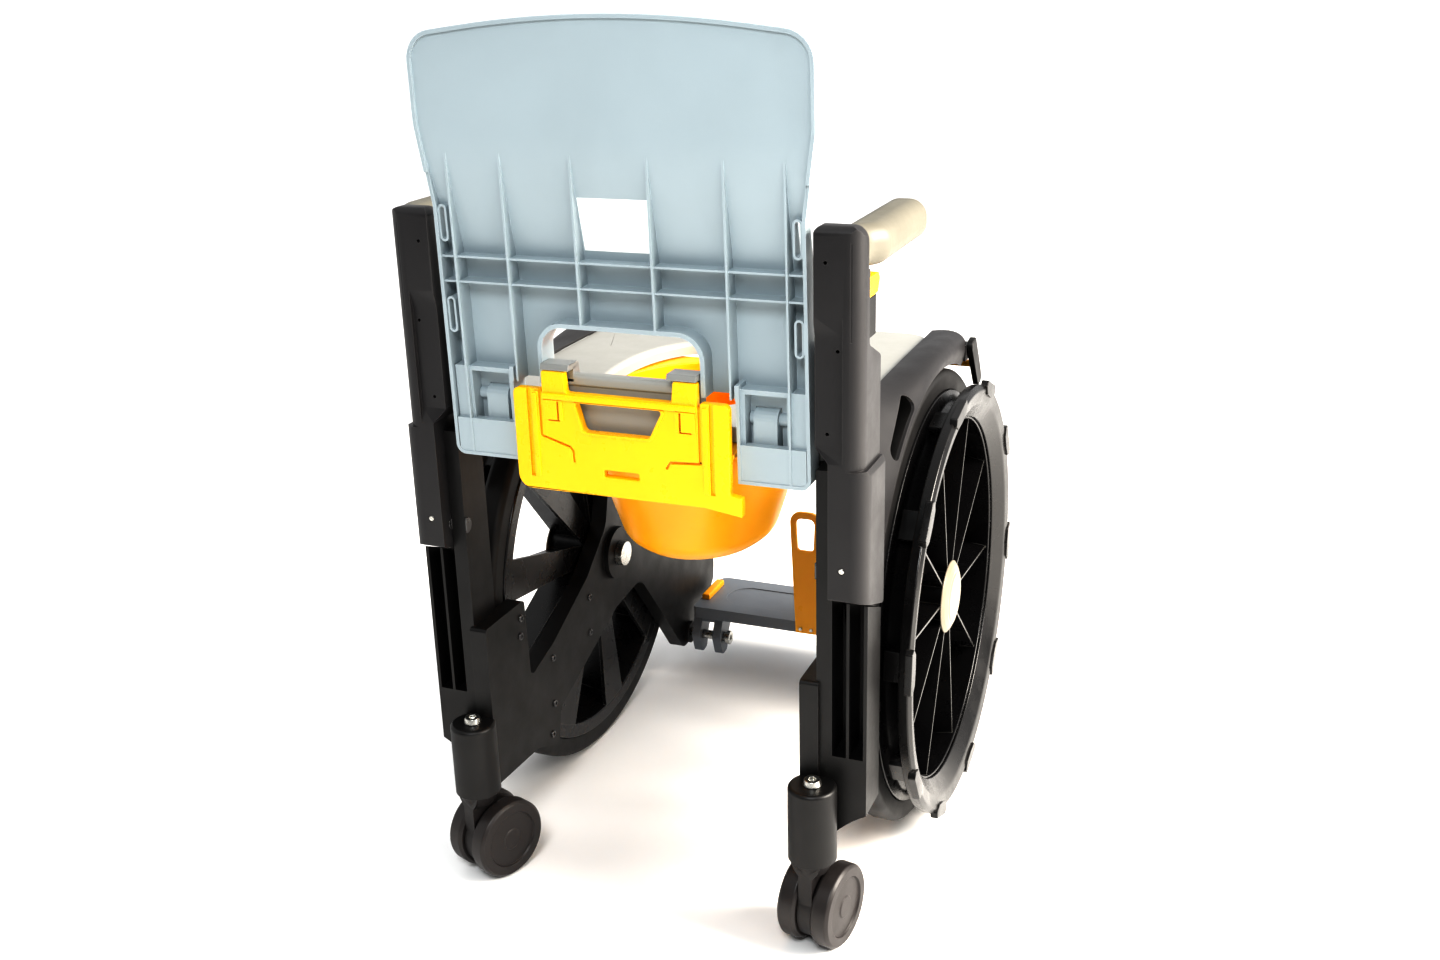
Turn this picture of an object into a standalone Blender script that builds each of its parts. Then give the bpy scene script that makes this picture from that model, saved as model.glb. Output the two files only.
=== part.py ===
"""Travel shower commode chair with folding back, sliding pan and swing-back armrests.

Metres, +Z up. The occupant faces -Y and the backrest stands at +Y; +X is the occupant's left.
While it is modelled, Y = 0 is the rear face of the backrest's ribs and X = 0 the middle plane.
The last step moves the whole chair so that its origin is the bottom centre of its box.
"""

from math import atan2, ceil, cos, degrees, pi, radians, sin, tan

import bmesh
import bpy
from mathutils import Matrix, Vector

# Clearances
SEAT_GAP = 0.0003
RUNNING_GAP = 0.0005
SIDE_GAP = 0.0011

# Drive wheels: radii about the axle, X measured from the middle plane outward
WHEEL_RADIUS = 0.254
AXLE_Y = -0.312
TYRE_INNER_X = 0.195
TYRE_WIDTH = 0.029
TYRE_DEPTH = 0.0227
TYRE_SHOULDER = 0.004
RIM_LIP_RADIUS = 0.200
RIM_LIP_WIDTH = 0.008
RIM_OUTER_X = 0.246
RIM_WALL = 0.0105
SPOKE_COUNT = 10
SPOKE_FLANGE = 0.005
SPOKE_HUB_HALF_WIDTH = 0.011
SPOKE_RIM_HALF_WIDTH = 0.024
SPOKE_RIB_THICKNESS = 0.0036
HUB_RADIUS = 0.034
AXLE_RADIUS = 0.010
HUB_CAP_RADIUS = 0.041
HUB_CAP_HEIGHT = 0.0085
PUSH_RIM_REACH = 0.0165
PUSH_RIM_OUTER_RADIUS = 0.2395
PUSH_RIM_WALL = 0.008
PAD_RISE = 0.004
PAD_HALF_ANGLE = 5.0
FIRST_SPOKE_LEFT = 12.0
FIRST_SPOKE_RIGHT = 5.0
TURN_STEPS = 40

# Seat
SEAT_TOP = 0.525
SEAT_THICKNESS = 0.015
SEAT_SKIRT = 0.010
SEAT_SKIRT_WIDTH = 0.016
SEAT_HALF_WIDTH = 0.188
SEAT_REAR_Y = -0.0315
SEAT_LENGTH = 0.3885
SEAT_CORNER = 0.028
SEAT_EDGE_ROUND = 0.004
OPENING_HALF_WIDTH = 0.097
OPENING_HALF_LENGTH = 0.130
OPENING_Y = -0.205
OPENING_ROUND = 0.006
OPENING_STEPS = 28
BAR_TOP = 0.572
BAR_HEIGHT = 0.012
BAR_DEPTH = 0.014
BAR_REAR_Y = -0.002
UPSTAND_THICKNESS = 0.010
CATCH_WIDTH = 0.0295
CATCH_LIP_THICKNESS = 0.006
CATCH_LIP_REACH = 0.0125

# Backrest
BACK_BOTTOM = 0.481
BACK_TOP = 0.880
BACK_CROWN = 0.017
BACK_HALF_WIDTH = 0.1845
BACK_TOP_HALF_WIDTH = 0.1945
BACK_SHOULDER = 0.772
BACK_DEPTH = 0.024
BACK_SKIN = 0.004
BACK_RECLINE = 1.8
BACK_CORNER = 0.028
BACK_LOW_CORNER = 0.010
BACK_SLOPE_START = 0.668
BACK_SLOPE_END = 0.762
RIB_THICKNESS = 0.0026
RIB_PLACES = (0.0375, 0.109, 0.165)
CROSS_RIB_HEIGHTS = (0.655, 0.679)
CROSS_RIB_SHY = 0.003
BEAD_WIDTH = 0.0042
BEAD_RISE = 0.003
CUTOUT_TOP = 0.617
CUTOUT_CORNER = 0.022
CUTOUT_FLANGE = 0.0074
PAN_WAY_TOP = 0.5615
PAN_WAY_GAP = 0.003
PIN_Y = -0.020
PIN_Z = 0.5405
PIN_RADIUS = 0.006
PIN_BORE = 0.0064
RECESS_INNER_X = 0.121
RECESS_OUTER_X = 0.1613
RECESS_TOP = 0.567
RECESS_BOTTOM = 0.497
RECESS_COVER_TOP = 0.519
RECESS_COVER_DEPTH = 0.007
CHEEK_HEIGHT = 0.578
LUG_INNER_X = 0.127
LUG_OUTER_X = 0.150
LUG_RADIUS = 0.0105
LUG_FOOT_LENGTH = 0.044
GRIP_SLOT_X = 0.175
GRIP_SLOT_HEIGHTS = (0.7106, 0.6225)
GRIP_SLOT_LENGTH = 0.031
GRIP_SLOT_WIDTH = 0.005
GRIP_SLOT_RIM = 0.0021

# Armrests
UPRIGHT_INNER_X = 0.190
UPRIGHT_OUTER_X = 0.2345
UPRIGHT_REAR_Y = 0.008
UPRIGHT_FRONT_Y = -0.014
UPRIGHT_TOP = 0.7235
UPRIGHT_STEP = 0.512
LOWER_INNER_X = 0.2032
LOWER_OUTER_X = 0.240
LOWER_FRONT_Y = -0.052
LOWER_TOP = 0.500
LOWER_REAR_Z = 0.380
LOWER_FRONT_Z = 0.358
FLARE_TOP = 0.618
FLARE_BOTTOM = 0.600
UPRIGHT_CORNER = 0.013
REAR_PANEL_DEPTH = 0.002
ARM_PIVOT_Y = -0.010
ARM_PIVOT_Z = 0.400
ARM_BOLT_RADIUS = 0.006
ARM_BOLT_HEAD = 0.009
PAD_LENGTH = 0.155
PAD_WIDTH = 0.042
PAD_HEIGHT = 0.037
PAD_TOP = 0.722
PAD_INNER_X = 0.2045
PAD_ROUND = 0.013
SHELL_BACK_THICKNESS = 0.018
RELEASE_STROKE = 0.007
RELEASE_HEIGHT = 0.0175
RELEASE_WIDTH = 0.016
RELEASE_DEPTH = 0.032
RELEASE_INSET = 0.0005
ROD_WIDTH = 0.011
ROD_DEPTH = 0.021
ROD_FOOT_GAP = 0.005

# Side frames
POST_INNER_X = 0.187
POST_INNER_DEPTH = 0.0155
POST_OUTER_X = 0.237
POST_REAR_Y = -0.008
POST_FRONT_Y = -0.052
FRAME_TOP = 0.4997
PLATE_INNER_X = 0.171
PLATE_OUTER_X = 0.190
LEDGE_Z = 0.287
CHANNEL_TOP = 0.3715
CHANNEL_BOTTOM = 0.209
CHANNEL_WALL = 0.0035
CHANNEL_WEB = 0.008
SOCKET_Y = 0.0087
SOCKET_X = 0.188
SOCKET_RADIUS = 0.024
SOCKET_BOTTOM = 0.104
SOCKET_TOP = 0.184
STEM_BORE = 0.0085
AXLE_BOSS_RADIUS = 0.032
AXLE_BOSS_PROUD = 0.006
FOOT_BOSS_RADIUS = 0.015

# Casters
CASTER_RADIUS = 0.043
CASTER_TRAIL = 0.018
CASTER_WHEEL_WIDTH = 0.0203
CASTER_HALF_GAP = 0.0082
CASTER_DISC_RADIUS = 0.037
CASTER_TURN_LEFT = -20.0
CASTER_TURN_RIGHT = -10.0
STEM_RADIUS = 0.008
STEM_LENGTH = 0.052
CASTER_AXLE_RADIUS = 0.004
CASTER_STEPS = 18

# Pan and its handle
PAN_FLANGE_HALF_WIDTH = 0.1108
PAN_FLANGE_THICKNESS = 0.004
PAN_Y = -0.182
PAN_RIM_RADIUS = 0.1065
PAN_BASE_RADIUS = 0.073
PAN_BOTTOM = 0.346
PAN_BELLY_Z = 0.455
PAN_BELLY_RADIUS = 0.110
PAN_WALL = 0.003
PAN_OVAL = 1.13
PAN_STEPS = 28
PAN_FRONT_Y = -0.312
RAIL_LIP_HALF_WIDTH = 0.0075
RAIL_WALL = 0.012
RAIL_LIP_THICKNESS = 0.005
HANDLE_THICKNESS = 0.009
HANDLE_BOTTOM = 0.457
HANDLE_EAR_TOP = 0.558
HANDLE_TOP = 0.556
HANDLE_HALF_WIDTH = 0.110
HANDLE_MAIN_HALF_WIDTH = 0.0805
HANDLE_TAB_INNER = 0.056
HANDLE_TAB_OUTER = 0.079
GROOVE_DEPTH = 0.003
GROOVE_WIDTH = 0.0024

# Footplate
PLATE_HALF_WIDTH = 0.160
PLATE_REAR_Y = -0.520
PLATE_LENGTH = 0.108
PLATE_TOP = 0.093
PLATE_THICKNESS = 0.016
PLATE_SKIN = 0.004
PLATE_RIM = 0.006
FOOT_PIN_Y = -0.528
FOOT_PIN_Z = 0.050
FOOT_PIN_RADIUS = 0.006
FOOT_PIN_KNOB = 0.0095
JAW_THICKNESS = 0.012
JAW_SPACING = 0.030
JAW_BASE = 0.006
LEVER_X = -0.005
LEVER_TOP = 0.252
LEVER_THICKNESS = 0.005
LEVER_LOW_HALF_WIDTH = 0.0145
LEVER_HIGH_HALF_WIDTH = 0.0215
LEVER_LOOP_BOTTOM = 0.198
CATCH_LENGTH = 0.055
CATCH_BLOCK_WIDTH = 0.011
CATCH_BLOCK_HEIGHT = 0.008

# Side panels with the wheel arch, and the brakes
PANEL_WALL = 0.003
PANEL_GAP = 0.0005
PANEL_REAR_Y = -0.0585
PANEL_FRONT_Y = -0.430
ARCH_CLEARANCE = 0.0065
ARCH_REAR_ANGLE = 36.0
ARCH_FRONT_ANGLE = 112.0
PANEL_REAR_BULGE = 0.004
PANEL_FRONT_BULGE = 0.022
PANEL_COLUMNS = 16
PANEL_ROWS = 3
PANEL_SLOT_LENGTH = 0.066
PANEL_SLOT_WIDTH = 0.017
PANEL_SLOT_MARGIN = 0.0055
PANEL_SLOT_ANGLE = 60.5
BRAKE_PIVOT_Y = -0.420
BRAKE_PIVOT_Z = 0.511
BRAKE_BOSS_SIZE = 0.020
BRAKE_STANDOFF = 0.0085
BRAKE_THICKNESS = 0.0065
BRAKE_PIN_RADIUS = 0.004
BRAKE_PIN_LENGTH = 0.018
BRAKE_ARM = 0.027
BRAKE_REST_ANGLE = -131.0
BRAKE_HANDLE_REACH = 0.066
BRAKE_SHOE_RADIUS = 0.004

SIDES = (("left", 1.0), ("right", -1.0))

AXLE_Z = WHEEL_RADIUS
TYRE_OUTER_X = TYRE_INNER_X + TYRE_WIDTH
RIM_INNER_X = TYRE_INNER_X - 0.0015
RIM_SEAT_RADIUS = WHEEL_RADIUS - TYRE_DEPTH - SEAT_GAP
SPOKE_OUTER_X = RIM_OUTER_X - 0.003
SEAT_BOTTOM = SEAT_TOP - SEAT_THICKNESS
SEAT_FRONT_Y = SEAT_REAR_Y - SEAT_LENGTH
CUTOUT_HALF_WIDTH = HANDLE_TAB_OUTER + SIDE_GAP + SEAT_GAP
PAN_WAY_HALF_WIDTH = PAN_FLANGE_HALF_WIDTH + PAN_WAY_GAP
HANDLE_FRONT_Y = RUNNING_GAP
UNDERSIDE = PLATE_TOP - PLATE_THICKNESS


def clear_scene():
    """Start from an empty scene."""
    for old in list(bpy.data.objects):
        bpy.data.objects.remove(old, do_unlink=True)


def new_collection(name):
    made = bpy.data.collections.new(name)
    bpy.context.scene.collection.children.link(made)
    return made


clear_scene()
CHAIR = new_collection("travel_shower_commode_chair")
WORK = new_collection("work")


def new_material(name, colour, roughness, metallic=0.0):
    """One Principled material, its colour given as linear red, green and blue."""
    material = bpy.data.materials.new(name)
    material.use_nodes = True
    shader = material.node_tree.nodes["Principled BSDF"]
    shader.inputs["Base Color"].default_value = (*colour, 1.0)
    shader.inputs["Roughness"].default_value = roughness
    shader.inputs["Metallic"].default_value = metallic
    return material


BLUE_GREY = new_material("blue_grey_plastic", (0.215, 0.305, 0.365), 0.45)
BLACK = new_material("black_plastic", (0.028, 0.026, 0.027), 0.50)
CHARCOAL = new_material("charcoal_plastic", (0.050, 0.049, 0.055), 0.50)
LIGHT_GREY = new_material("light_grey_plastic", (0.52, 0.53, 0.53), 0.42)
ORANGE = new_material("orange_plastic", (1.0, 0.36, 0.010), 0.38)
RUBBER = new_material("grey_black_rubber", (0.022, 0.021, 0.021), 0.80)
FOOT_GREY = new_material("foot_grey_plastic", (0.25, 0.26, 0.28), 0.45)
CAP_GREY = new_material("hub_cap_grey", (0.42, 0.40, 0.36), 0.40)
STEEL = new_material("bright_steel", (0.62, 0.62, 0.62), 0.28, 1.0)


def hold(name, mesh):
    """A new object for a mesh, kept in the work collection until it is finished."""
    made = bpy.data.objects.new(name, mesh)
    WORK.objects.link(made)
    return made


def settle(item):
    """Give an object the mesh that its modifiers make."""
    bpy.context.view_layer.update()
    graph = bpy.context.evaluated_depsgraph_get()
    mesh = bpy.data.meshes.new_from_object(item.evaluated_get(graph))
    item.modifiers.clear()
    item.data = mesh
    return item


def weld(item):
    """Close an object's seams and turn its faces outward."""
    shape = bmesh.new()
    shape.from_mesh(item.data)
    bmesh.ops.remove_doubles(shape, verts=shape.verts, dist=0.00001)
    bmesh.ops.recalc_face_normals(shape, faces=shape.faces)
    shape.to_mesh(item.data)
    shape.free()
    return item


def combine(base, others, operation):
    """Join other solids to a base, or cut them from it, in one exact step."""
    tools = bpy.data.collections.new("tools")
    bpy.context.scene.collection.children.link(tools)
    for other in others:
        WORK.objects.unlink(other)
        tools.objects.link(other)
        other.hide_render = True
        other.display_type = "WIRE"
    step = base.modifiers.new(operation.lower(), "BOOLEAN")
    step.operation = operation
    step.solver = "EXACT"
    step.operand_type = "COLLECTION"
    step.collection = tools
    settle(base)
    for other in others:
        bpy.data.objects.remove(other, do_unlink=True)
    bpy.data.collections.remove(tools)
    return base


def unite(base, *others):
    return combine(base, others, "UNION")


def carve(base, *others):
    return combine(base, others, "DIFFERENCE")


def box(name, x_range, y_range, z_range):
    """An upright block between pairs of limits, in either order."""
    low = Vector((min(x_range), min(y_range), min(z_range)))
    high = Vector((max(x_range), max(y_range), max(z_range)))
    shape = bmesh.new()
    bmesh.ops.create_cube(shape, size=1.0)
    middle = Matrix.Translation((low + high) / 2)
    shape.transform(middle @ Matrix.Diagonal((*(high - low), 1.0)))
    mesh = bpy.data.meshes.new(name)
    shape.to_mesh(mesh)
    shape.free()
    return hold(name, mesh)


def rod(name, start, end, radius, end_radius=None, segments=12):
    """A round bar or cone from one point to another."""
    start = Vector(start)
    run = Vector(end) - start
    shape = bmesh.new()
    bmesh.ops.create_cone(
        shape,
        cap_ends=True,
        segments=segments,
        radius1=radius,
        radius2=radius if end_radius is None else end_radius,
        depth=run.length,
    )
    turn = run.to_track_quat("Z", "Y").to_matrix().to_4x4()
    shape.transform(Matrix.Translation(start + run / 2) @ turn)
    mesh = bpy.data.meshes.new(name)
    shape.to_mesh(mesh)
    shape.free()
    return hold(name, mesh)


PLANES = {
    "X": Matrix(((0, 0, 1, 0), (1, 0, 0, 0), (0, 1, 0, 0), (0, 0, 0, 1))),
    "Y": Matrix(((1, 0, 0, 0), (0, 0, -1, 0), (0, 1, 0, 0), (0, 0, 0, 1))),
    "Z": Matrix.Identity(4),
}


def slab(name, outline, axis, limits, holes=()):
    """A flat outline extruded along one axis between two limits.

    The outline's two values are Y and Z for axis X, X and Z for axis Y, and X and Y for axis Z.
    """
    curve = bpy.data.curves.new(name, "CURVE")
    curve.dimensions = "2D"
    curve.fill_mode = "BOTH"
    curve.extrude = abs(limits[1] - limits[0]) / 2
    for loop in (outline, *holes):
        spline = curve.splines.new("POLY")
        spline.points.add(len(loop) - 1)
        for point, place in zip(spline.points, loop):
            point.co = (place[0], place[1], 0.0, 1.0)
        spline.use_cyclic_u = True
    drawn = bpy.data.objects.new(name, curve)
    WORK.objects.link(drawn)
    bpy.context.view_layer.update()
    graph = bpy.context.evaluated_depsgraph_get()
    mesh = bpy.data.meshes.new_from_object(drawn.evaluated_get(graph))
    bpy.data.objects.remove(drawn, do_unlink=True)
    middle = (limits[0] + limits[1]) / 2
    shift = {"X": (middle, 0, 0), "Y": (0, middle, 0), "Z": (0, 0, middle)}[axis]
    mesh.transform(Matrix.Translation(shift) @ PLANES[axis])
    return weld(hold(name, mesh))


def turned(name, profile, steps, ring=False):
    """A profile of radius and height turned about the Z axis, listed down its outer side."""
    shape = bmesh.new()
    points = [shape.verts.new((radius, 0.0, height)) for radius, height in profile]
    for first, second in zip(points, points[1:]):
        shape.edges.new((first, second))
    if ring:
        shape.edges.new((points[-1], points[0]))
    mesh = bpy.data.meshes.new(name)
    shape.to_mesh(mesh)
    shape.free()
    made = hold(name, mesh)
    screw = made.modifiers.new("turn", "SCREW")
    screw.steps = steps
    screw.render_steps = steps
    screw.use_merge_vertices = True
    screw.merge_threshold = 0.00001
    return weld(settle(made))


def place(item, *moves):
    """Apply matrices to an object's mesh, the first one given first."""
    for move in moves:
        item.data.transform(move)
    return item


def shifted(x=0.0, y=0.0, z=0.0):
    return Matrix.Translation((x, y, z))


def spun(degrees, axis, about=(0.0, 0.0, 0.0)):
    """A rotation about a line through a point."""
    there = Matrix.Translation(about)
    return there @ Matrix.Rotation(radians(degrees), 4, axis) @ there.inverted()


def soften(item, width, segments, chosen):
    """Round the edges that a test on their two end points chooses."""
    shape = bmesh.new()
    shape.from_mesh(item.data)
    picked = [edge for edge in shape.edges if chosen(*(vert.co for vert in edge.verts))]
    bmesh.ops.bevel(
        shape,
        geom=picked,
        offset=width,
        segments=segments,
        profile=0.5,
        affect="EDGES",
        clamp_overlap=True,
    )
    shape.to_mesh(item.data)
    shape.free()
    return item


def arc(centre, radius, start, end, steps):
    """Points along an arc, its angles in degrees from the outline's first axis."""
    points = []
    for step in range(steps + 1):
        angle = radians(start + (end - start) * step / steps)
        points.append((centre[0] + radius * cos(angle), centre[1] + radius * sin(angle)))
    return points


def rounded(corners, steps=3):
    """An outline whose corners, each a place and a radius, are turned into arcs."""
    points = []
    count = len(corners)
    for index, (x, y, radius) in enumerate(corners):
        here = Vector((x, y))
        before = Vector(corners[index - 1][:2]) - here
        after = Vector(corners[(index + 1) % count][:2]) - here
        if radius <= 0.0:
            points.append((x, y))
            continue
        half = before.angle(after) / 2
        reach = min(radius / tan(half), before.length / 2.01, after.length / 2.01)
        true_radius = reach * tan(half)
        centre = here + (before.normalized() + after.normalized()).normalized() * (true_radius / sin(half))
        start = here + before.normalized() * reach - centre
        finish = here + after.normalized() * reach - centre
        first = atan2(start.y, start.x)
        sweep = atan2(finish.y, finish.x) - first
        sweep = (sweep + pi) % (2 * pi) - pi
        bends = max(1, ceil(steps * abs(sweep) / (pi / 2)))
        for bend in range(bends + 1):
            angle = first + sweep * bend / bends
            points.append((centre.x + true_radius * cos(angle), centre.y + true_radius * sin(angle)))
    return points


def stadium(centre, length, width, steps=6):
    """A slot outline with round ends, long along the outline's second axis."""
    radius = width / 2
    reach = length / 2 - radius
    top = arc((centre[0], centre[1] + reach), radius, 0, 180, steps)
    bottom = arc((centre[0], centre[1] - reach), radius, 180, 360, steps)
    return top + bottom


def finish(item, material, pivot, smooth_angle=32.0):
    """Name, colour, shade and parent a finished piece, its origin on its pivot."""
    origin = pivot.matrix_world.to_translation()
    item.data.transform(Matrix.Translation(-origin))
    item.data.materials.clear()
    item.data.materials.append(material)
    for polygon in item.data.polygons:
        polygon.material_index = 0
    item.data.shade_smooth()
    item.data.set_sharp_from_angle(angle=radians(smooth_angle))
    WORK.objects.unlink(item)
    CHAIR.objects.link(item)
    item.parent = pivot
    return item


def new_pivot(name, parent=None, point=(0.0, 0.0, 0.0)):
    """An empty on a joint's axis that carries the pieces of one moving body."""
    empty = bpy.data.objects.new(name, None)
    empty.empty_display_size = 0.03
    CHAIR.objects.link(empty)
    if parent:
        empty.parent = parent
        empty.location = Vector(point) - parent.matrix_world.to_translation()
    else:
        empty.location = point
    bpy.context.view_layer.update()
    return empty


def mirrored_limits(side, low, high):
    return (side * low, side * high)


def tyre_section():
    """The tyre's section, its ground face flat between two rounded shoulders."""
    inner, outer = TYRE_INNER_X, TYRE_OUTER_X
    seat = WHEEL_RADIUS - TYRE_DEPTH
    shoulder = TYRE_SHOULDER
    return [
        (WHEEL_RADIUS, outer - 1.6 * shoulder),
        (WHEEL_RADIUS, inner + 1.6 * shoulder),
        (WHEEL_RADIUS - 1.6 * shoulder, inner),
        (seat, inner),
        (seat, outer),
        (WHEEL_RADIUS - 1.6 * shoulder, outer),
    ]


def rim_section():
    """The rim's section: a deep barrel that narrows outward to the lip of the wheel's mouth."""
    lip_end = RIM_LIP_RADIUS + RIM_LIP_WIDTH
    return [
        (RIM_SEAT_RADIUS, TYRE_OUTER_X + 0.002),
        (RIM_SEAT_RADIUS, RIM_INNER_X),
        (RIM_SEAT_RADIUS - 1.6 * RIM_WALL, RIM_INNER_X),
        (RIM_LIP_RADIUS + 0.004, TYRE_OUTER_X + 0.004),
        (RIM_LIP_RADIUS, RIM_OUTER_X),
        (lip_end, RIM_OUTER_X),
        (lip_end + RIM_WALL, TYRE_OUTER_X + 0.006),
    ]


def push_rim_section():
    """The push rim's section: a broad dish that stands outboard of the tyre."""
    back = RIM_OUTER_X + SEAT_GAP
    crest = RIM_OUTER_X + PUSH_RIM_REACH
    outer = PUSH_RIM_OUTER_RADIUS
    return [
        (outer, crest - 0.003),
        (outer, crest - PUSH_RIM_WALL),
        (outer - 0.019, crest - PUSH_RIM_WALL - 0.0015),
        (RIM_LIP_RADIUS + RIM_LIP_WIDTH + 0.001, back),
        (RIM_LIP_RADIUS - 0.0005, back),
        (outer - 0.0195, crest - 0.002),
        (outer - 0.006, crest),
    ]


def outward(side):
    """Turn a shape made about Z, its height measured from the middle plane, onto the axle."""
    turn = Matrix.Rotation(pi / 2, 4, "Y")
    if side < 0:
        turn = Matrix.Rotation(pi, 4, "Z") @ turn
    return Matrix.Translation((0.0, AXLE_Y, AXLE_Z)) @ turn


def make_spoke():
    """One spoke about Z: a tapered flange inboard, with an upright rib on its middle."""
    hub_reach = HUB_RADIUS - 0.006
    rim_reach = RIM_SEAT_RADIUS - 1.2 * RIM_WALL
    flange = slab(
        "spoke",
        [
            (hub_reach, -SPOKE_HUB_HALF_WIDTH),
            (rim_reach, -SPOKE_RIM_HALF_WIDTH),
            (rim_reach, SPOKE_RIM_HALF_WIDTH),
            (hub_reach, SPOKE_HUB_HALF_WIDTH),
        ],
        "Z",
        (RIM_INNER_X + 0.0004, RIM_INNER_X + SPOKE_FLANGE),
    )
    half = SPOKE_RIB_THICKNESS / 2
    rib = slab(
        "spoke_rib",
        [
            (hub_reach, RIM_INNER_X + 0.002),
            (RIM_LIP_RADIUS + 0.010, RIM_INNER_X + 0.002),
            (RIM_LIP_RADIUS + 0.002, SPOKE_OUTER_X - 0.001),
            (hub_reach, SPOKE_OUTER_X),
        ],
        "Y",
        (-half, half),
    )
    return unite(flange, rib)


def copy_of(item):
    return hold(item.name, item.data.copy())


def make_wheel(side_name, side, first_spoke, parent):
    """A drive wheel: tyre, ribbed ten-spoke rim, push rim with raised grip pads, hub cap.

    The first spoke's angle is measured at the axle, from rearward level up towards the seat.
    """
    turn = side * (90.0 + first_spoke)
    pivot = new_pivot("wheel_pivot_" + side_name, parent, (0.0, AXLE_Y, AXLE_Z))
    to_axle = outward(side)
    phase = Matrix.Rotation(radians(turn), 4, "Z")

    tyre = turned("tyre_" + side_name, tyre_section(), TURN_STEPS, ring=True)
    finish(place(tyre, to_axle), RUBBER, pivot)

    rim = turned("drive_wheel_" + side_name, rim_section(), TURN_STEPS, ring=True)
    hub = rod("hub", (0, 0, RIM_INNER_X), (0, 0, SPOKE_OUTER_X), HUB_RADIUS, segments=20)
    spoke = make_spoke()
    spokes = []
    for index in range(SPOKE_COUNT):
        angle = 2 * pi * index / SPOKE_COUNT
        spokes.append(place(copy_of(spoke), phase @ Matrix.Rotation(angle, 4, "Z")))
    bpy.data.objects.remove(spoke, do_unlink=True)
    unite(rim, hub, *spokes)
    bore = rod("bore", (0, 0, RIM_INNER_X - 0.01), (0, 0, RIM_OUTER_X), AXLE_RADIUS + RUNNING_GAP)
    carve(rim, bore)
    finish(place(rim, to_axle), BLACK, pivot)

    push_rim = turned("push_rim_" + side_name, push_rim_section(), TURN_STEPS, ring=True)
    crest = RIM_OUTER_X + PUSH_RIM_REACH
    extras = []
    for index in range(SPOKE_COUNT):
        middle = 360.0 * index / SPOKE_COUNT + turn
        outer_edge = arc(
            (0, 0), PUSH_RIM_OUTER_RADIUS + PAD_RISE, middle - PAD_HALF_ANGLE, middle + PAD_HALF_ANGLE, 2
        )
        inner_edge = arc(
            (0, 0), PUSH_RIM_OUTER_RADIUS - 0.011, middle + PAD_HALF_ANGLE, middle - PAD_HALF_ANGLE, 2
        )
        pad = slab("pad", outer_edge + inner_edge, "Z", (crest - 0.0065, crest + 0.0015))
        post_outer = arc((0, 0), PUSH_RIM_OUTER_RADIUS - 0.011, middle - 4.0, middle + 4.0, 1)
        post_inner = arc((0, 0), PUSH_RIM_OUTER_RADIUS - 0.0165, middle + 4.0, middle - 4.0, 1)
        standoff = slab("standoff", post_outer + post_inner, "Z", (TYRE_OUTER_X + 0.0075, crest - 0.006))
        extras += [pad, standoff]
    unite(push_rim, *extras)
    finish(place(push_rim, to_axle), CHARCOAL, pivot)

    base = SPOKE_OUTER_X + SEAT_GAP
    cap = turned(
        "hub_cap_" + side_name,
        [
            (0.0, base + HUB_CAP_HEIGHT),
            (0.5 * HUB_CAP_RADIUS, base + 0.92 * HUB_CAP_HEIGHT),
            (0.86 * HUB_CAP_RADIUS, base + 0.60 * HUB_CAP_HEIGHT),
            (HUB_CAP_RADIUS, base + 0.10 * HUB_CAP_HEIGHT),
            (HUB_CAP_RADIUS, base),
            (0.0, base),
        ],
        24,
    )
    finish(place(cap, to_axle), CAP_GREY, pivot)
    return pivot


def make_axle(side_name, side, base):
    """The axle pin with its knob inside the frame's boss."""
    boss_face = PLATE_INNER_X - AXLE_BOSS_PROUD
    knob = rod(
        "axle_" + side_name,
        (side * (boss_face - SEAT_GAP - 0.009), AXLE_Y, AXLE_Z),
        (side * (boss_face - SEAT_GAP), AXLE_Y, AXLE_Z),
        1.5 * AXLE_RADIUS,
    )
    shaft = rod(
        "shaft",
        (side * (boss_face - 0.006), AXLE_Y, AXLE_Z),
        (side * (SPOKE_OUTER_X - 0.002), AXLE_Y, AXLE_Z),
        AXLE_RADIUS,
    )
    finish(unite(knob, shaft), STEEL, base)


def seat_opening(margin=0.0):
    """The oval opening over the pan, a little squarer than an ellipse."""
    points = []
    for step in range(OPENING_STEPS):
        angle = 2 * pi * step / OPENING_STEPS
        reach_x = abs(cos(angle)) ** 0.85 * (1 if cos(angle) > 0 else -1)
        reach_y = abs(sin(angle)) ** 0.85 * (1 if sin(angle) > 0 else -1)
        x = (OPENING_HALF_WIDTH + margin) * reach_x
        y = OPENING_Y + (OPENING_HALF_LENGTH + margin) * reach_y
        points.append((x, y))
    return points


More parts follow.
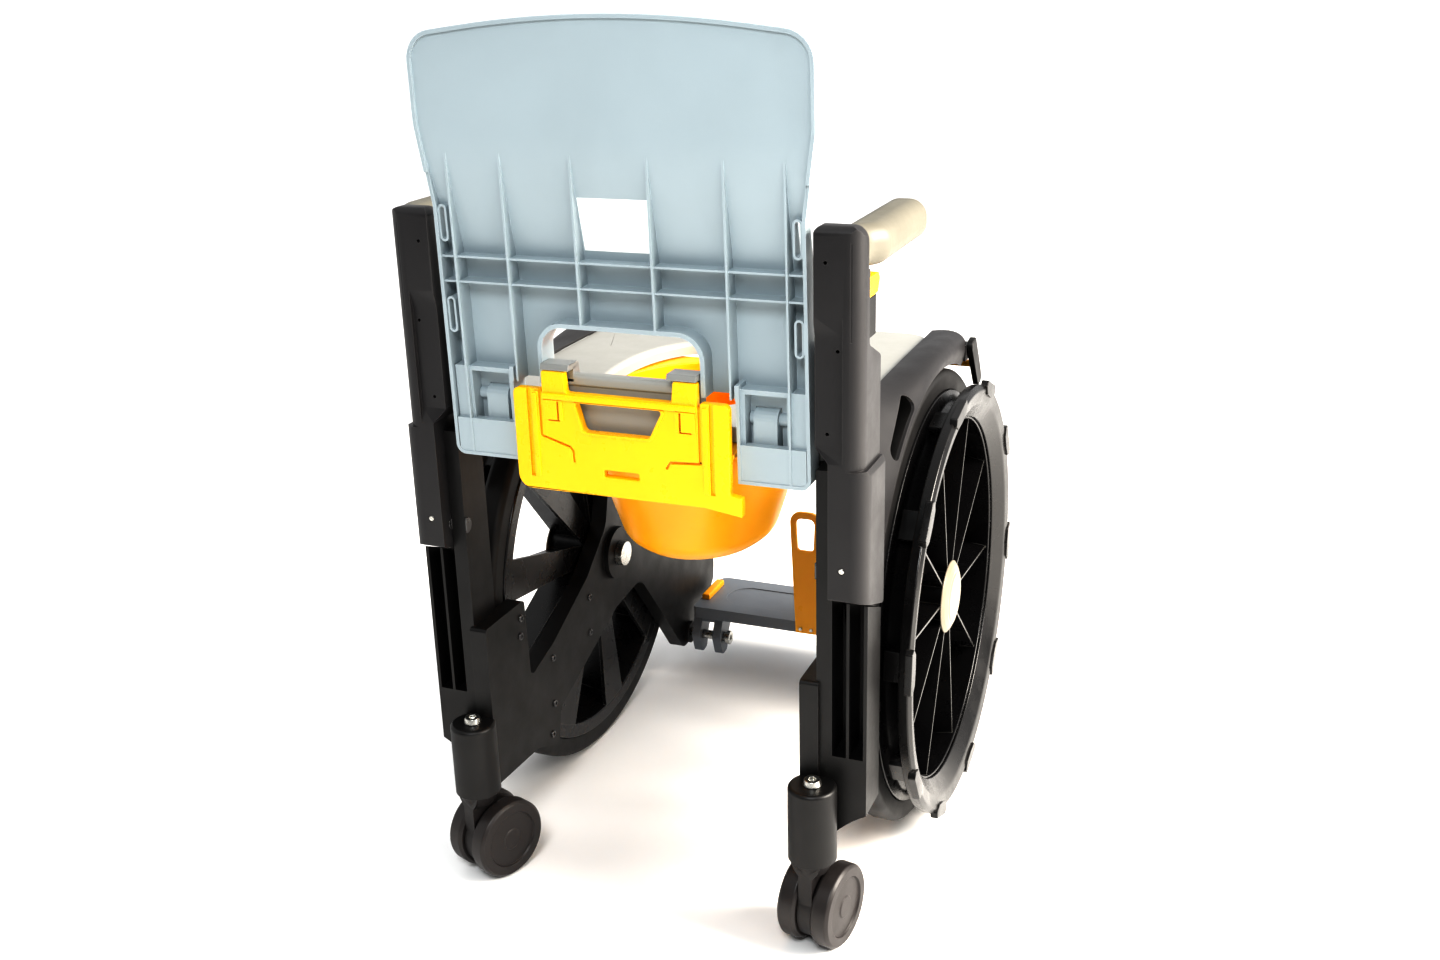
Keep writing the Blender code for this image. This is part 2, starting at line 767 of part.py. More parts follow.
def make_seat(base):
    """The seat plate with its skirt, the rear bar that the pan's handle catches on, and the lips."""
    half, rear, front = SEAT_HALF_WIDTH, SEAT_REAR_Y, SEAT_FRONT_Y
    tongue_half = HANDLE_TAB_OUTER + SEAT_GAP
    upstand_rear = BAR_REAR_Y - (BAR_DEPTH - UPSTAND_THICKNESS) / 2
    outline = rounded(
        [
            (half, rear, 0.008),
            (half, front, SEAT_CORNER),
            (-half, front, SEAT_CORNER),
            (-half, rear, 0.008),
            (-tongue_half, rear, 0.0),
            (-tongue_half, upstand_rear, 0.0),
            (tongue_half, upstand_rear, 0.0),
            (tongue_half, rear, 0.0),
        ]
    )
    seat = slab("seat", outline, "Z", (SEAT_BOTTOM, SEAT_TOP), holes=[seat_opening()])

    def on_mouth(first, second):
        top = min(first.z, second.z) > SEAT_TOP - 0.0001
        inside = all(
            (abs(v.x) / half) < 0.6 and (v.y < rear - 0.02) and (v.y > front + 0.02) for v in (first, second)
        )
        return top and inside

    def on_top_edge(first, second):
        top = min(first.z, second.z) > SEAT_TOP - 0.0001
        return top and not on_mouth(first, second) and max(first.y, second.y) < rear + 0.0001

    soften(seat, OPENING_ROUND, 2, on_mouth)
    soften(seat, SEAT_EDGE_ROUND, 2, on_top_edge)

    skirt_outline = rounded(
        [
            (half, rear, 0.008),
            (half, front, SEAT_CORNER),
            (-half, front, SEAT_CORNER),
            (-half, rear, 0.008),
            (-half + SEAT_SKIRT_WIDTH, rear, 0.0),
            (-half + SEAT_SKIRT_WIDTH, front + SEAT_SKIRT_WIDTH, 0.012),
            (half - SEAT_SKIRT_WIDTH, front + SEAT_SKIRT_WIDTH, 0.012),
            (half - SEAT_SKIRT_WIDTH, rear, 0.0),
        ]
    )
    skirt = slab("skirt", skirt_outline, "Z", (SEAT_BOTTOM - SEAT_SKIRT, SEAT_BOTTOM + 0.004))
    upstand = box(
        "upstand",
        (-tongue_half, tongue_half),
        (upstand_rear - UPSTAND_THICKNESS, upstand_rear),
        (SEAT_BOTTOM, BAR_TOP - 0.004),
    )
    bar_outline = rounded(
        [
            (BAR_REAR_Y, BAR_TOP - BAR_HEIGHT, 0.003),
            (BAR_REAR_Y, BAR_TOP, 0.005),
            (BAR_REAR_Y - BAR_DEPTH, BAR_TOP, 0.005),
            (BAR_REAR_Y - BAR_DEPTH, BAR_TOP - BAR_HEIGHT, 0.003),
        ],
        steps=3,
    )
    bar = slab("bar", bar_outline, "X", (-tongue_half, tongue_half))
    tab_top = BAR_TOP + 0.0045
    parts = [skirt, upstand, bar]
    for side in (1.0, -1.0):
        lip_outline = [
            (BAR_REAR_Y - BAR_DEPTH, BAR_TOP - 0.008),
            (BAR_REAR_Y, BAR_TOP - 0.008),
            (BAR_REAR_Y, tab_top + RUNNING_GAP),
            (BAR_REAR_Y + CATCH_LIP_REACH, tab_top + RUNNING_GAP),
            (BAR_REAR_Y + CATCH_LIP_REACH - 0.002, tab_top + RUNNING_GAP + CATCH_LIP_THICKNESS),
            (BAR_REAR_Y - BAR_DEPTH + 0.003, tab_top + RUNNING_GAP + CATCH_LIP_THICKNESS),
        ]
        limits = mirrored_limits(side, tongue_half - CATCH_WIDTH, tongue_half)
        parts.append(slab("lip", lip_outline, "X", limits))
    unite(seat, *parts)
    finish(seat, LIGHT_GREY, base)


def side_plate_outline():
    """The frame's inner plate: gusset, rising beam with the axle, and the front leg."""
    return rounded(
        [
            (POST_REAR_Y + 0.004, LEDGE_Z, 0.004),
            (-0.086, LEDGE_Z, 0.006),
            (-0.090, 0.192, 0.006),
            (-0.145, 0.209, 0.010),
            (-0.235, 0.252, 0.020),
            (-0.290, 0.296, 0.030),
            (-0.345, FRAME_TOP, 0.012),
            (SEAT_FRONT_Y + 0.006, FRAME_TOP, 0.012),
            (-0.470, 0.405, 0.060),
            (PLATE_REAR_Y - PLATE_LENGTH + 0.002, 0.118, 0.020),
            (PLATE_REAR_Y - PLATE_LENGTH + 0.006, 0.092, 0.010),
            (-0.560, FOOT_PIN_Z - 0.014, 0.020),
            (-0.508, FOOT_PIN_Z - 0.016, 0.018),
            (-0.455, 0.100, 0.040),
            (-0.380, 0.190, 0.030),
            (-0.308, 0.182, 0.020),
            (-0.152, 0.122, 0.010),
            (-0.144, 0.080, 0.008),
            (-0.094, SOCKET_BOTTOM - 0.004, 0.010),
            (POST_REAR_Y + 0.004, SOCKET_BOTTOM, 0.0),
        ]
    )


def make_side_frame(side_name, side, base):
    """One moulded side frame with its rear post, caster socket, axle boss and foot boss."""
    frame = slab(
        "side_frame_" + side_name,
        side_plate_outline(),
        "X",
        mirrored_limits(side, PLATE_INNER_X, PLATE_OUTER_X),
    )
    inner_limits = mirrored_limits(side, POST_INNER_X, POST_INNER_X + POST_INNER_DEPTH)
    outer_limits = mirrored_limits(side, POST_INNER_X + 0.006, POST_OUTER_X)
    lap = box(
        "lap",
        inner_limits,
        (POST_FRONT_Y, POST_REAR_Y),
        (SOCKET_BOTTOM + 0.006, FRAME_TOP),
    )
    block_outline = rounded(
        [
            (POST_REAR_Y, CHANNEL_TOP, 0.0),
            (POST_FRONT_Y, CHANNEL_TOP - 0.019, 0.0),
            (POST_FRONT_Y, SOCKET_BOTTOM + 0.004, 0.004),
            (POST_REAR_Y, SOCKET_BOTTOM + 0.010, 0.006),
        ]
    )
    block = slab("block", block_outline, "X", outer_limits)
    shelf = box(
        "shelf",
        mirrored_limits(side, PLATE_INNER_X + 0.002, POST_INNER_X + 0.004),
        (POST_FRONT_Y, SEAT_REAR_Y + 0.001),
        (SEAT_BOTTOM - SEAT_SKIRT - 0.0165, FRAME_TOP),
    )
    socket = rod(
        "socket",
        (side * SOCKET_X, SOCKET_Y, SOCKET_BOTTOM),
        (side * SOCKET_X, SOCKET_Y, SOCKET_TOP),
        SOCKET_RADIUS,
        segments=24,
    )
    soften(socket, 0.004, 2, lambda first, second: min(first.z, second.z) > SOCKET_TOP - 0.0001)
    axle_boss = rod(
        "axle_boss",
        (side * (PLATE_INNER_X - AXLE_BOSS_PROUD), AXLE_Y, AXLE_Z),
        (side * (PLATE_OUTER_X + 0.001), AXLE_Y, AXLE_Z),
        AXLE_BOSS_RADIUS,
        segments=20,
    )
    foot_boss = rod(
        "foot_boss",
        (side * (PLATE_INNER_X - 0.005), FOOT_PIN_Y, FOOT_PIN_Z),
        (side * PLATE_OUTER_X, FOOT_PIN_Y, FOOT_PIN_Z),
        FOOT_BOSS_RADIUS,
    )
    unite(frame, lap, block, shelf, socket, axle_boss, foot_boss)

    groove_low = POST_INNER_X + POST_INNER_DEPTH
    groove_high = POST_OUTER_X - CHANNEL_WALL
    groove_middle = (groove_low + groove_high) / 2
    grooves = []
    for low, high in ((groove_low, groove_middle - 0.0015), (groove_middle + 0.0015, groove_high)):
        grooves.append(
            box(
                "groove",
                mirrored_limits(side, low, high),
                (POST_FRONT_Y + CHANNEL_WEB, POST_REAR_Y + 0.01),
                (CHANNEL_BOTTOM, CHANNEL_TOP + 0.01),
            )
        )
    stem_bore = rod(
        "stem_bore",
        (side * SOCKET_X, SOCKET_Y, SOCKET_BOTTOM - 0.01),
        (side * SOCKET_X, SOCKET_Y, SOCKET_TOP + 0.01),
        STEM_BORE,
    )
    axle_bore = rod(
        "axle_bore",
        (side * 0.12, AXLE_Y, AXLE_Z),
        (side * 0.22, AXLE_Y, AXLE_Z),
        AXLE_RADIUS + RUNNING_GAP,
    )
    foot_bore = rod(
        "foot_bore",
        (side * 0.12, FOOT_PIN_Y, FOOT_PIN_Z),
        (side * 0.22, FOOT_PIN_Y, FOOT_PIN_Z),
        FOOT_PIN_RADIUS + SEAT_GAP,
    )
    arm_bore = rod(
        "arm_bore",
        (side * 0.15, ARM_PIVOT_Y, ARM_PIVOT_Z),
        (side * 0.26, ARM_PIVOT_Y, ARM_PIVOT_Z),
        ARM_BOLT_RADIUS + SEAT_GAP,
    )
    carve(frame, *grooves, stem_bore, axle_bore, foot_bore, arm_bore)
    finish(frame, BLACK, base)


def make_fixed_pins(side_name, side, base):
    """The steel pins fixed to a side frame: caster bolt, armrest bolt and footplate pin."""
    head = rod(
        "caster_bolt_" + side_name,
        (side * SOCKET_X, SOCKET_Y, SOCKET_TOP + SEAT_GAP),
        (side * SOCKET_X, SOCKET_Y, SOCKET_TOP + SEAT_GAP + 0.006),
        0.0095,
        0.0075,
    )
    shank = rod(
        "shank",
        (side * SOCKET_X, SOCKET_Y, SOCKET_BOTTOM + STEM_LENGTH + 0.004),
        (side * SOCKET_X, SOCKET_Y, SOCKET_TOP + 0.002),
        STEM_BORE - SEAT_GAP,
    )
    finish(unite(head, shank), STEEL, base)

    head_end = POST_INNER_X - SEAT_GAP
    arm_head = rod(
        "armrest_bolt_" + side_name,
        (side * (head_end - 0.004), ARM_PIVOT_Y, ARM_PIVOT_Z),
        (side * head_end, ARM_PIVOT_Y, ARM_PIVOT_Z),
        ARM_BOLT_HEAD,
    )
    arm_shank = rod(
        "arm_shank",
        (side * (head_end - 0.002), ARM_PIVOT_Y, ARM_PIVOT_Z),
        (side * (LOWER_OUTER_X - 0.009), ARM_PIVOT_Y, ARM_PIVOT_Z),
        ARM_BOLT_RADIUS,
    )
    finish(unite(arm_head, arm_shank), STEEL, base)

    pin_end = PLATE_HALF_WIDTH - JAW_THICKNESS - JAW_SPACING
    knob = rod(
        "footplate_pin_" + side_name,
        (side * (pin_end - 0.010), FOOT_PIN_Y, FOOT_PIN_Z),
        (side * (pin_end - 0.0045), FOOT_PIN_Y, FOOT_PIN_Z),
        FOOT_PIN_KNOB,
    )
    shaft = rod(
        "foot_shaft",
        (side * (pin_end - 0.006), FOOT_PIN_Y, FOOT_PIN_Z),
        (side * (PLATE_OUTER_X - 0.001), FOOT_PIN_Y, FOOT_PIN_Z),
        FOOT_PIN_RADIUS,
    )
    finish(unite(knob, shaft), STEEL, base)


def make_hinge_lug(side_name, side, base):
    """The lug under the seat's rear edge that rises into the backrest's recess."""
    foot_top = SEAT_BOTTOM - SEAT_GAP
    foot_bottom = foot_top - 0.008
    outline = [
        (PIN_Y - LUG_RADIUS - LUG_FOOT_LENGTH, foot_bottom),
        (PIN_Y + LUG_RADIUS, foot_bottom),
        (PIN_Y + LUG_RADIUS, PIN_Z),
    ]
    outline += arc((PIN_Y, PIN_Z), LUG_RADIUS, 15, 165, 8)
    outline += [
        (PIN_Y - LUG_RADIUS, PIN_Z),
        (PIN_Y - LUG_RADIUS, foot_top),
        (PIN_Y - LUG_RADIUS - LUG_FOOT_LENGTH, foot_top),
    ]
    lug = slab("hinge_lug_" + side_name, outline, "X", mirrored_limits(side, LUG_INNER_X, LUG_OUTER_X))
    bore = rod("lug_bore", (side * 0.10, PIN_Y, PIN_Z), (side * 0.18, PIN_Y, PIN_Z), PIN_BORE)
    finish(carve(lug, bore), BLACK, base)


def make_rail(side_name, side, base):
    """An L-shaped rail under the seat that the pan's flange slides on."""
    wall = PAN_FLANGE_HALF_WIDTH + RUNNING_GAP
    lip = wall - RAIL_LIP_HALF_WIDTH / 2
    top = SEAT_BOTTOM - SEAT_GAP
    lip_top = flange_bottom() - SEAT_GAP
    outline = [
        (side * lip, lip_top - RAIL_LIP_THICKNESS),
        (side * (wall + RAIL_WALL), lip_top - RAIL_LIP_THICKNESS),
        (side * (wall + RAIL_WALL), top),
        (side * wall, top),
        (side * wall, lip_top),
        (side * lip, lip_top),
    ]
    finish(slab("pan_rail_" + side_name, outline, "Y", (PAN_FRONT_Y, SEAT_REAR_Y - 0.003)), BLACK, base)


def arch_radius():
    return WHEEL_RADIUS + ARCH_CLEARANCE


def panel_point(along, across):
    """A place on the side panel's skin: along from rear to front, across from seat to arch."""
    top = Vector((SEAT_HALF_WIDTH + PANEL_GAP, PANEL_REAR_Y + (PANEL_FRONT_Y - PANEL_REAR_Y) * along, SEAT_TOP))
    angle = radians(ARCH_REAR_ANGLE + (ARCH_FRONT_ANGLE - ARCH_REAR_ANGLE) * along)
    low = Vector((TYRE_OUTER_X, AXLE_Y + arch_radius() * cos(angle), AXLE_Z + arch_radius() * sin(angle)))
    bulge = 4 * across * (1 - across) * (PANEL_REAR_BULGE + (PANEL_FRONT_BULGE - PANEL_REAR_BULGE) * along**2)
    return top.lerp(low, across) + Vector((0.8, 0.0, 0.6)) * bulge


def make_panel(side_name, side, base):
    """The side panel: a skin lofted from the seat's straight edge to the round wheel arch."""
    columns, rows = PANEL_COLUMNS, PANEL_ROWS
    shape = bmesh.new()
    grid = []
    for column in range(columns + 1):
        line = []
        for row in range(rows + 1):
            point = panel_point(column / columns, row / rows)
            line.append(shape.verts.new((side * point.x, point.y, point.z)))
        grid.append(line)
    for column in range(columns):
        for row in range(rows):
            corners = (
                grid[column][row],
                grid[column + 1][row],
                grid[column + 1][row + 1],
                grid[column][row + 1],
            )
            shape.faces.new(corners if side < 0 else corners[::-1])
    mesh = bpy.data.meshes.new("side_panel_" + side_name)
    shape.to_mesh(mesh)
    shape.free()
    panel = hold("side_panel_" + side_name, mesh)
    wall = panel.modifiers.new("wall", "SOLIDIFY")
    wall.thickness = PANEL_WALL
    wall.offset = -1.0
    weld(settle(panel))
    low_radius = arch_radius() + PANEL_SLOT_MARGIN
    middle_radius = low_radius + PANEL_SLOT_WIDTH / 2
    start = PANEL_SLOT_ANGLE - degrees(PANEL_SLOT_LENGTH / 2 / middle_radius)
    end = PANEL_SLOT_ANGLE + degrees(PANEL_SLOT_LENGTH / 2 / middle_radius)
    axle = (AXLE_Y, AXLE_Z)
    near_end = arc(axle, middle_radius, start, start, 1)[0]
    far_end = arc(axle, middle_radius, end, end, 1)[0]
    outline = arc(axle, low_radius + PANEL_SLOT_WIDTH, start, end, 3)
    outline += arc(far_end, PANEL_SLOT_WIDTH / 2, end, end + 180, 4)[1:-1]
    outline += arc(axle, low_radius, end, start, 3)
    outline += arc(near_end, PANEL_SLOT_WIDTH / 2, start + 180, start + 360, 4)[1:-1]
    carve(panel, slab("panel_slot", outline, "X", mirrored_limits(side, 0.17, 0.26)))
    add_brake_boss(panel, side)
    finish(panel, CHARCOAL, base)


def add_brake_boss(panel, side):
    """Thicken the panel's front end into the block that carries the brake's pivot."""
    reach = BRAKE_BOSS_SIZE / 2
    boss = box(
        "brake_boss",
        mirrored_limits(side, TYRE_INNER_X + 0.006, brake_inner_x() - RUNNING_GAP),
        (BRAKE_PIVOT_Y - reach, BRAKE_PIVOT_Y + reach),
        (BRAKE_PIVOT_Z - reach - 0.001, BRAKE_PIVOT_Z + reach - 0.003),
    )
    unite(panel, boss)
    bore = rod(
        "brake_bore",
        (side * (brake_inner_x() - BRAKE_PIN_LENGTH - 0.001), BRAKE_PIVOT_Y, BRAKE_PIVOT_Z),
        (side * (brake_inner_x() + 0.01), BRAKE_PIVOT_Y, BRAKE_PIVOT_Z),
        BRAKE_PIN_RADIUS + SEAT_GAP,
        segments=16,
    )
    return carve(panel, bore)


def brake_inner_x():
    return TYRE_OUTER_X + BRAKE_STANDOFF


def brake_point(reach, turn):
    """A place in the lever's plane, at a reach and an angle about its pivot."""
    angle = radians(BRAKE_REST_ANGLE + turn)
    return (BRAKE_PIVOT_Y + reach * cos(angle), BRAKE_PIVOT_Z + reach * sin(angle))


def make_brake(side_name, side, parent):
    """The wheel lock: a lever on the panel's front whose shoe swings back onto the tyre."""
    pivot = new_pivot("brake_pivot_" + side_name, parent, (0.0, BRAKE_PIVOT_Y, BRAKE_PIVOT_Z))
    inner = brake_inner_x()
    handle = BRAKE_HANDLE_REACH
    outline = rounded(
        [
            (*brake_point(0.016, 170), 0.007),
            (*brake_point(0.017, 255), 0.009),
            (*brake_point(0.046, -14), 0.030),
            (*brake_point(handle, -6), 0.005),
            (*brake_point(handle - 0.007, 9), 0.005),
            (*brake_point(0.030, 14), 0.012),
        ],
        steps=4,
    )
    lever = slab("brake_lever_" + side_name, outline, "X", mirrored_limits(side, inner, inner + BRAKE_THICKNESS))
    stub = rod(
        "brake_stub",
        (side * (inner - BRAKE_PIN_LENGTH), BRAKE_PIVOT_Y, BRAKE_PIVOT_Z),
        (side * (inner + 0.002), BRAKE_PIVOT_Y, BRAKE_PIVOT_Z),
        BRAKE_PIN_RADIUS,
        segments=16,
    )
    finish(unite(lever, stub), BLACK, pivot)
    shoe_y, shoe_z = brake_point(BRAKE_ARM, 0)
    shoe = rod(
        "brake_shoe_" + side_name,
        (side * (TYRE_INNER_X + 0.004), shoe_y, shoe_z),
        (side * (inner - SEAT_GAP), shoe_y, shoe_z),
        BRAKE_SHOE_RADIUS,
        segments=16,
    )
    finish(shoe, ORANGE, pivot)
    return pivot


def back_outline(margin=0.0, bottom=None):
    """The backrest's outline from behind, wide at the shoulders under a crowned top."""
    low = (BACK_BOTTOM if bottom is None else bottom) + margin
    half = BACK_HALF_WIDTH - margin
    wide = BACK_TOP_HALF_WIDTH - margin
    top = BACK_TOP - margin
    corner = max(BACK_CORNER - margin, 0.002)
    low_corner = max(BACK_LOW_CORNER - margin, 0.0)
    crown = []
    for step in range(1, 4):
        x = wide - 0.034 - (2 * wide - 0.068) * step / 4
        crown.append((x, top + BACK_CROWN * (1 - (x / wide) ** 2), 0.0))
    return rounded(
        [
            (half, low, low_corner),
            (half - 0.0015, BACK_SHOULDER - 0.045, 0.020),
            (wide - 0.001, BACK_SHOULDER + 0.030, 0.040),
            (wide - 0.0015, top + 0.0015, corner),
            *crown,
            (-wide + 0.0015, top + 0.0015, corner),
            (-wide + 0.001, BACK_SHOULDER + 0.030, 0.040),
            (-half + 0.0015, BACK_SHOULDER - 0.045, 0.020),
            (-half, low, low_corner),
        ]
    )


def skin_section(front, rear):
    """The skin's side view: deep in the lower half, rising to the ribs' rear face above."""
    return [
        (front, BACK_BOTTOM - 0.01),
        (rear, BACK_BOTTOM - 0.01),
        (rear, BACK_SLOPE_START),
        (rear + BACK_DEPTH - BACK_SKIN, BACK_SLOPE_END),
        (rear + BACK_DEPTH - BACK_SKIN, BACK_TOP + 0.05),
        (front + BACK_DEPTH - BACK_SKIN, BACK_TOP + 0.05),
        (front + BACK_DEPTH - BACK_SKIN, BACK_SLOPE_END),
        (front, BACK_SLOPE_START),
    ]


def make_backrest(parent):
    """The folding backrest: skin, bead, six upright ribs, two cross ribs, cut-out and recesses."""
    pivot = new_pivot("backrest_pivot", parent, (0.0, PIN_Y, PIN_Z))
    front, rear = -BACK_DEPTH, -BACK_DEPTH + BACK_SKIN
    back = slab("backrest", skin_section(front, rear), "X", (-0.3, 0.3))
    blank = slab("blank", back_outline(), "Y", (-0.06, 0.03))
    combine(back, [blank], "INTERSECT")

    bead = slab("bead", back_outline(), "Y", (rear + BACK_DEPTH - 2 * BACK_SKIN, BEAD_RISE), [back_outline(BEAD_WIDTH)])
    high_side = box("high_side", (-0.3, 0.3), (-0.1, 0.1), (BACK_SLOPE_END - 0.004, BACK_TOP + 0.1))
    combine(bead, [high_side], "INTERSECT")
    wall = slab("wall", back_outline(), "Y", (front, 0.0), [back_outline(BEAD_WIDTH)])
    low_side = box("low_side", (-0.3, 0.3), (-0.1, 0.1), (BACK_BOTTOM - 0.1, BACK_SLOPE_END))
    combine(wall, [low_side], "INTERSECT")

    half_rib = RIB_THICKNESS / 2
    parts = [bead, wall]
    for side in (1.0, -1.0):
        for x in RIB_PLACES:
            parts.append(
                box(
                    "rib",
                    (side * x - half_rib, side * x + half_rib),
                    (rear - 0.001, 0.0),
                    (BACK_BOTTOM + 0.001, BACK_SLOPE_END + 0.008),
                )
            )
    for height in CROSS_RIB_HEIGHTS:
        parts.append(
            box(
                "cross_rib",
                (-BACK_HALF_WIDTH + 0.003, BACK_HALF_WIDTH - 0.003),
                (rear - 0.001, -CROSS_RIB_SHY),
                (height - half_rib, height + half_rib),
            )
        )
    flange_half = CUTOUT_HALF_WIDTH + CUTOUT_FLANGE
    flange_outline = rounded(
        [
            (flange_half, PAN_WAY_TOP - 0.004, 0.0),
            (flange_half, CUTOUT_TOP + CUTOUT_FLANGE, CUTOUT_CORNER + CUTOUT_FLANGE),
            (-flange_half, CUTOUT_TOP + CUTOUT_FLANGE, CUTOUT_CORNER + CUTOUT_FLANGE),
            (-flange_half, PAN_WAY_TOP - 0.004, 0.0),
        ]
    )
    parts.append(slab("cutout_flange", flange_outline, "Y", (front, 0.0)))
    cheek_inner = PAN_WAY_HALF_WIDTH
    for side in (1.0, -1.0):
        for low, high in ((cheek_inner, RECESS_INNER_X), (RECESS_OUTER_X, RECESS_OUTER_X + 0.0075)):
            parts.append(
                box("cheek", mirrored_limits(side, low, high), (front, 0.0), (BACK_BOTTOM + 0.0005, CHEEK_HEIGHT))
            )
        parts.append(
            box(
                "recess_roof",
                mirrored_limits(side, RECESS_INNER_X - 0.001, RECESS_OUTER_X + 0.001),
                (front, -0.0005),
                (RECESS_TOP - 0.001, CHEEK_HEIGHT - 0.004),
            )
        )
        for height in GRIP_SLOT_HEIGHTS:
            rim_outline = stadium(
                (side * GRIP_SLOT_X, height),
                GRIP_SLOT_LENGTH + 2 * GRIP_SLOT_RIM,
                GRIP_SLOT_WIDTH + 2 * GRIP_SLOT_RIM,
                2,
            )
            parts.append(slab("slot_rim", rim_outline, "Y", (rear - 0.001, -0.002)))
    unite(back, *parts)

    cuts = []
    cutout_outline = rounded(
        [
            (CUTOUT_HALF_WIDTH, BACK_BOTTOM - 0.02, 0.0),
            (CUTOUT_HALF_WIDTH, CUTOUT_TOP, CUTOUT_CORNER),
            (-CUTOUT_HALF_WIDTH, CUTOUT_TOP, CUTOUT_CORNER),
            (-CUTOUT_HALF_WIDTH, BACK_BOTTOM - 0.02, 0.0),
        ]
    )
    cuts.append(slab("cutout", cutout_outline, "Y", (-0.05, 0.02)))
    for side in (1.0, -1.0):
        cuts.append(
            box(
                "recess",
                mirrored_limits(side, RECESS_INNER_X, RECESS_OUTER_X),
                (-0.05, 0.02),
                (RECESS_BOTTOM, RECESS_TOP),
            )
        )
        for height in GRIP_SLOT_HEIGHTS:
            slot_outline = stadium((side * GRIP_SLOT_X, height), GRIP_SLOT_LENGTH, GRIP_SLOT_WIDTH, 2)
            cuts.append(slab("grip_slot", slot_outline, "Y", (-0.05, 0.02)))
    carve(back, *cuts)
    pan_way = box(
        "pan_way",
        (-PAN_WAY_HALF_WIDTH, PAN_WAY_HALF_WIDTH),
        (-0.05, 0.02),
        (BACK_BOTTOM - 0.02, PAN_WAY_TOP),
    )
    carve(back, pan_way)
    covers = []
    for side in (1.0, -1.0):
        covers.append(
            box(
                "recess_cover",
                mirrored_limits(side, RECESS_INNER_X - 0.002, RECESS_OUTER_X + 0.002),
                (-RECESS_COVER_DEPTH, -0.0002),
                (BACK_BOTTOM + 0.002, RECESS_COVER_TOP),
            )
        )
    unite(back, *covers)
    lean = spun(-BACK_RECLINE, "X", (0.0, PIN_Y, PIN_Z))
    finish(place(back, lean), BLUE_GREY, pivot)

    for side_name, side in SIDES:
        pin = rod(
            "back_pin_" + side_name,
            (side * (RECESS_INNER_X + SEAT_GAP), PIN_Y, PIN_Z),
            (side * (RECESS_OUTER_X - SEAT_GAP), PIN_Y, PIN_Z),
            PIN_RADIUS,
            segments=20,
        )
        finish(pin, BLUE_GREY, pivot)
    return pivot


def upright_outline():
    """The armrest upright from the side, with its flared foot and the seat for the pad."""
    pad_bottom = PAD_TOP - PAD_HEIGHT
    ledge_y = UPRIGHT_REAR_Y - SHELL_BACK_THICKNESS
    return rounded(
        [
            (UPRIGHT_REAR_Y, LOWER_REAR_Z, 0.003),
            (UPRIGHT_REAR_Y, UPRIGHT_TOP, 0.010),
            (ledge_y, UPRIGHT_TOP, 0.003),
            (ledge_y, pad_bottom - SEAT_GAP, 0.0),
            (UPRIGHT_FRONT_Y, pad_bottom - SEAT_GAP, 0.0),
            (UPRIGHT_FRONT_Y, FLARE_TOP, 0.006),
            (LOWER_FRONT_Y, FLARE_BOTTOM, 0.010),
            (LOWER_FRONT_Y, LOWER_FRONT_Z, 0.005),
        ]
    )


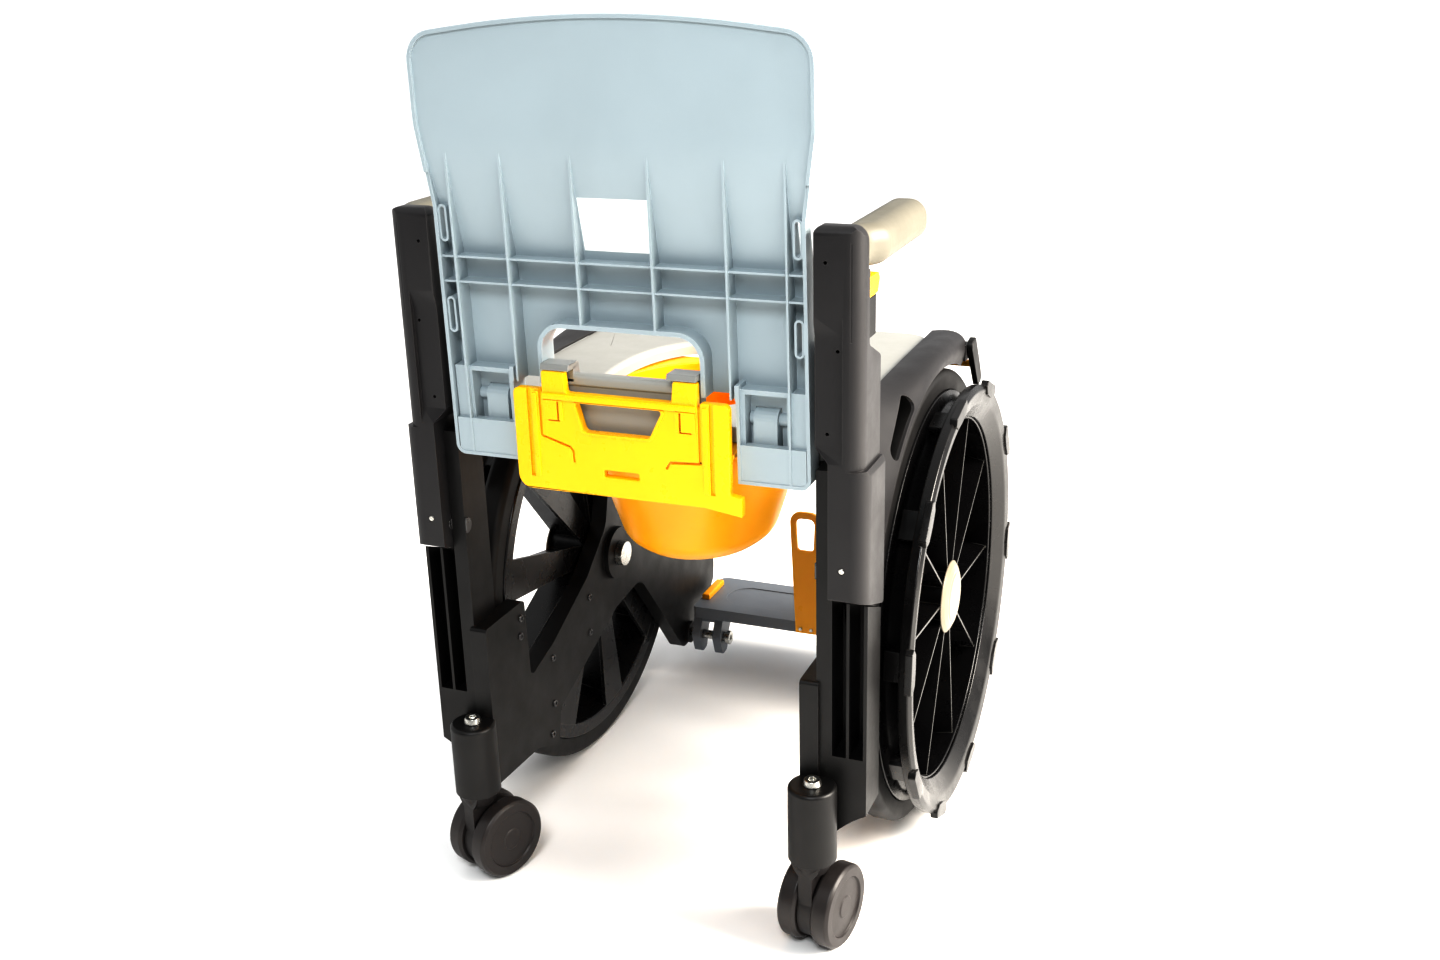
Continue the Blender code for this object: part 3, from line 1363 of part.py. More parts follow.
def make_armrest(side_name, side, parent):
    """A swing-back armrest: moulded upright with a pad on top, turning on a bolt at its foot."""
    pivot = new_pivot("armrest_pivot_" + side_name, parent, (0.0, ARM_PIVOT_Y, ARM_PIVOT_Z))
    upright = slab(
        "armrest_upright_" + side_name,
        upright_outline(),
        "X",
        mirrored_limits(side, UPRIGHT_INNER_X, LOWER_OUTER_X),
    )
    inner_cut_outline = [
        (side * (UPRIGHT_INNER_X - 0.01), LOWER_FRONT_Z - 0.05),
        (side * LOWER_INNER_X, LOWER_FRONT_Z - 0.05),
        (side * LOWER_INNER_X, UPRIGHT_STEP),
        (side * UPRIGHT_INNER_X, UPRIGHT_STEP + 0.014),
        (side * (UPRIGHT_INNER_X - 0.01), UPRIGHT_STEP + 0.014),
    ]
    outer_cut_outline = [
        (side * (LOWER_OUTER_X + 0.01), LOWER_TOP),
        (side * LOWER_OUTER_X, LOWER_TOP),
        (side * UPRIGHT_OUTER_X, LOWER_TOP + 0.012),
        (side * UPRIGHT_OUTER_X, UPRIGHT_TOP + 0.05),
        (side * (LOWER_OUTER_X + 0.01), UPRIGHT_TOP + 0.05),
    ]
    inner_cut = slab("inner_cut", inner_cut_outline, "Y", (-0.2, 0.1))
    outer_cut = slab("outer_cut", outer_cut_outline, "Y", (-0.2, 0.1))
    carve(upright, inner_cut, outer_cut)

    def rear_outer(first, second):
        rear = min(first.y, second.y) > UPRIGHT_REAR_Y - 0.0001
        outer = min(abs(first.x), abs(second.x)) > UPRIGHT_OUTER_X - 0.0001
        return rear and outer and abs(first.z - second.z) > 0.002

    soften(upright, UPRIGHT_CORNER, 3, rear_outer)
    panel = box(
        "rear_panel",
        mirrored_limits(side, UPRIGHT_INNER_X - 0.002, UPRIGHT_OUTER_X - 0.0185),
        (UPRIGHT_REAR_Y - REAR_PANEL_DEPTH, UPRIGHT_REAR_Y + 0.01),
        (UPRIGHT_STEP + 0.024, FLARE_TOP + 0.006),
    )
    bore = rod(
        "arm_bore",
        (side * (LOWER_INNER_X - 0.02), ARM_PIVOT_Y, ARM_PIVOT_Z),
        (side * (LOWER_OUTER_X - 0.0085), ARM_PIVOT_Y, ARM_PIVOT_Z),
        ARM_BOLT_RADIUS + SEAT_GAP,
    )
    carve(upright, panel, bore)
    finish(upright, CHARCOAL, pivot)

    rear = UPRIGHT_REAR_Y - SHELL_BACK_THICKNESS - SEAT_GAP
    pad = box(
        "armrest_pad_" + side_name,
        mirrored_limits(side, PAD_INNER_X, PAD_INNER_X + PAD_WIDTH),
        (rear - PAD_LENGTH, rear),
        (PAD_TOP - PAD_HEIGHT, PAD_TOP),
    )

    def long_or_front(first, second):
        along = abs(first.y - second.y) > 0.01
        front = max(first.y, second.y) < rear - PAD_LENGTH + 0.0001
        return along or front

    soften(pad, PAD_ROUND, 4, long_or_front)
    finish(pad, CHARCOAL, pivot)

    release = new_pivot("release_pivot_" + side_name, pivot, (0.0, UPRIGHT_FRONT_Y, PAD_TOP - PAD_HEIGHT))
    outer_x = UPRIGHT_OUTER_X - RELEASE_INSET
    top = PAD_TOP - PAD_HEIGHT - RELEASE_STROKE - 0.001
    contact_y = UPRIGHT_FRONT_Y - SEAT_GAP
    trigger_outline = rounded(
        [
            (contact_y, top, 0.0),
            (contact_y, top - RELEASE_HEIGHT, 0.0),
            (contact_y - RELEASE_DEPTH + 0.006, top - RELEASE_HEIGHT, 0.004),
            (contact_y - RELEASE_DEPTH, top - 0.006, 0.004),
            (contact_y - RELEASE_DEPTH + 0.005, top, 0.003),
        ],
        steps=3,
    )
    trigger = slab(
        "armrest_release_" + side_name,
        trigger_outline,
        "X",
        mirrored_limits(side, outer_x - RELEASE_WIDTH, outer_x),
    )
    finish(trigger, ORANGE, release)
    strip_top = top - RELEASE_HEIGHT - SEAT_GAP
    strip = box(
        "release_rod_" + side_name,
        mirrored_limits(side, outer_x - ROD_WIDTH, outer_x),
        (contact_y - ROD_DEPTH, contact_y),
        (FLARE_TOP + ROD_FOOT_GAP, strip_top),
    )
    finish(strip, BLACK, release)
    return pivot


def flange_top():
    return SEAT_BOTTOM - 0.0017


def flange_bottom():
    return flange_top() - PAN_FLANGE_THICKNESS


def make_pan(parent):
    """The sliding pan: an oval bowl under a flat flange, with the handle plate at its rear."""
    pivot = new_pivot("pan_pivot", parent, (0.0, PAN_Y, flange_bottom()))
    top = flange_top()
    wall = PAN_WALL
    profile = [
        (PAN_RIM_RADIUS, top),
        (PAN_RIM_RADIUS, BACK_BOTTOM - 0.004),
        (PAN_BELLY_RADIUS, PAN_BELLY_Z),
        (PAN_BASE_RADIUS + 0.007, PAN_BOTTOM + 0.014),
        (PAN_BASE_RADIUS - 0.012, PAN_BOTTOM),
        (0.0, PAN_BOTTOM),
        (0.0, PAN_BOTTOM + wall),
        (PAN_BASE_RADIUS - 0.013, PAN_BOTTOM + wall),
        (PAN_BASE_RADIUS + 0.004, PAN_BOTTOM + wall + 0.013),
        (PAN_BELLY_RADIUS - wall, PAN_BELLY_Z),
        (PAN_RIM_RADIUS - wall, BACK_BOTTOM - 0.004),
        (PAN_RIM_RADIUS - wall, top),
    ]
    bowl = turned("pan_bowl", profile, PAN_STEPS, ring=True)
    oval = Matrix.Diagonal((1.0, PAN_OVAL, 1.0, 1.0))
    place(bowl, oval, shifted(y=PAN_Y))
    mouth = []
    for step in range(PAN_STEPS):
        angle = 2 * pi * step / PAN_STEPS
        reach = PAN_RIM_RADIUS - wall / 2
        mouth.append((reach * cos(angle), PAN_Y + reach * PAN_OVAL * sin(angle)))
    half = PAN_FLANGE_HALF_WIDTH
    rear = HANDLE_FRONT_Y - SEAT_GAP
    flange_outline = rounded(
        [
            (half, rear, 0.0),
            (half, PAN_FRONT_Y, 0.020),
            (-half, PAN_FRONT_Y, 0.020),
            (-half, rear, 0.0),
        ]
    )
    flange = slab("flange", flange_outline, "Z", (flange_bottom(), top), holes=[mouth])
    finish(unite(bowl, flange), ORANGE, pivot)

    make_handle(pivot)
    return pivot


def make_handle(pivot):
    """The handle plate: ears, two tabs under the catch lips, finger slot and stepped grooves."""
    near, far = HANDLE_FRONT_Y, HANDLE_FRONT_Y + HANDLE_THICKNESS
    wide, main = HANDLE_HALF_WIDTH, HANDLE_MAIN_HALF_WIDTH
    tab_top = BAR_TOP + 0.0045
    outline = rounded(
        [
            (wide, HANDLE_BOTTOM, 0.014),
            (wide, HANDLE_EAR_TOP, 0.006),
            (main + 0.0015, HANDLE_EAR_TOP, 0.003),
            (main, HANDLE_TOP - 0.004, 0.0),
            (HANDLE_TAB_OUTER, HANDLE_TOP, 0.0),
            (HANDLE_TAB_OUTER, tab_top, 0.003),
            (HANDLE_TAB_INNER, tab_top, 0.003),
            (HANDLE_TAB_INNER - 0.002, HANDLE_TOP, 0.002),
            (-HANDLE_TAB_INNER + 0.002, HANDLE_TOP, 0.002),
            (-HANDLE_TAB_INNER, tab_top, 0.003),
            (-HANDLE_TAB_OUTER, tab_top, 0.003),
            (-HANDLE_TAB_OUTER, HANDLE_TOP, 0.0),
            (-main, HANDLE_TOP - 0.004, 0.0),
            (-main - 0.0015, HANDLE_EAR_TOP, 0.003),
            (-wide, HANDLE_EAR_TOP, 0.006),
            (-wide, HANDLE_BOTTOM + 0.015, 0.0),
            (-wide - 0.0115, HANDLE_BOTTOM + 0.013, 0.0),
            (-wide - 0.0115, HANDLE_BOTTOM - 0.0055, 0.0),
            (-main - 0.004, HANDLE_BOTTOM, 0.0),
        ],
        steps=3,
    )
    grip = rounded(
        [
            (0.0445, 0.548, 0.003),
            (-0.0455, 0.548, 0.003),
            (-0.0310, 0.5195, 0.005),
            (0.0365, 0.5195, 0.005),
        ],
        steps=3,
    )
    drain = rounded(
        [(0.0175, 0.4765, 0.001), (0.0175, 0.4835, 0.001), (-0.0185, 0.4835, 0.001), (-0.0185, 0.4765, 0.001)],
        steps=1,
    )
    handle = slab("pan_handle", outline, "Y", (near, far), holes=[grip, drain])
    band = box("band", (-main + 0.002, main - 0.002), (far - 0.001, far + 0.0025), (0.5492, HANDLE_TOP - 0.001))
    unite(handle, band)

    floor = far - GROOVE_DEPTH
    cuts = []
    for side in (1.0, -1.0):
        cuts.append(
            box(
                "side_groove",
                mirrored_limits(side, main - 0.0005, main + GROOVE_WIDTH),
                (floor, far + 0.01),
                (0.512 if side > 0 else HANDLE_BOTTOM + 0.042, HANDLE_EAR_TOP + 0.01),
            )
        )
        cuts.append(
            box(
                "ear_groove",
                mirrored_limits(side, main + 0.0105, main + 0.0150),
                (floor, far + 0.01),
                (HANDLE_BOTTOM + 0.013, HANDLE_EAR_TOP + 0.01),
            )
        )
    step_outline = [
        (main + 0.001, 0.5135),
        (main + 0.001, 0.5110),
        (0.0525, 0.5020),
        (0.0500, 0.4985),
        (0.0495, 0.4880),
        (0.0470, 0.4880),
        (0.0475, 0.4995),
        (0.0515, 0.5045),
    ]
    cuts.append(slab("left_step", step_outline, "Y", (floor, far + 0.01)))
    right_outline = [
        (-main - 0.001, 0.5010),
        (-main - 0.001, 0.4985),
        (-0.0520, 0.4965),
        (-0.0480, 0.4905),
        (-0.0460, 0.4920),
        (-0.0510, 0.4995),
    ]
    cuts.append(slab("right_step", right_outline, "Y", (floor, far + 0.01)))
    carve(handle, *cuts)
    finish(handle, ORANGE, pivot)


def make_footplate(parent):
    """The flip-up footplate on four jaws, with its upright lever and two end blocks."""
    pivot = new_pivot("footplate_pivot", parent, (0.0, FOOT_PIN_Y, FOOT_PIN_Z))
    half, rear, front = PLATE_HALF_WIDTH, PLATE_REAR_Y, PLATE_REAR_Y - PLATE_LENGTH
    outline = rounded(
        [(half, rear, 0.005), (half, front, 0.014), (-half, front, 0.014), (-half, rear, 0.005)]
    )
    plate = slab("footplate", outline, "Z", (UNDERSIDE, PLATE_TOP))
    soften(plate, 0.003, 2, lambda first, second: min(first.z, second.z) > PLATE_TOP - 0.0001)
    tread_middle = (rear + front) / 2
    tread = [
        (point_y, tread_middle + point_x) for point_x, point_y in stadium((0.0, 0.0), 2 * half - 0.062, 0.060, 8)
    ]
    tread_cut = slab("tread", tread, "Z", (PLATE_TOP - 0.0012, PLATE_TOP + 0.01))
    carve(plate, tread_cut)
    bays = []
    bay_count = 4
    bay_width = (2 * half - 2 * 0.052 - (bay_count - 1) * 0.004) / bay_count
    for index in range(bay_count):
        start = -half + 0.052 + index * (bay_width + 0.004)
        bays.append(
            box(
                "bay",
                (start, start + bay_width),
                (front + PLATE_RIM, rear - PLATE_RIM),
                (UNDERSIDE - 0.01, PLATE_TOP - PLATE_SKIN),
            )
        )
    carve(plate, *bays)
    finish(plate, FOOT_GREY, pivot)

    lever_bottom = UNDERSIDE + 0.002
    lever_outline = rounded(
        [
            (LEVER_X + LEVER_LOW_HALF_WIDTH, lever_bottom, 0.002),
            (LEVER_X + LEVER_HIGH_HALF_WIDTH, LEVER_TOP, 0.015),
            (LEVER_X - LEVER_HIGH_HALF_WIDTH, LEVER_TOP, 0.015),
            (LEVER_X - LEVER_LOW_HALF_WIDTH, lever_bottom, 0.002),
        ]
    )
    loop_half = LEVER_HIGH_HALF_WIDTH - 0.0085
    loop = rounded(
        [
            (LEVER_X + loop_half - 0.002, LEVER_LOOP_BOTTOM, 0.005),
            (LEVER_X + loop_half, LEVER_TOP - 0.009, 0.008),
            (LEVER_X - loop_half, LEVER_TOP - 0.009, 0.008),
            (LEVER_X - loop_half + 0.002, LEVER_LOOP_BOTTOM, 0.005),
        ]
    )
    near = rear + SEAT_GAP
    lever = slab("footplate_lever", lever_outline, "Y", (near, near + LEVER_THICKNESS), holes=[loop])
    finish(lever, ORANGE, pivot)

    for side_name, side in SIDES:
        base_top = UNDERSIDE - SEAT_GAP
        low_x = half - 2 * JAW_THICKNESS - JAW_SPACING + 0.012
        jaws = box(
            "footplate_jaws_" + side_name,
            mirrored_limits(side, low_x, half),
            (rear - 0.046, rear - 0.004),
            (base_top - JAW_BASE, base_top),
        )
        jaw_outline = rounded(
            [
                (rear - 0.046, base_top - 0.001, 0.0),
                (rear - 0.004, base_top - 0.001, 0.0),
                (FOOT_PIN_Y + 0.016, FOOT_PIN_Z + 0.004, 0.008),
                (FOOT_PIN_Y + 0.006, FOOT_PIN_Z - 0.025, 0.006),
                (FOOT_PIN_Y - 0.010, FOOT_PIN_Z - 0.023, 0.006),
                (FOOT_PIN_Y - 0.018, FOOT_PIN_Z + 0.002, 0.010),
            ],
            steps=3,
        )
        outer_jaw = slab("jaw", jaw_outline, "X", mirrored_limits(side, half - JAW_THICKNESS, half))
        inner_jaw = slab("jaw", jaw_outline, "X", mirrored_limits(side, low_x, low_x + JAW_THICKNESS))
        unite(jaws, outer_jaw, inner_jaw)
        bore = rod(
            "jaw_bore",
            (side * (low_x - 0.02), FOOT_PIN_Y, FOOT_PIN_Z),
            (side * (half + 0.02), FOOT_PIN_Y, FOOT_PIN_Z),
            FOOT_PIN_RADIUS + RUNNING_GAP,
        )
        finish(carve(jaws, bore), FOOT_GREY, pivot)
        block = box(
            "footplate_block_" + side_name,
            mirrored_limits(side, half - 0.003 - CATCH_BLOCK_WIDTH, half - 0.003),
            (tread_middle - CATCH_LENGTH / 2, tread_middle + CATCH_LENGTH / 2),
            (PLATE_TOP + SEAT_GAP, PLATE_TOP + SEAT_GAP + CATCH_BLOCK_HEIGHT),
        )
        soften(block, 0.002, 2, lambda first, second: min(first.z, second.z) > PLATE_TOP + CATCH_BLOCK_HEIGHT)
        finish(block, ORANGE, pivot)
    return pivot


def make_caster(side_name, side, turn, parent):
    """A twin-wheel caster that swivels on its stem, turned a little as it last rolled."""
    centre = (side * SOCKET_X, SOCKET_Y, 0.0)
    swivel = new_pivot("caster_pivot_" + side_name, parent, centre)
    to_place = Matrix.Translation(centre) @ Matrix.Rotation(radians(turn), 4, "Z")
    crown_z = SOCKET_BOTTOM - RUNNING_GAP
    axle = Vector((0.0, -CASTER_TRAIL, CASTER_RADIUS))

    disc = rod(
        "caster_fork_" + side_name,
        (-CASTER_HALF_GAP + RUNNING_GAP, axle.y, axle.z),
        (CASTER_HALF_GAP - RUNNING_GAP, axle.y, axle.z),
        CASTER_DISC_RADIUS,
        segments=24,
    )
    neck_outline = rounded(
        [
            (-0.0165, crown_z, 0.0),
            (0.0165, crown_z, 0.0),
            (0.0130, crown_z - 0.009, 0.006),
            (0.0074, crown_z - 0.0165, 0.0),
            (0.0074, axle.z, 0.0),
            (-0.0074, axle.z, 0.0),
            (-0.0074, crown_z - 0.0165, 0.0),
            (-0.0130, crown_z - 0.009, 0.006),
        ]
    )
    neck = slab("neck", neck_outline, "Y", (-0.016, 0.016))
    crown = rod("crown", (0, 0, crown_z - 0.014), (0, 0, crown_z), 0.0150, 0.0195, segments=20)
    stem = rod("stem", (0, 0, crown_z - 0.004), (0, 0, crown_z + STEM_LENGTH), STEM_RADIUS)
    pin_end = CASTER_HALF_GAP + CASTER_WHEEL_WIDTH * 0.7
    axle_pin = rod("axle_pin", (-pin_end, axle.y, axle.z), (pin_end, axle.y, axle.z), CASTER_AXLE_RADIUS, segments=12)
    unite(disc, neck, crown, stem, axle_pin)
    finish(place(disc, to_place), CHARCOAL, swivel)

    inner_side = -side
    for label, direction in (("inner", inner_side), ("outer", side)):
        roll = new_pivot(
            "caster_roll_" + side_name + "_" + label, swivel, to_place @ Vector((0.0, axle.y, axle.z))
        )
        near = CASTER_HALF_GAP
        face = near + CASTER_WHEEL_WIDTH
        bore = CASTER_AXLE_RADIUS + SEAT_GAP
        profile = [
            (0.0, face),
            (CASTER_RADIUS - 0.003, face),
            (CASTER_RADIUS, face - 0.003),
            (CASTER_RADIUS, near + 0.003),
            (CASTER_RADIUS - 0.003, near),
            (bore, near),
            (bore, near + 0.8 * CASTER_WHEEL_WIDTH),
            (0.0, near + 0.8 * CASTER_WHEEL_WIDTH),
        ]
        wheel = turned("caster_wheel_" + side_name + "_" + label, profile, CASTER_STEPS)
        lie = Matrix.Rotation(direction * pi / 2, 4, "Y")
        finish(place(wheel, lie, shifted(y=axle.y, z=axle.z), to_place), CHARCOAL, roll)
    return swivel


def centre_chair(base):
    """Move the chair so that the middle of its footprint is the world's origin."""
    bpy.context.view_layer.update()
    lows, highs = [], []
    for item in CHAIR.objects:
        if item.type == "MESH":
            places = [(item.matrix_world @ vert.co).y for vert in item.data.vertices]
            lows.append(min(places))
            highs.append(max(places))
    base.location.y = -(min(lows) + max(highs)) / 2
    bpy.context.view_layer.update()


def build_chair():
    base = new_pivot("chair_base")
    make_seat(base)
    for side_name, side in SIDES:
        make_side_frame(side_name, side, base)
        make_fixed_pins(side_name, side, base)
        make_hinge_lug(side_name, side, base)
        make_rail(side_name, side, base)
        make_panel(side_name, side, base)
        make_axle(side_name, side, base)
        make_brake(side_name, side, base)
        make_armrest(side_name, side, base)
    make_wheel("left", 1.0, FIRST_SPOKE_LEFT, base)
    make_wheel("right", -1.0, FIRST_SPOKE_RIGHT, base)
    make_caster("left", 1.0, CASTER_TURN_LEFT, base)
    make_caster("right", -1.0, CASTER_TURN_RIGHT, base)
    make_backrest(base)
    make_pan(base)
    make_footplate(base)
    centre_chair(base)


build_chair()
bpy.data.collections.remove(WORK)
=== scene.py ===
"""A travel shower commode chair, built piece by piece over the solids of its frame.

Metres, +Z up. The seat faces -Y, and +X is on the left as one sits in the chair. Every shape is
drawn with Y = 0 on the rear face of the backrest's ribs, and the last step of each piece moves it
onto the frame.
"""

from math import atan2, ceil, cos, degrees, pi, radians, sin, sqrt, tan

import bmesh
import bpy
from mathutils import Matrix, Vector


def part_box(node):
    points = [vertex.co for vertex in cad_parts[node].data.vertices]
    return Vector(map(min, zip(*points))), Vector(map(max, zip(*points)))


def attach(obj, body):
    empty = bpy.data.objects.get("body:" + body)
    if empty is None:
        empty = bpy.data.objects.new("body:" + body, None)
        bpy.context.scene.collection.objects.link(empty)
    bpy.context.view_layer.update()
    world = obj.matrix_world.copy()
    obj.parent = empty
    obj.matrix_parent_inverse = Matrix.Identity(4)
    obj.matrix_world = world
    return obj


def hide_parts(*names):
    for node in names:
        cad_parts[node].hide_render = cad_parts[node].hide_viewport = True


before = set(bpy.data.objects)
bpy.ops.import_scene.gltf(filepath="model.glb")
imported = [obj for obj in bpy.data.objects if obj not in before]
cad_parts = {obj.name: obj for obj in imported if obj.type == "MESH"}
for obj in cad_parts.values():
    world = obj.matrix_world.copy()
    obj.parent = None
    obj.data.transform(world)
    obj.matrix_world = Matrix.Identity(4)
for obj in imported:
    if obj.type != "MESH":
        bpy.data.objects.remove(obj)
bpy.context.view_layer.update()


# Side frames: two mouldings of black glass-filled nylon that carry everything else. Each has a rear
# post with open channels, a gusset down to the caster's socket, a beam that rises to the axle and
# the front leg, is moulded in one shot, ejected through its open rear, and screwed to the seat.

AXLE_Y, AXLE_Z, AXLE_RADIUS = -0.312, 0.254, 0.010
AXLE_BOSS_RADIUS, AXLE_BOSS_RISE = 0.032, 0.006
SEAT_TOP, SEAT_BOTTOM = 0.525, 0.510
SEAT_REAR_Y, SEAT_FRONT_Y = -0.0315, -0.420
POST_INNER_X, POST_INNER_DEPTH, POST_OUTER_X = 0.187, 0.0155, 0.237
POST_REAR_Y, POST_FRONT_Y = -0.008, -0.052
FRAME_TOP = 0.4997
PLATE_INNER_X, PLATE_OUTER_X = 0.171, 0.190
LEDGE_Z = 0.287
CHANNEL_TOP, CHANNEL_BOTTOM, CHANNEL_WALL, CHANNEL_WEB = 0.3715, 0.209, 0.0035, 0.008
CHANNEL_RIB = 0.003
SOCKET_X, SOCKET_Y, SOCKET_RADIUS, SOCKET_BOTTOM, SOCKET_TOP = 0.188, 0.0087, 0.024, 0.104, 0.184
STEM_BORE = 0.0085
FOOT_PIN_Y, FOOT_PIN_Z, FOOT_PIN_RADIUS = -0.528, 0.050, 0.006
FOOT_BOSS_RADIUS, FOOT_BOSS_RISE = 0.015, 0.005
FOOT_SWEEP_OUT, FOOT_SWEEP_Z, FOOT_SWEEP_RADIUS, FOOT_SWEEP_TURN = 0.052, 0.050, 0.1115, (117, 162)
BORE_REACH = (0.12, 0.22)
# The gap between pieces that touch, the play of a bore, and how far a cut runs past a face.
FIT_GAP, BORE_PLAY, PAST = 0.0003, 0.0005, 0.01
FRAME_SCREWS = ((-0.141, 0.191), (-0.138, 0.135), (-0.238, 0.225), (-0.235, 0.181),
                (-0.076, 0.269), (-0.073, 0.249), (-0.129, 0.100))
FRAME_SCREW_RADIUS, FRAME_SCREW_HEIGHT = 0.0042, 0.0016
# A screw head's chamfer and key as shares of its radius, and the key's floor as a share of its height.
SCREW_CHAMFER, SCREW_KEY, SCREW_KEY_FLOOR = 0.22, 0.52, 0.35
SIDES = (("left", 1.0), ("right", -1.0))

cap_low, cap_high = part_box("hub_cap_left")
TO_FRAME = Matrix.Translation((0.0, (cap_low.y + cap_high.y) / 2 - AXLE_Y, 0.0))

# How far a moulding's flow patches stray from its shade, how wide and how strongly its edges are painted
# paler, partly as rubbed wear and partly as a painted highlight, the size of the patches that hands dull,
# and how far its roughness strays either way.
FLOW_DARK, FLOW_PALE = 0.90, 1.09
WEAR_AND_HIGHLIGHT_WIDTH, WEAR_AND_HIGHLIGHT_SHARE, WEAR_AND_HIGHLIGHT_FROM, WEAR_AND_HIGHLIGHT_FULL = 0.0012, 0.40, 0.985, 0.86
HANDLED_PATCH, GLOSS_BELOW, GLOSS_ABOVE = 0.035, 0.06, 0.07
GRAIN_STRENGTH = 0.6


def linear(hex_colour):
    """A colour of the paint chart, given as sRGB hex, in the linear values that a shader takes."""
    values = [int(hex_colour[place:place + 2], 16) / 255 for place in (1, 3, 5)]
    return (*(v / 12.92 if v <= 0.04045 else ((v + 0.055) / 1.055) ** 2.4 for v in values), 1.0)


def add_node(tree, kind, settings=None, values=None, links=None):
    """One node with its settings, the values of its own sockets, and the sockets that feed it."""
    node = tree.nodes.new(kind)
    for name, value in (settings or {}).items():
        setattr(node, name, value)
    for socket, value in (values or {}).items():
        node.inputs[socket].default_value = value
    for socket, source in (links or {}).items():
        tree.links.new(source, node.inputs[socket])
    return node


def moulded_plastic(name, shade, rub_and_highlight, roughness, grain, relief, patch=0.10, ior=1.50):
    """Injection-moulded plastic: an eroded grain, faint flow patches, and edges painted paler, partly as
    rubbed wear and partly as a painted highlight.

    Grain and patch are real sizes in metres, relief is the grain's depth.
    """
    material = bpy.data.materials.new(name)
    material.use_nodes = True
    tree = material.node_tree
    shader = tree.nodes["Principled BSDF"]
    shader.inputs["IOR"].default_value = ior
    surface = add_node(tree, "ShaderNodeTexCoord").outputs["Object"]
    flow = add_node(
        tree, "ShaderNodeTexNoise", values={"Scale": 1 / patch, "Detail": 3.0, "Distortion": 0.6},
        links={"Vector": surface})
    deep = tuple(FLOW_DARK * value for value in linear(shade)[:3]) + (1.0,)
    pale = tuple(min(1.0, FLOW_PALE * value) for value in linear(shade)[:3]) + (1.0,)
    tone = add_node(
        tree, "ShaderNodeMix", {"data_type": "RGBA"}, {6: deep, 7: pale}, {0: flow.outputs["Fac"]})
    # Where the rounded normal turns away from the true one, the edge is painted paler: rubbed wear and a
    # painted highlight.
    true_face = add_node(tree, "ShaderNodeNewGeometry").outputs["Normal"]
    rounded_face = add_node(tree, "ShaderNodeBevel", {"samples": 4}, {"Radius": WEAR_AND_HIGHLIGHT_WIDTH})
    match = add_node(
        tree, "ShaderNodeVectorMath", {"operation": "DOT_PRODUCT"},
        links={0: rounded_face.outputs["Normal"], 1: true_face})
    wear_and_highlight = add_node(
        tree, "ShaderNodeMapRange",
        values={"From Min": WEAR_AND_HIGHLIGHT_FROM, "From Max": WEAR_AND_HIGHLIGHT_FULL, "To Min": 0.0, "To Max": WEAR_AND_HIGHLIGHT_SHARE},
        links={"Value": match.outputs["Value"]})
    worn_and_highlit_tone = add_node(
        tree, "ShaderNodeMix", {"data_type": "RGBA"}, {7: linear(rub_and_highlight)},
        {0: wear_and_highlight.outputs["Result"], 6: tone.outputs[2]})
    tree.links.new(worn_and_highlit_tone.outputs[2], shader.inputs["Base Color"])
    handled = add_node(
        tree, "ShaderNodeTexNoise", values={"Scale": 1 / HANDLED_PATCH, "Detail": 4.0, "Roughness": 0.6},
        links={"Vector": surface})
    gloss = add_node(
        tree, "ShaderNodeMapRange",
        values={"From Min": 0.3, "From Max": 0.7,
                "To Min": roughness - GLOSS_BELOW, "To Max": roughness + GLOSS_ABOVE},
        links={"Value": handled.outputs["Fac"]})
    tree.links.new(gloss.outputs["Result"], shader.inputs["Roughness"])
    eroded = add_node(
        tree, "ShaderNodeTexNoise", values={"Scale": 1 / grain, "Detail": 2.0, "Roughness": 0.7},
        links={"Vector": surface})
    bump = add_node(
        tree, "ShaderNodeBump", values={"Strength": GRAIN_STRENGTH, "Distance": relief},
        links={"Height": eroded.outputs["Fac"]})
    tree.links.new(bump.outputs["Normal"], shader.inputs["Normal"])
    return material


def drawn(name, mesh):
    """An object for a mesh that is still being worked on."""
    item = bpy.data.objects.new(name, mesh)
    bpy.context.scene.collection.objects.link(item)
    return item


def settle(item):
    """Keep what an object's modifiers make as its own mesh."""
    bpy.context.view_layer.update()
    graph = bpy.context.evaluated_depsgraph_get()
    mesh = bpy.data.meshes.new_from_object(item.evaluated_get(graph))
    item.modifiers.clear()
    item.data = mesh
    return item


def weld(item):
    """Close a shape's seams and turn its faces outward."""
    shape = bmesh.new()
    shape.from_mesh(item.data)
    bmesh.ops.remove_doubles(shape, verts=shape.verts, dist=0.00001)
    bmesh.ops.recalc_face_normals(shape, faces=shape.faces)
    shape.to_mesh(item.data)
    shape.free()
    return item


def combine(base, others, operation):
    """Join solids to a base, or cut them from it, in one exact step."""
    tools = bpy.data.collections.new("tools")
    bpy.context.scene.collection.children.link(tools)
    for other in others:
        bpy.context.scene.collection.objects.unlink(other)
        tools.objects.link(other)
    step = base.modifiers.new(operation.lower(), "BOOLEAN")
    step.operation = operation
    step.solver = "EXACT"
    step.operand_type = "COLLECTION"
    step.collection = tools
    settle(base)
    for other in others:
        bpy.data.objects.remove(other, do_unlink=True)
    bpy.data.collections.remove(tools)
    return base


def unite(base, *others):
    return combine(base, others, "UNION")


def carve(base, *others):
    return combine(base, others, "DIFFERENCE")


def block(x_range, y_range, z_range):
    """An upright block between pairs of limits, in either order."""
    low = Vector((min(x_range), min(y_range), min(z_range)))
    high = Vector((max(x_range), max(y_range), max(z_range)))
    shape = bmesh.new()
    bmesh.ops.create_cube(shape, size=1.0)
    shape.transform(Matrix.Translation((low + high) / 2) @ Matrix.Diagonal((*(high - low), 1.0)))
    mesh = bpy.data.meshes.new("block")
    shape.to_mesh(mesh)
    shape.free()
    return drawn("block", mesh)


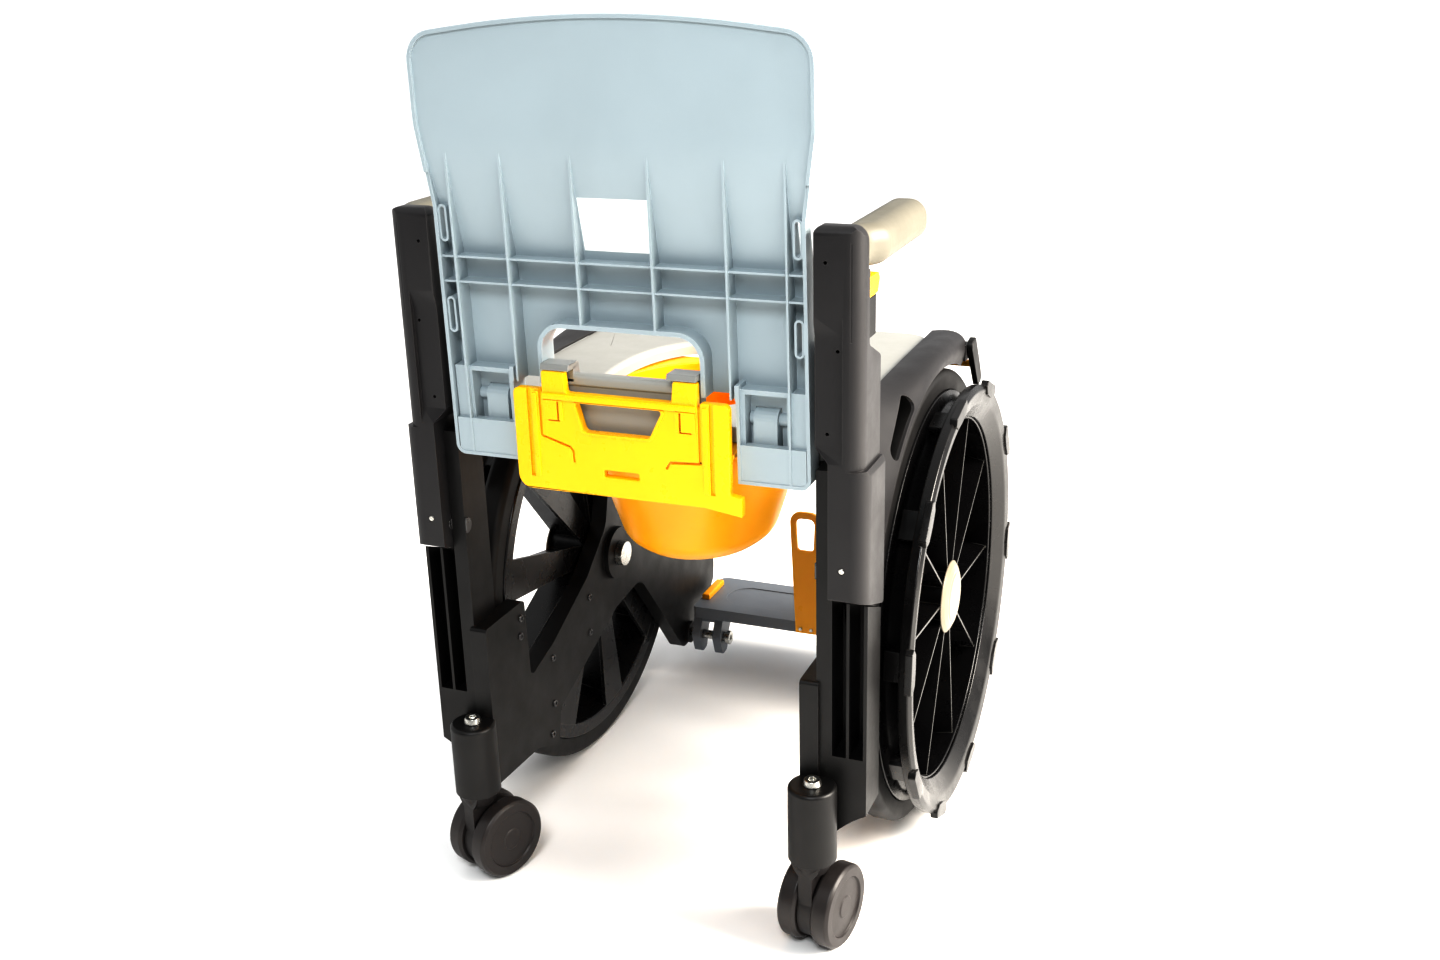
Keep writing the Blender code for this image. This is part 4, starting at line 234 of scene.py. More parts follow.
def bar(start, end, radius, end_radius=None, segments=40):
    """A round bar or cone from one point to another."""
    start = Vector(start)
    run = Vector(end) - start
    shape = bmesh.new()
    bmesh.ops.create_cone(
        shape, cap_ends=True, segments=segments, radius1=radius,
        radius2=radius if end_radius is None else end_radius, depth=run.length)
    turn = run.to_track_quat("Z", "Y").to_matrix().to_4x4()
    shape.transform(Matrix.Translation(start + run / 2) @ turn)
    mesh = bpy.data.meshes.new("bar")
    shape.to_mesh(mesh)
    shape.free()
    return drawn("bar", mesh)


def cross_bar(side, near, far, spot, radius, end_radius=None, segments=40):
    """A bar across the chair between two distances from its middle, at a place in Y and Z."""
    return bar((side * near, *spot), (side * far, *spot), radius, end_radius, segments)


def socket_bar(side, low, high, radius, end_radius=None, segments=40):
    """An upright bar on the axis of a caster's socket."""
    return bar(
        (side * SOCKET_X, SOCKET_Y, low), (side * SOCKET_X, SOCKET_Y, high), radius, end_radius, segments)


def plate(outline, axis, limits, holes=()):
    """A flat outline with any holes, given a thickness along one axis between two limits.

    Its two values are Y and Z for axis X, X and Z for axis Y, and X and Y for axis Z.
    """
    curve = bpy.data.curves.new("plate", "CURVE")
    curve.dimensions = "2D"
    curve.fill_mode = "BOTH"
    curve.extrude = abs(limits[1] - limits[0]) / 2
    for loop in (outline, *holes):
        spline = curve.splines.new("POLY")
        spline.points.add(len(loop) - 1)
        for point, spot in zip(spline.points, loop):
            point.co = (spot[0], spot[1], 0.0, 1.0)
        spline.use_cyclic_u = True
    sketch = drawn("plate", curve)
    bpy.context.view_layer.update()
    graph = bpy.context.evaluated_depsgraph_get()
    mesh = bpy.data.meshes.new_from_object(sketch.evaluated_get(graph))
    bpy.data.objects.remove(sketch, do_unlink=True)
    turns = {
        "X": Matrix(((0, 0, 1, 0), (1, 0, 0, 0), (0, 1, 0, 0), (0, 0, 0, 1))),
        "Y": Matrix(((1, 0, 0, 0), (0, 0, -1, 0), (0, 1, 0, 0), (0, 0, 0, 1))),
        "Z": Matrix.Identity(4),
    }
    middle = (limits[0] + limits[1]) / 2
    shift = {"X": (middle, 0, 0), "Y": (0, middle, 0), "Z": (0, 0, middle)}[axis]
    mesh.transform(Matrix.Translation(shift) @ turns[axis])
    return weld(drawn("plate", mesh))


def arc(centre, radius, start, end, steps):
    """Points along an arc, its angles in degrees from the outline's first axis."""
    turns = [radians(start + (end - start) * step / steps) for step in range(steps + 1)]
    return [(centre[0] + radius * cos(turn), centre[1] + radius * sin(turn)) for turn in turns]


def rounded(corners, steps=8):
    """An outline whose corners, each a place and a radius, are turned into arcs."""
    points = []
    for index, (x, y, radius) in enumerate(corners):
        here = Vector((x, y))
        before = Vector(corners[index - 1][:2]) - here
        after = Vector(corners[(index + 1) % len(corners)][:2]) - here
        if radius <= 0.0:
            points.append((x, y))
            continue
        half = before.angle(after) / 2
        reach = min(radius / tan(half), before.length / 2.01, after.length / 2.01)
        true_radius = reach * tan(half)
        centre = here + (before.normalized() + after.normalized()).normalized() * (true_radius / sin(half))
        start = here + before.normalized() * reach - centre
        finish = here + after.normalized() * reach - centre
        first = atan2(start.y, start.x)
        sweep = (atan2(finish.y, finish.x) - first + pi) % (2 * pi) - pi
        bends = max(1, ceil(steps * abs(sweep) / (pi / 2) - 0.001))
        for bend in range(bends + 1):
            angle = first + sweep * bend / bends
            points.append((centre.x + true_radius * cos(angle), centre.y + true_radius * sin(angle)))
    return points


def soften(item, width, segments, chosen):
    """Round the edges that a test on their two end points chooses."""
    shape = bmesh.new()
    shape.from_mesh(item.data)
    picked = [edge for edge in shape.edges if chosen(*(vert.co for vert in edge.verts))]
    bmesh.ops.bevel(
        shape, geom=picked, offset=width, segments=segments, profile=0.5, affect="EDGES", clamp_overlap=True)
    shape.to_mesh(item.data)
    shape.free()
    return item


def eased(item, width, segments=2, clamp=False):
    """Round every sharp edge of a shape a little."""
    step = item.modifiers.new("ease", "BEVEL")
    step.width = width
    step.segments = segments
    step.limit_method = "ANGLE"
    step.angle_limit = radians(32.0)
    step.use_clamp_overlap = clamp
    return settle(item)


def fit(item, name, material, body, nodes, edge=0.0006, smooth=47.0, clamp=False):
    """Break a piece's sharp edges, finish it, and fit it to its body in place of its solids."""
    if edge:
        eased(item, edge, clamp=clamp)
    item.name = name
    item.data.transform(TO_FRAME)
    item.data.materials.clear()
    item.data.materials.append(material)
    for face in item.data.polygons:
        face.material_index = 0
    item.data.shade_smooth()
    item.data.set_sharp_from_angle(angle=radians(smooth))
    even = item.modifiers.new("even_shading", "WEIGHTED_NORMAL")
    even.keep_sharp = True
    even.weight = 100
    settle(item)
    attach(item, body)
    if nodes:
        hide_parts(*nodes)
    return item


def dress(node, material):
    """Give a solid of the frame that keeps its shape its finish."""
    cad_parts[node].material_slots[0].material = material


def new_tree(name, inputs):
    """An empty geometry tree that takes and gives geometry, with named inputs besides."""
    tree = bpy.data.node_groups.new(name, "GeometryNodeTree")
    tree.interface.new_socket("Geometry", in_out="INPUT", socket_type="NodeSocketGeometry")
    for label, kind in inputs:
        tree.interface.new_socket(label, in_out="INPUT", socket_type=kind)
    tree.interface.new_socket("Geometry", in_out="OUTPUT", socket_type="NodeSocketGeometry")
    return tree


def grow(item, tree, values):
    """Run a geometry tree on an object and keep its result as the object's mesh."""
    step = item.modifiers.new(tree.name, "NODES")
    step.node_group = tree
    for socket in tree.interface.items_tree:
        if socket.in_out == "INPUT" and socket.name in values:
            step[socket.identifier] = values[socket.name]
    return settle(item)


def finish_tree(tree, copies, material):
    """End a tree: its copies are made real, given their finish and put out."""
    real = add_node(tree, "GeometryNodeRealizeInstances", links={"Geometry": copies})
    finished = add_node(tree, "GeometryNodeSetMaterial", links={
        "Geometry": real.outputs["Geometry"], "Material": material})
    add_node(tree, "NodeGroupOutput", links={"Geometry": finished.outputs["Geometry"]})
    return tree


def set_on_points_tree():
    """A tree that sets one fastener on every point of a piece's layout."""
    tree = new_tree("fasteners_on_points", [
        ("Fastener", "NodeSocketObject"), ("Turn", "NodeSocketVector"), ("Finish", "NodeSocketMaterial")])
    given = add_node(tree, "NodeGroupInput").outputs
    fastener = add_node(tree, "GeometryNodeObjectInfo", links={"Object": given["Fastener"]})
    points = add_node(tree, "GeometryNodeMeshToPoints", links={"Mesh": given["Geometry"]})
    turn = add_node(tree, "FunctionNodeEulerToRotation", links={"Euler": given["Turn"]})
    copies = add_node(tree, "GeometryNodeInstanceOnPoints", links={
        "Points": points.outputs["Points"], "Instance": fastener.outputs["Geometry"],
        "Rotation": turn.outputs["Rotation"]})
    return finish_tree(tree, copies.outputs["Instances"], given["Finish"])


FASTENERS = set_on_points_tree()


def socket_screw(radius, height):
    """A cap screw's head about Z, chamfered, with its hexagon socket sunk in the top."""
    head = bar((0, 0, -0.0005), (0, 0, height), radius, segments=28)
    soften(head, SCREW_CHAMFER * radius, 2, lambda a, b: min(a.z, b.z) > height - 0.00001)
    key = bar((0, 0, SCREW_KEY_FLOOR * height), (0, 0, height + 0.001), SCREW_KEY * radius, segments=6)
    return carve(head, key)


def fasteners(name, head, places, turn, material, body):
    """Fasteners of one kind set on a body at a list of places, all facing one way."""
    layout = bpy.data.meshes.new(name)
    layout.from_pydata([Vector(spot) for spot in places], [], [])
    row = drawn(name, layout)
    grow(row, FASTENERS, {"Fastener": head, "Turn": turn, "Finish": material})
    bpy.data.objects.remove(head, do_unlink=True)
    return fit(row, name, material, body, (), edge=0.0)


# Glass-filled nylon, spark-eroded tool: near black, a satin sheen, the glass dulling it in patches.
BLACK_NYLON = moulded_plastic("black_glass_filled_nylon", "#0F0E0E", "#353230", 0.44, 0.0011, 0.00007)
# Black-oxide steel of the small screws: darker than the nylon, with a slight oily gleam.
BLACK_STEEL = moulded_plastic("black_oxide_screw_steel", "#151517", "#5E5E60", 0.28, 0.0008, 0.00003, ior=2.0)


def side_plate_outline():
    """The frame's inner plate: gusset, rising beam with the axle, and the front leg."""
    return rounded([
        (POST_REAR_Y + 0.004, LEDGE_Z, 0.004),
        (-0.086, LEDGE_Z, 0.006),
        (-0.090, 0.192, 0.006),
        (-0.145, 0.209, 0.010),
        (-0.235, 0.252, 0.020),
        (-0.290, 0.296, 0.030),
        (-0.345, FRAME_TOP, 0.012),
        (SEAT_FRONT_Y + 0.006, FRAME_TOP, 0.012),
        (-0.470, 0.405, 0.060),
        (-0.626, 0.118, 0.020),
        (-0.622, 0.092, 0.010),
        (-0.560, FOOT_PIN_Z - 0.014, 0.020),
        (-0.508, FOOT_PIN_Z - 0.016, 0.018),
        (-0.455, 0.100, 0.040),
        (-0.380, 0.190, 0.030),
        (-0.308, 0.182, 0.020),
        (-0.152, 0.122, 0.010),
        (-0.144, 0.080, 0.008),
        (-0.094, SOCKET_BOTTOM - 0.004, 0.010),
        (POST_REAR_Y + 0.004, SOCKET_BOTTOM, 0.0),
    ])


def side_frame(side_name, side):
    """One side frame with its post, channels, caster socket, axle boss and foot boss."""
    body = plate(side_plate_outline(), "X", (side * PLATE_INNER_X, side * PLATE_OUTER_X))
    lap = block(
        (side * POST_INNER_X, side * (POST_INNER_X + POST_INNER_DEPTH)), (POST_FRONT_Y, POST_REAR_Y),
        (SOCKET_BOTTOM + 0.006, FRAME_TOP))
    post_outline = rounded([
        (POST_REAR_Y, CHANNEL_TOP, 0.0),
        (POST_FRONT_Y, CHANNEL_TOP - 0.019, 0.0),
        (POST_FRONT_Y, SOCKET_BOTTOM + 0.004, 0.004),
        (POST_REAR_Y, SOCKET_BOTTOM + 0.010, 0.006),
    ])
    post = plate(post_outline, "X", (side * (POST_INNER_X + 0.006), side * POST_OUTER_X))
    shelf = block(
        (side * (PLATE_INNER_X + 0.002), side * (POST_INNER_X + 0.004)),
        (POST_FRONT_Y, SEAT_REAR_Y + 0.001), (SEAT_BOTTOM - 0.0265, FRAME_TOP))
    socket = socket_bar(side, SOCKET_BOTTOM, SOCKET_TOP, SOCKET_RADIUS, segments=64)
    soften(socket, 0.004, 4, lambda a, b: min(a.z, b.z) > SOCKET_TOP - 0.0001)
    axle_boss = cross_bar(
        side, PLATE_INNER_X - AXLE_BOSS_RISE, PLATE_OUTER_X + 0.001, (AXLE_Y, AXLE_Z), AXLE_BOSS_RADIUS,
        segments=64)
    foot_boss = cross_bar(
        side, PLATE_INNER_X - FOOT_BOSS_RISE, PLATE_OUTER_X, (FOOT_PIN_Y, FOOT_PIN_Z), FOOT_BOSS_RADIUS)
    unite(body, lap, post, shelf, socket, axle_boss, foot_boss)

    low = POST_INNER_X + POST_INNER_DEPTH
    high = POST_OUTER_X - CHANNEL_WALL
    middle = (low + high) / 2
    cuts = []
    for start, end in ((low, middle - CHANNEL_RIB / 2), (middle + CHANNEL_RIB / 2, high)):
        cuts.append(block(
            (side * start, side * end), (POST_FRONT_Y + CHANNEL_WEB, POST_REAR_Y + PAST),
            (CHANNEL_BOTTOM, CHANNEL_TOP + PAST)))
    cuts.append(socket_bar(side, SOCKET_BOTTOM - PAST, SOCKET_TOP + PAST, STEM_BORE))
    cuts.append(cross_bar(side, *BORE_REACH, (AXLE_Y, AXLE_Z), AXLE_RADIUS + BORE_PLAY))
    cuts.append(cross_bar(side, *BORE_REACH, (FOOT_PIN_Y, FOOT_PIN_Z), FOOT_PIN_RADIUS + FIT_GAP))
    foot_sweep = arc(
        (POST_OUTER_X + FOOT_SWEEP_OUT, FOOT_SWEEP_Z), FOOT_SWEEP_RADIUS, *FOOT_SWEEP_TURN, 10)
    foot_sweep += [(POST_OUTER_X + 0.02, 0.080), (POST_OUTER_X + 0.02, 0.152)]
    cuts.append(plate(
        [(side * x, z) for x, z in foot_sweep], "Y", (POST_FRONT_Y - PAST, POST_REAR_Y + 0.0005)))
    carve(body, *cuts)
    return fit(body, "side_frame_moulding_" + side_name, BLACK_NYLON, "chair",
               ["side_frame_" + side_name], clamp=True)


for side_name, side in SIDES:
    side_frame(side_name, side)
    fasteners(
        "frame_screws_" + side_name, socket_screw(FRAME_SCREW_RADIUS, FRAME_SCREW_HEIGHT),
        [(side * (PLATE_INNER_X - FIT_GAP), y, z) for y, z in FRAME_SCREWS], (0.0, -side * pi / 2, 0.0),
        BLACK_STEEL, "chair")


# Steel pins.
# Turned pins pressed or screwed through the frames: the zinc-plated axle with its knob, caster's socket
# bolt and pin that the footplate turns on, and the armrest's black-oxide bolt.


STEM_LENGTH = 0.052
AXLE_KNOB_RADIUS, AXLE_KNOB_LENGTH, AXLE_END_X = 0.015, 0.009, 0.241
PIN_LAP = 0.006
SOCKET_BOLT_FOOT, SOCKET_BOLT_TOP, SOCKET_BOLT_HEIGHT, SOCKET_BOLT_KEY = 0.0095, 0.0080, 0.006, 0.0042
ARM_PIVOT_Y, ARM_PIVOT_Z = -0.010, 0.400
PIVOT_BOLT_HEAD, PIVOT_BOLT_HEIGHT = 0.0082, 0.0014
PIVOT_BOLT_RADIUS, PIVOT_BOLT_END_X, PIVOT_FLAT_X = 0.006, 0.231, 0.15
LOWER_INNER_X = 0.2032
FOOT_PIN_HEAD, FOOT_PIN_KEY = 0.0095, 0.004
FOOT_PIN_HEAD_X, FOOT_PIN_NECK_X, FOOT_PIN_END_X = 0.108, 0.1135, 0.189


def mottled_finish(name, shade, pale, patch, detail, gloss=None):
    """A smooth finish that drifts from one shade to a paler one in patches of a real size.

    Gloss is the roughness of the darker and of the paler places, where it changes with them.
    """
    material = bpy.data.materials.new(name)
    material.use_nodes = True
    tree = material.node_tree
    shader = tree.nodes["Principled BSDF"]
    surface = add_node(tree, "ShaderNodeTexCoord").outputs["Object"]
    mottle = add_node(
        tree, "ShaderNodeTexNoise", values={"Scale": 1 / patch, "Detail": detail}, links={"Vector": surface})
    tone = add_node(
        tree, "ShaderNodeMix", {"data_type": "RGBA"}, {6: linear(shade), 7: linear(pale)},
        {0: mottle.outputs["Fac"]})
    tree.links.new(tone.outputs[2], shader.inputs["Base Color"])
    if gloss:
        sheen = add_node(
            tree, "ShaderNodeMapRange", values={"To Min": gloss[0], "To Max": gloss[1]},
            links={"Value": mottle.outputs["Fac"]})
        tree.links.new(sheen.outputs["Result"], shader.inputs["Roughness"])
    return material


# Zinc-plated turned steel: bright, with the soft streaks of turning under the plating.
ZINC_STEEL = mottled_finish("zinc_plated_steel", "#B4B3AF", "#DEDDD8", 0.004, 3.0, (0.20, 0.36))
ZINC_STEEL.node_tree.nodes["Principled BSDF"].inputs["Metallic"].default_value = 1.0


def axle_pin(side_name, side):
    """The axle, with the knob that holds it against the frame's boss."""
    axle, face = (AXLE_Y, AXLE_Z), PLATE_INNER_X - AXLE_BOSS_RISE
    knob = cross_bar(side, face - FIT_GAP - AXLE_KNOB_LENGTH, face - FIT_GAP, axle, AXLE_KNOB_RADIUS)
    shaft = cross_bar(side, face - PIN_LAP, AXLE_END_X, axle, AXLE_RADIUS)
    fit(unite(knob, shaft), "axle_pin_" + side_name, ZINC_STEEL, "chair",
        ["axle_" + side_name])


def socket_bolt(side_name, side):
    """The bolt in the top of the caster's socket, with its hexagon key."""
    seat_z = SOCKET_TOP + FIT_GAP
    head = socket_bar(side, seat_z, seat_z + SOCKET_BOLT_HEIGHT, SOCKET_BOLT_FOOT, SOCKET_BOLT_TOP)
    shank = socket_bar(side, SOCKET_BOTTOM + STEM_LENGTH + 0.004, seat_z + 0.002, STEM_BORE - FIT_GAP)
    unite(head, shank)
    key = socket_bar(side, seat_z + 0.003, seat_z + PAST, SOCKET_BOLT_KEY, segments=6)
    fit(carve(head, key), "caster_socket_bolt_" + side_name, ZINC_STEEL, "chair",
        ["caster_bolt_" + side_name])


def pivot_bolt(side_name, side):
    """The armrest's bolt: a low head, and a shank that is flattened behind the post."""
    pivot, end = (ARM_PIVOT_Y, ARM_PIVOT_Z), POST_INNER_X - FIT_GAP
    head = cross_bar(side, end - PIVOT_BOLT_HEIGHT, end, pivot, PIVOT_BOLT_HEAD)
    shank = cross_bar(side, end - 0.001, PIVOT_BOLT_END_X, pivot, PIVOT_BOLT_RADIUS)
    flat = block(
        (side * PIVOT_FLAT_X, side * (LOWER_INNER_X - FIT_GAP)), (POST_REAR_Y - FIT_GAP, 2 * PAST),
        (ARM_PIVOT_Z - 2 * PAST, ARM_PIVOT_Z + 2 * PAST))
    fit(carve(unite(head, shank), flat), "armrest_pivot_bolt_" + side_name, BLACK_STEEL, "chair",
        ["armrest_bolt_" + side_name])


def foot_pin(side_name, side):
    """The pin that the footplate turns on, with a key in its inner head."""
    spot = (FOOT_PIN_Y, FOOT_PIN_Z)
    knob = cross_bar(side, FOOT_PIN_HEAD_X, FOOT_PIN_NECK_X, spot, FOOT_PIN_HEAD)
    key = cross_bar(side, FOOT_PIN_HEAD_X - 0.001, FOOT_PIN_HEAD_X + 0.003, spot, FOOT_PIN_KEY, segments=6)
    carve(knob, key)
    shaft = cross_bar(side, FOOT_PIN_HEAD_X + 0.004, FOOT_PIN_END_X, spot, FOOT_PIN_RADIUS)
    fit(unite(knob, shaft), "footplate_bolt_" + side_name, ZINC_STEEL, "chair",
        ["footplate_pin_" + side_name])


for side_name, side in SIDES:
    axle_pin(side_name, side)
    socket_bolt(side_name, side)
    pivot_bolt(side_name, side)
    foot_pin(side_name, side)


# Seat.
# A light grey polypropylene moulding with an oval opening, a skirt that stiffens its edge, and an
# upstand at the rear whose bar carries the two lips that the pan's handle snaps under.

SEAT_HALF_WIDTH, SEAT_CORNER, SEAT_REAR_CORNER = 0.188, 0.028, 0.008
SEAT_ROUND, MOUTH_ROUND = 0.004, 0.006
SKIRT_WIDTH, SKIRT_DEPTH = 0.016, 0.010
OPENING_HALF_WIDTH, OPENING_HALF_LENGTH, OPENING_Y = 0.097, 0.130, -0.205
OPENING_SQUARENESS, OPENING_STEPS = 0.85, 112
BAR_TOP, BAR_HEIGHT, BAR_DEPTH, BAR_REAR_Y = 0.572, 0.012, 0.014, -0.002
TONGUE_HALF_WIDTH, UPSTAND_DEPTH = 0.0793, 0.010
CATCH_WIDTH, CATCH_REACH, CATCH_THICKNESS, CATCH_RISE = 0.0295, 0.0125, 0.006, 0.005

# Polypropylene from a polished tool: pale warm grey, soft sheen, hardly any grain.
LIGHT_GREY_PP = moulded_plastic(
    "light_grey_polypropylene", "#9E9E9A", "#BCBBB7", 0.40, 0.0016, 0.00005, patch=0.2)

# Acetal of the clipped-in catches: mid grey, harder and glossier than the seat.
CATCH_GREY = moulded_plastic("grey_catch_acetal", "#8F908E", "#A9AAA8", 0.34, 0.0012, 0.00004, ior=1.48)


def seat_opening():
    """The oval opening over the pan, a little squarer than an ellipse."""
    points = []
    for step in range(OPENING_STEPS):
        angle = 2 * pi * step / OPENING_STEPS
        reach_x = abs(cos(angle)) ** OPENING_SQUARENESS * (1 if cos(angle) > 0 else -1)
        reach_y = abs(sin(angle)) ** OPENING_SQUARENESS * (1 if sin(angle) > 0 else -1)
        points.append((OPENING_HALF_WIDTH * reach_x, OPENING_Y + OPENING_HALF_LENGTH * reach_y))
    return points


def seat():
    """The seat plate, its skirt, upstand and bar with the two catch lips."""
    half, rear, front = SEAT_HALF_WIDTH, SEAT_REAR_Y, SEAT_FRONT_Y
    tongue = TONGUE_HALF_WIDTH
    upstand_rear = BAR_REAR_Y - 0.002
    outer_edge = [
        (half, rear, SEAT_REAR_CORNER), (half, front, SEAT_CORNER), (-half, front, SEAT_CORNER),
        (-half, rear, SEAT_REAR_CORNER)]
    outline = rounded(outer_edge + [
        (-tongue, rear, 0.0), (-tongue, upstand_rear, 0.0), (tongue, upstand_rear, 0.0), (tongue, rear, 0.0)])
    top = plate(outline, "Z", (SEAT_BOTTOM, SEAT_TOP), holes=[seat_opening()])

    def on_mouth(first, second):
        inside = all(abs(v.x) < 0.6 * half and front + 0.02 < v.y < rear - 0.02 for v in (first, second))
        return min(first.z, second.z) > SEAT_TOP - 0.0001 and inside

    def on_top_edge(first, second):
        outer = not on_mouth(first, second) and max(first.y, second.y) < rear + 0.0001
        return min(first.z, second.z) > SEAT_TOP - 0.0001 and outer

    soften(top, MOUTH_ROUND, 5, on_mouth)
    soften(top, SEAT_ROUND, 4, on_top_edge)
    inner, inner_front = half - SKIRT_WIDTH, front + SKIRT_WIDTH
    skirt_outline = rounded(outer_edge + [
        (-inner, rear, 0.0), (-inner, inner_front, 0.012), (inner, inner_front, 0.012), (inner, rear, 0.0)])
    skirt = plate(skirt_outline, "Z", (SEAT_BOTTOM - SKIRT_DEPTH, SEAT_BOTTOM + 0.004))
    upstand = block(
        (-tongue, tongue), (upstand_rear - UPSTAND_DEPTH, upstand_rear), (SEAT_BOTTOM, BAR_TOP - 0.004))
    rail_outline = rounded([
        (BAR_REAR_Y, BAR_TOP - BAR_HEIGHT, 0.003), (BAR_REAR_Y, BAR_TOP, 0.005),
        (BAR_REAR_Y - BAR_DEPTH, BAR_TOP, 0.005), (BAR_REAR_Y - BAR_DEPTH, BAR_TOP - BAR_HEIGHT, 0.003)])
    rail = plate(rail_outline, "X", (-tongue, tongue))
    lip_low, lip_high = BAR_TOP + CATCH_RISE, BAR_TOP + CATCH_RISE + CATCH_THICKNESS
    lip_outline = rounded([
        (BAR_REAR_Y - BAR_DEPTH, BAR_TOP - 0.008, 0.0),
        (BAR_REAR_Y, BAR_TOP - 0.008, 0.0),
        (BAR_REAR_Y, lip_low, 0.0005),
        (BAR_REAR_Y + CATCH_REACH, lip_low, 0.0012),
        (BAR_REAR_Y + CATCH_REACH - 0.002, lip_high, 0.002),
        (BAR_REAR_Y - BAR_DEPTH + 0.003, lip_high, 0.003)], 4)
    lips = [plate(lip_outline, "X", (side * (tongue - CATCH_WIDTH), side * tongue)) for side in (1.0, -1.0)]
    unite(top, skirt, upstand, rail)
    fit(unite(*lips), "seat_catch_lips", CATCH_GREY, "chair", ())
    return fit(top, "seat_moulding", LIGHT_GREY_PP, "chair", ["seat"],
               edge=0.0005, clamp=True)


seat()

# The pan's rails are plain black mouldings screwed under the seat.
for side_name, side in SIDES:
    dress("pan_rail_" + side_name, BLACK_NYLON)


# Backrest.
# One blue-grey polypropylene shell: a thin skin, stiffened behind by six upright ribs, two cross
# ribs and a rolled bead round its edge. It hangs on two moulded pins and folds down onto the seat.

BACK_BOTTOM, BACK_TOP, BACK_CROWN = 0.481, 0.880, 0.017
BACK_HALF_WIDTH, BACK_TOP_HALF_WIDTH, BACK_SHOULDER = 0.1845, 0.1945, 0.772
BACK_DEPTH, BACK_SKIN, BACK_RECLINE = 0.024, 0.004, 1.8
SLOPE_START, SLOPE_END, BEAD_START = 0.640, 0.792, 0.762
RIB_THICKNESS, RIB_PLACES, CROSS_RIBS = 0.0019, (0.0375, 0.109, 0.165), (0.655, 0.679)
BEAD_WIDTH, BEAD_RISE = 0.0034, 0.0024
CUTOUT_HALF_WIDTH, CUTOUT_TOP, CUTOUT_CORNER, CUTOUT_FLANGE = 0.0804, 0.617, 0.022, 0.0042
PAN_WAY_HALF_WIDTH, PAN_WAY_TOP = 0.1138, 0.5615
PIN_Y, PIN_Z, HINGE_PIN_RADIUS = -0.020, 0.5405, 0.006
RECESS_INNER_X, RECESS_OUTER_X = 0.121, 0.1613
RECESS_TOP, RECESS_BOTTOM, RECESS_COVER_TOP = 0.567, 0.497, 0.519
LUG_SLOT_X, LUG_SLOT_TOP = (0.1257, 0.1513), 0.5515
HOUSING_TOP, HOUSING_REAR, HOUSING_OUTER_X = 0.5715, -0.0045, 0.1795
CHEEK_THICKNESS, CHEEK_RISE, COVER_FRONT, COVER_REAR = 0.004, 0.004, -0.0095, -0.0007
GRIP_SLOT_X, GRIP_SLOT_HEIGHTS, GRIP_SLOT_LENGTH, GRIP_SLOT_WIDTH = 0.175, (0.7106, 0.6225), 0.031, 0.005
GRIP_SLOT_RIM = 0.0021
ALL_WIDTH, ALL_DEPTH, CUT_DEPTH = (-0.3, 0.3), (-0.1, 0.1), (-0.05, 0.02)

# Polypropylene from a finely eroded tool: cool blue-grey, satin, ribs' edges painted a shade paler, partly as
# rubbed wear and partly as a painted highlight.
BLUE_GREY_PP = moulded_plastic(
    "blue_grey_polypropylene", "#A3AEB3", "#C6CFD3", 0.40, 0.0013, 0.00006, patch=0.16)


def back_outline(margin=0.0):
    """The backrest's outline from behind, wide at the shoulders under a crowned top."""
    low, half = BACK_BOTTOM + margin, BACK_HALF_WIDTH - margin
    wide, top = BACK_TOP_HALF_WIDTH - margin, BACK_TOP - margin
    corner, low_corner = max(0.028 - margin, 0.002), max(0.010 - margin, 0.0)
    crown = []
    for step in range(1, 16):
        x = wide - 0.034 - (2 * wide - 0.068) * step / 16
        crown.append((x, top + BACK_CROWN * (1 - (x / wide) ** 2), 0.0))
    return rounded([
        (half, low, low_corner),
        (half - 0.0015, BACK_SHOULDER - 0.045, 0.020),
        (wide - 0.001, BACK_SHOULDER + 0.030, 0.040),
        (wide - 0.0015, top + 0.0015, corner),
        *crown,
        (-wide + 0.0015, top + 0.0015, corner),
        (-wide + 0.001, BACK_SHOULDER + 0.030, 0.040),
        (-half + 0.0015, BACK_SHOULDER - 0.045, 0.020),
        (-half, low, low_corner)])


def skin_rear(height):
    """Where the skin's rear face stands at a height, before the backrest leans."""
    rise = min(1.0, max(0.0, (height - SLOPE_START) / (SLOPE_END - SLOPE_START)))
    rise = rise * rise * (3 - 2 * rise)
    return -BACK_DEPTH + BACK_SKIN + (BACK_DEPTH - BACK_SKIN) * rise


def skin(rear_end=None):
    """The skin, deep behind the ribs below and level with them above, or all from its front on."""
    heights = [BACK_BOTTOM - 0.01]
    heights += [SLOPE_START + (SLOPE_END - SLOPE_START) * step / 40 for step in range(41)]
    heights.append(BACK_TOP + 0.05)
    rear_line = [(skin_rear(height), height) for height in heights]
    front_line = [(y - BACK_SKIN, height) for y, height in reversed(rear_line)]
    if rear_end is not None:
        rear_line = [(rear_end, heights[0]), (rear_end, heights[-1])]
        front_line = [(y + 0.0002, height) for y, height in front_line]
    return plate(rear_line + front_line, "X", ALL_WIDTH)


def stadium(centre, length, width, steps=12):
    """A slot's outline with round ends, long along the outline's second axis."""
    radius = width / 2
    reach = length / 2 - radius
    top = arc((centre[0], centre[1] + reach), radius, 0, 180, steps)
    return top + arc((centre[0], centre[1] - reach), radius, 180, 360, steps)


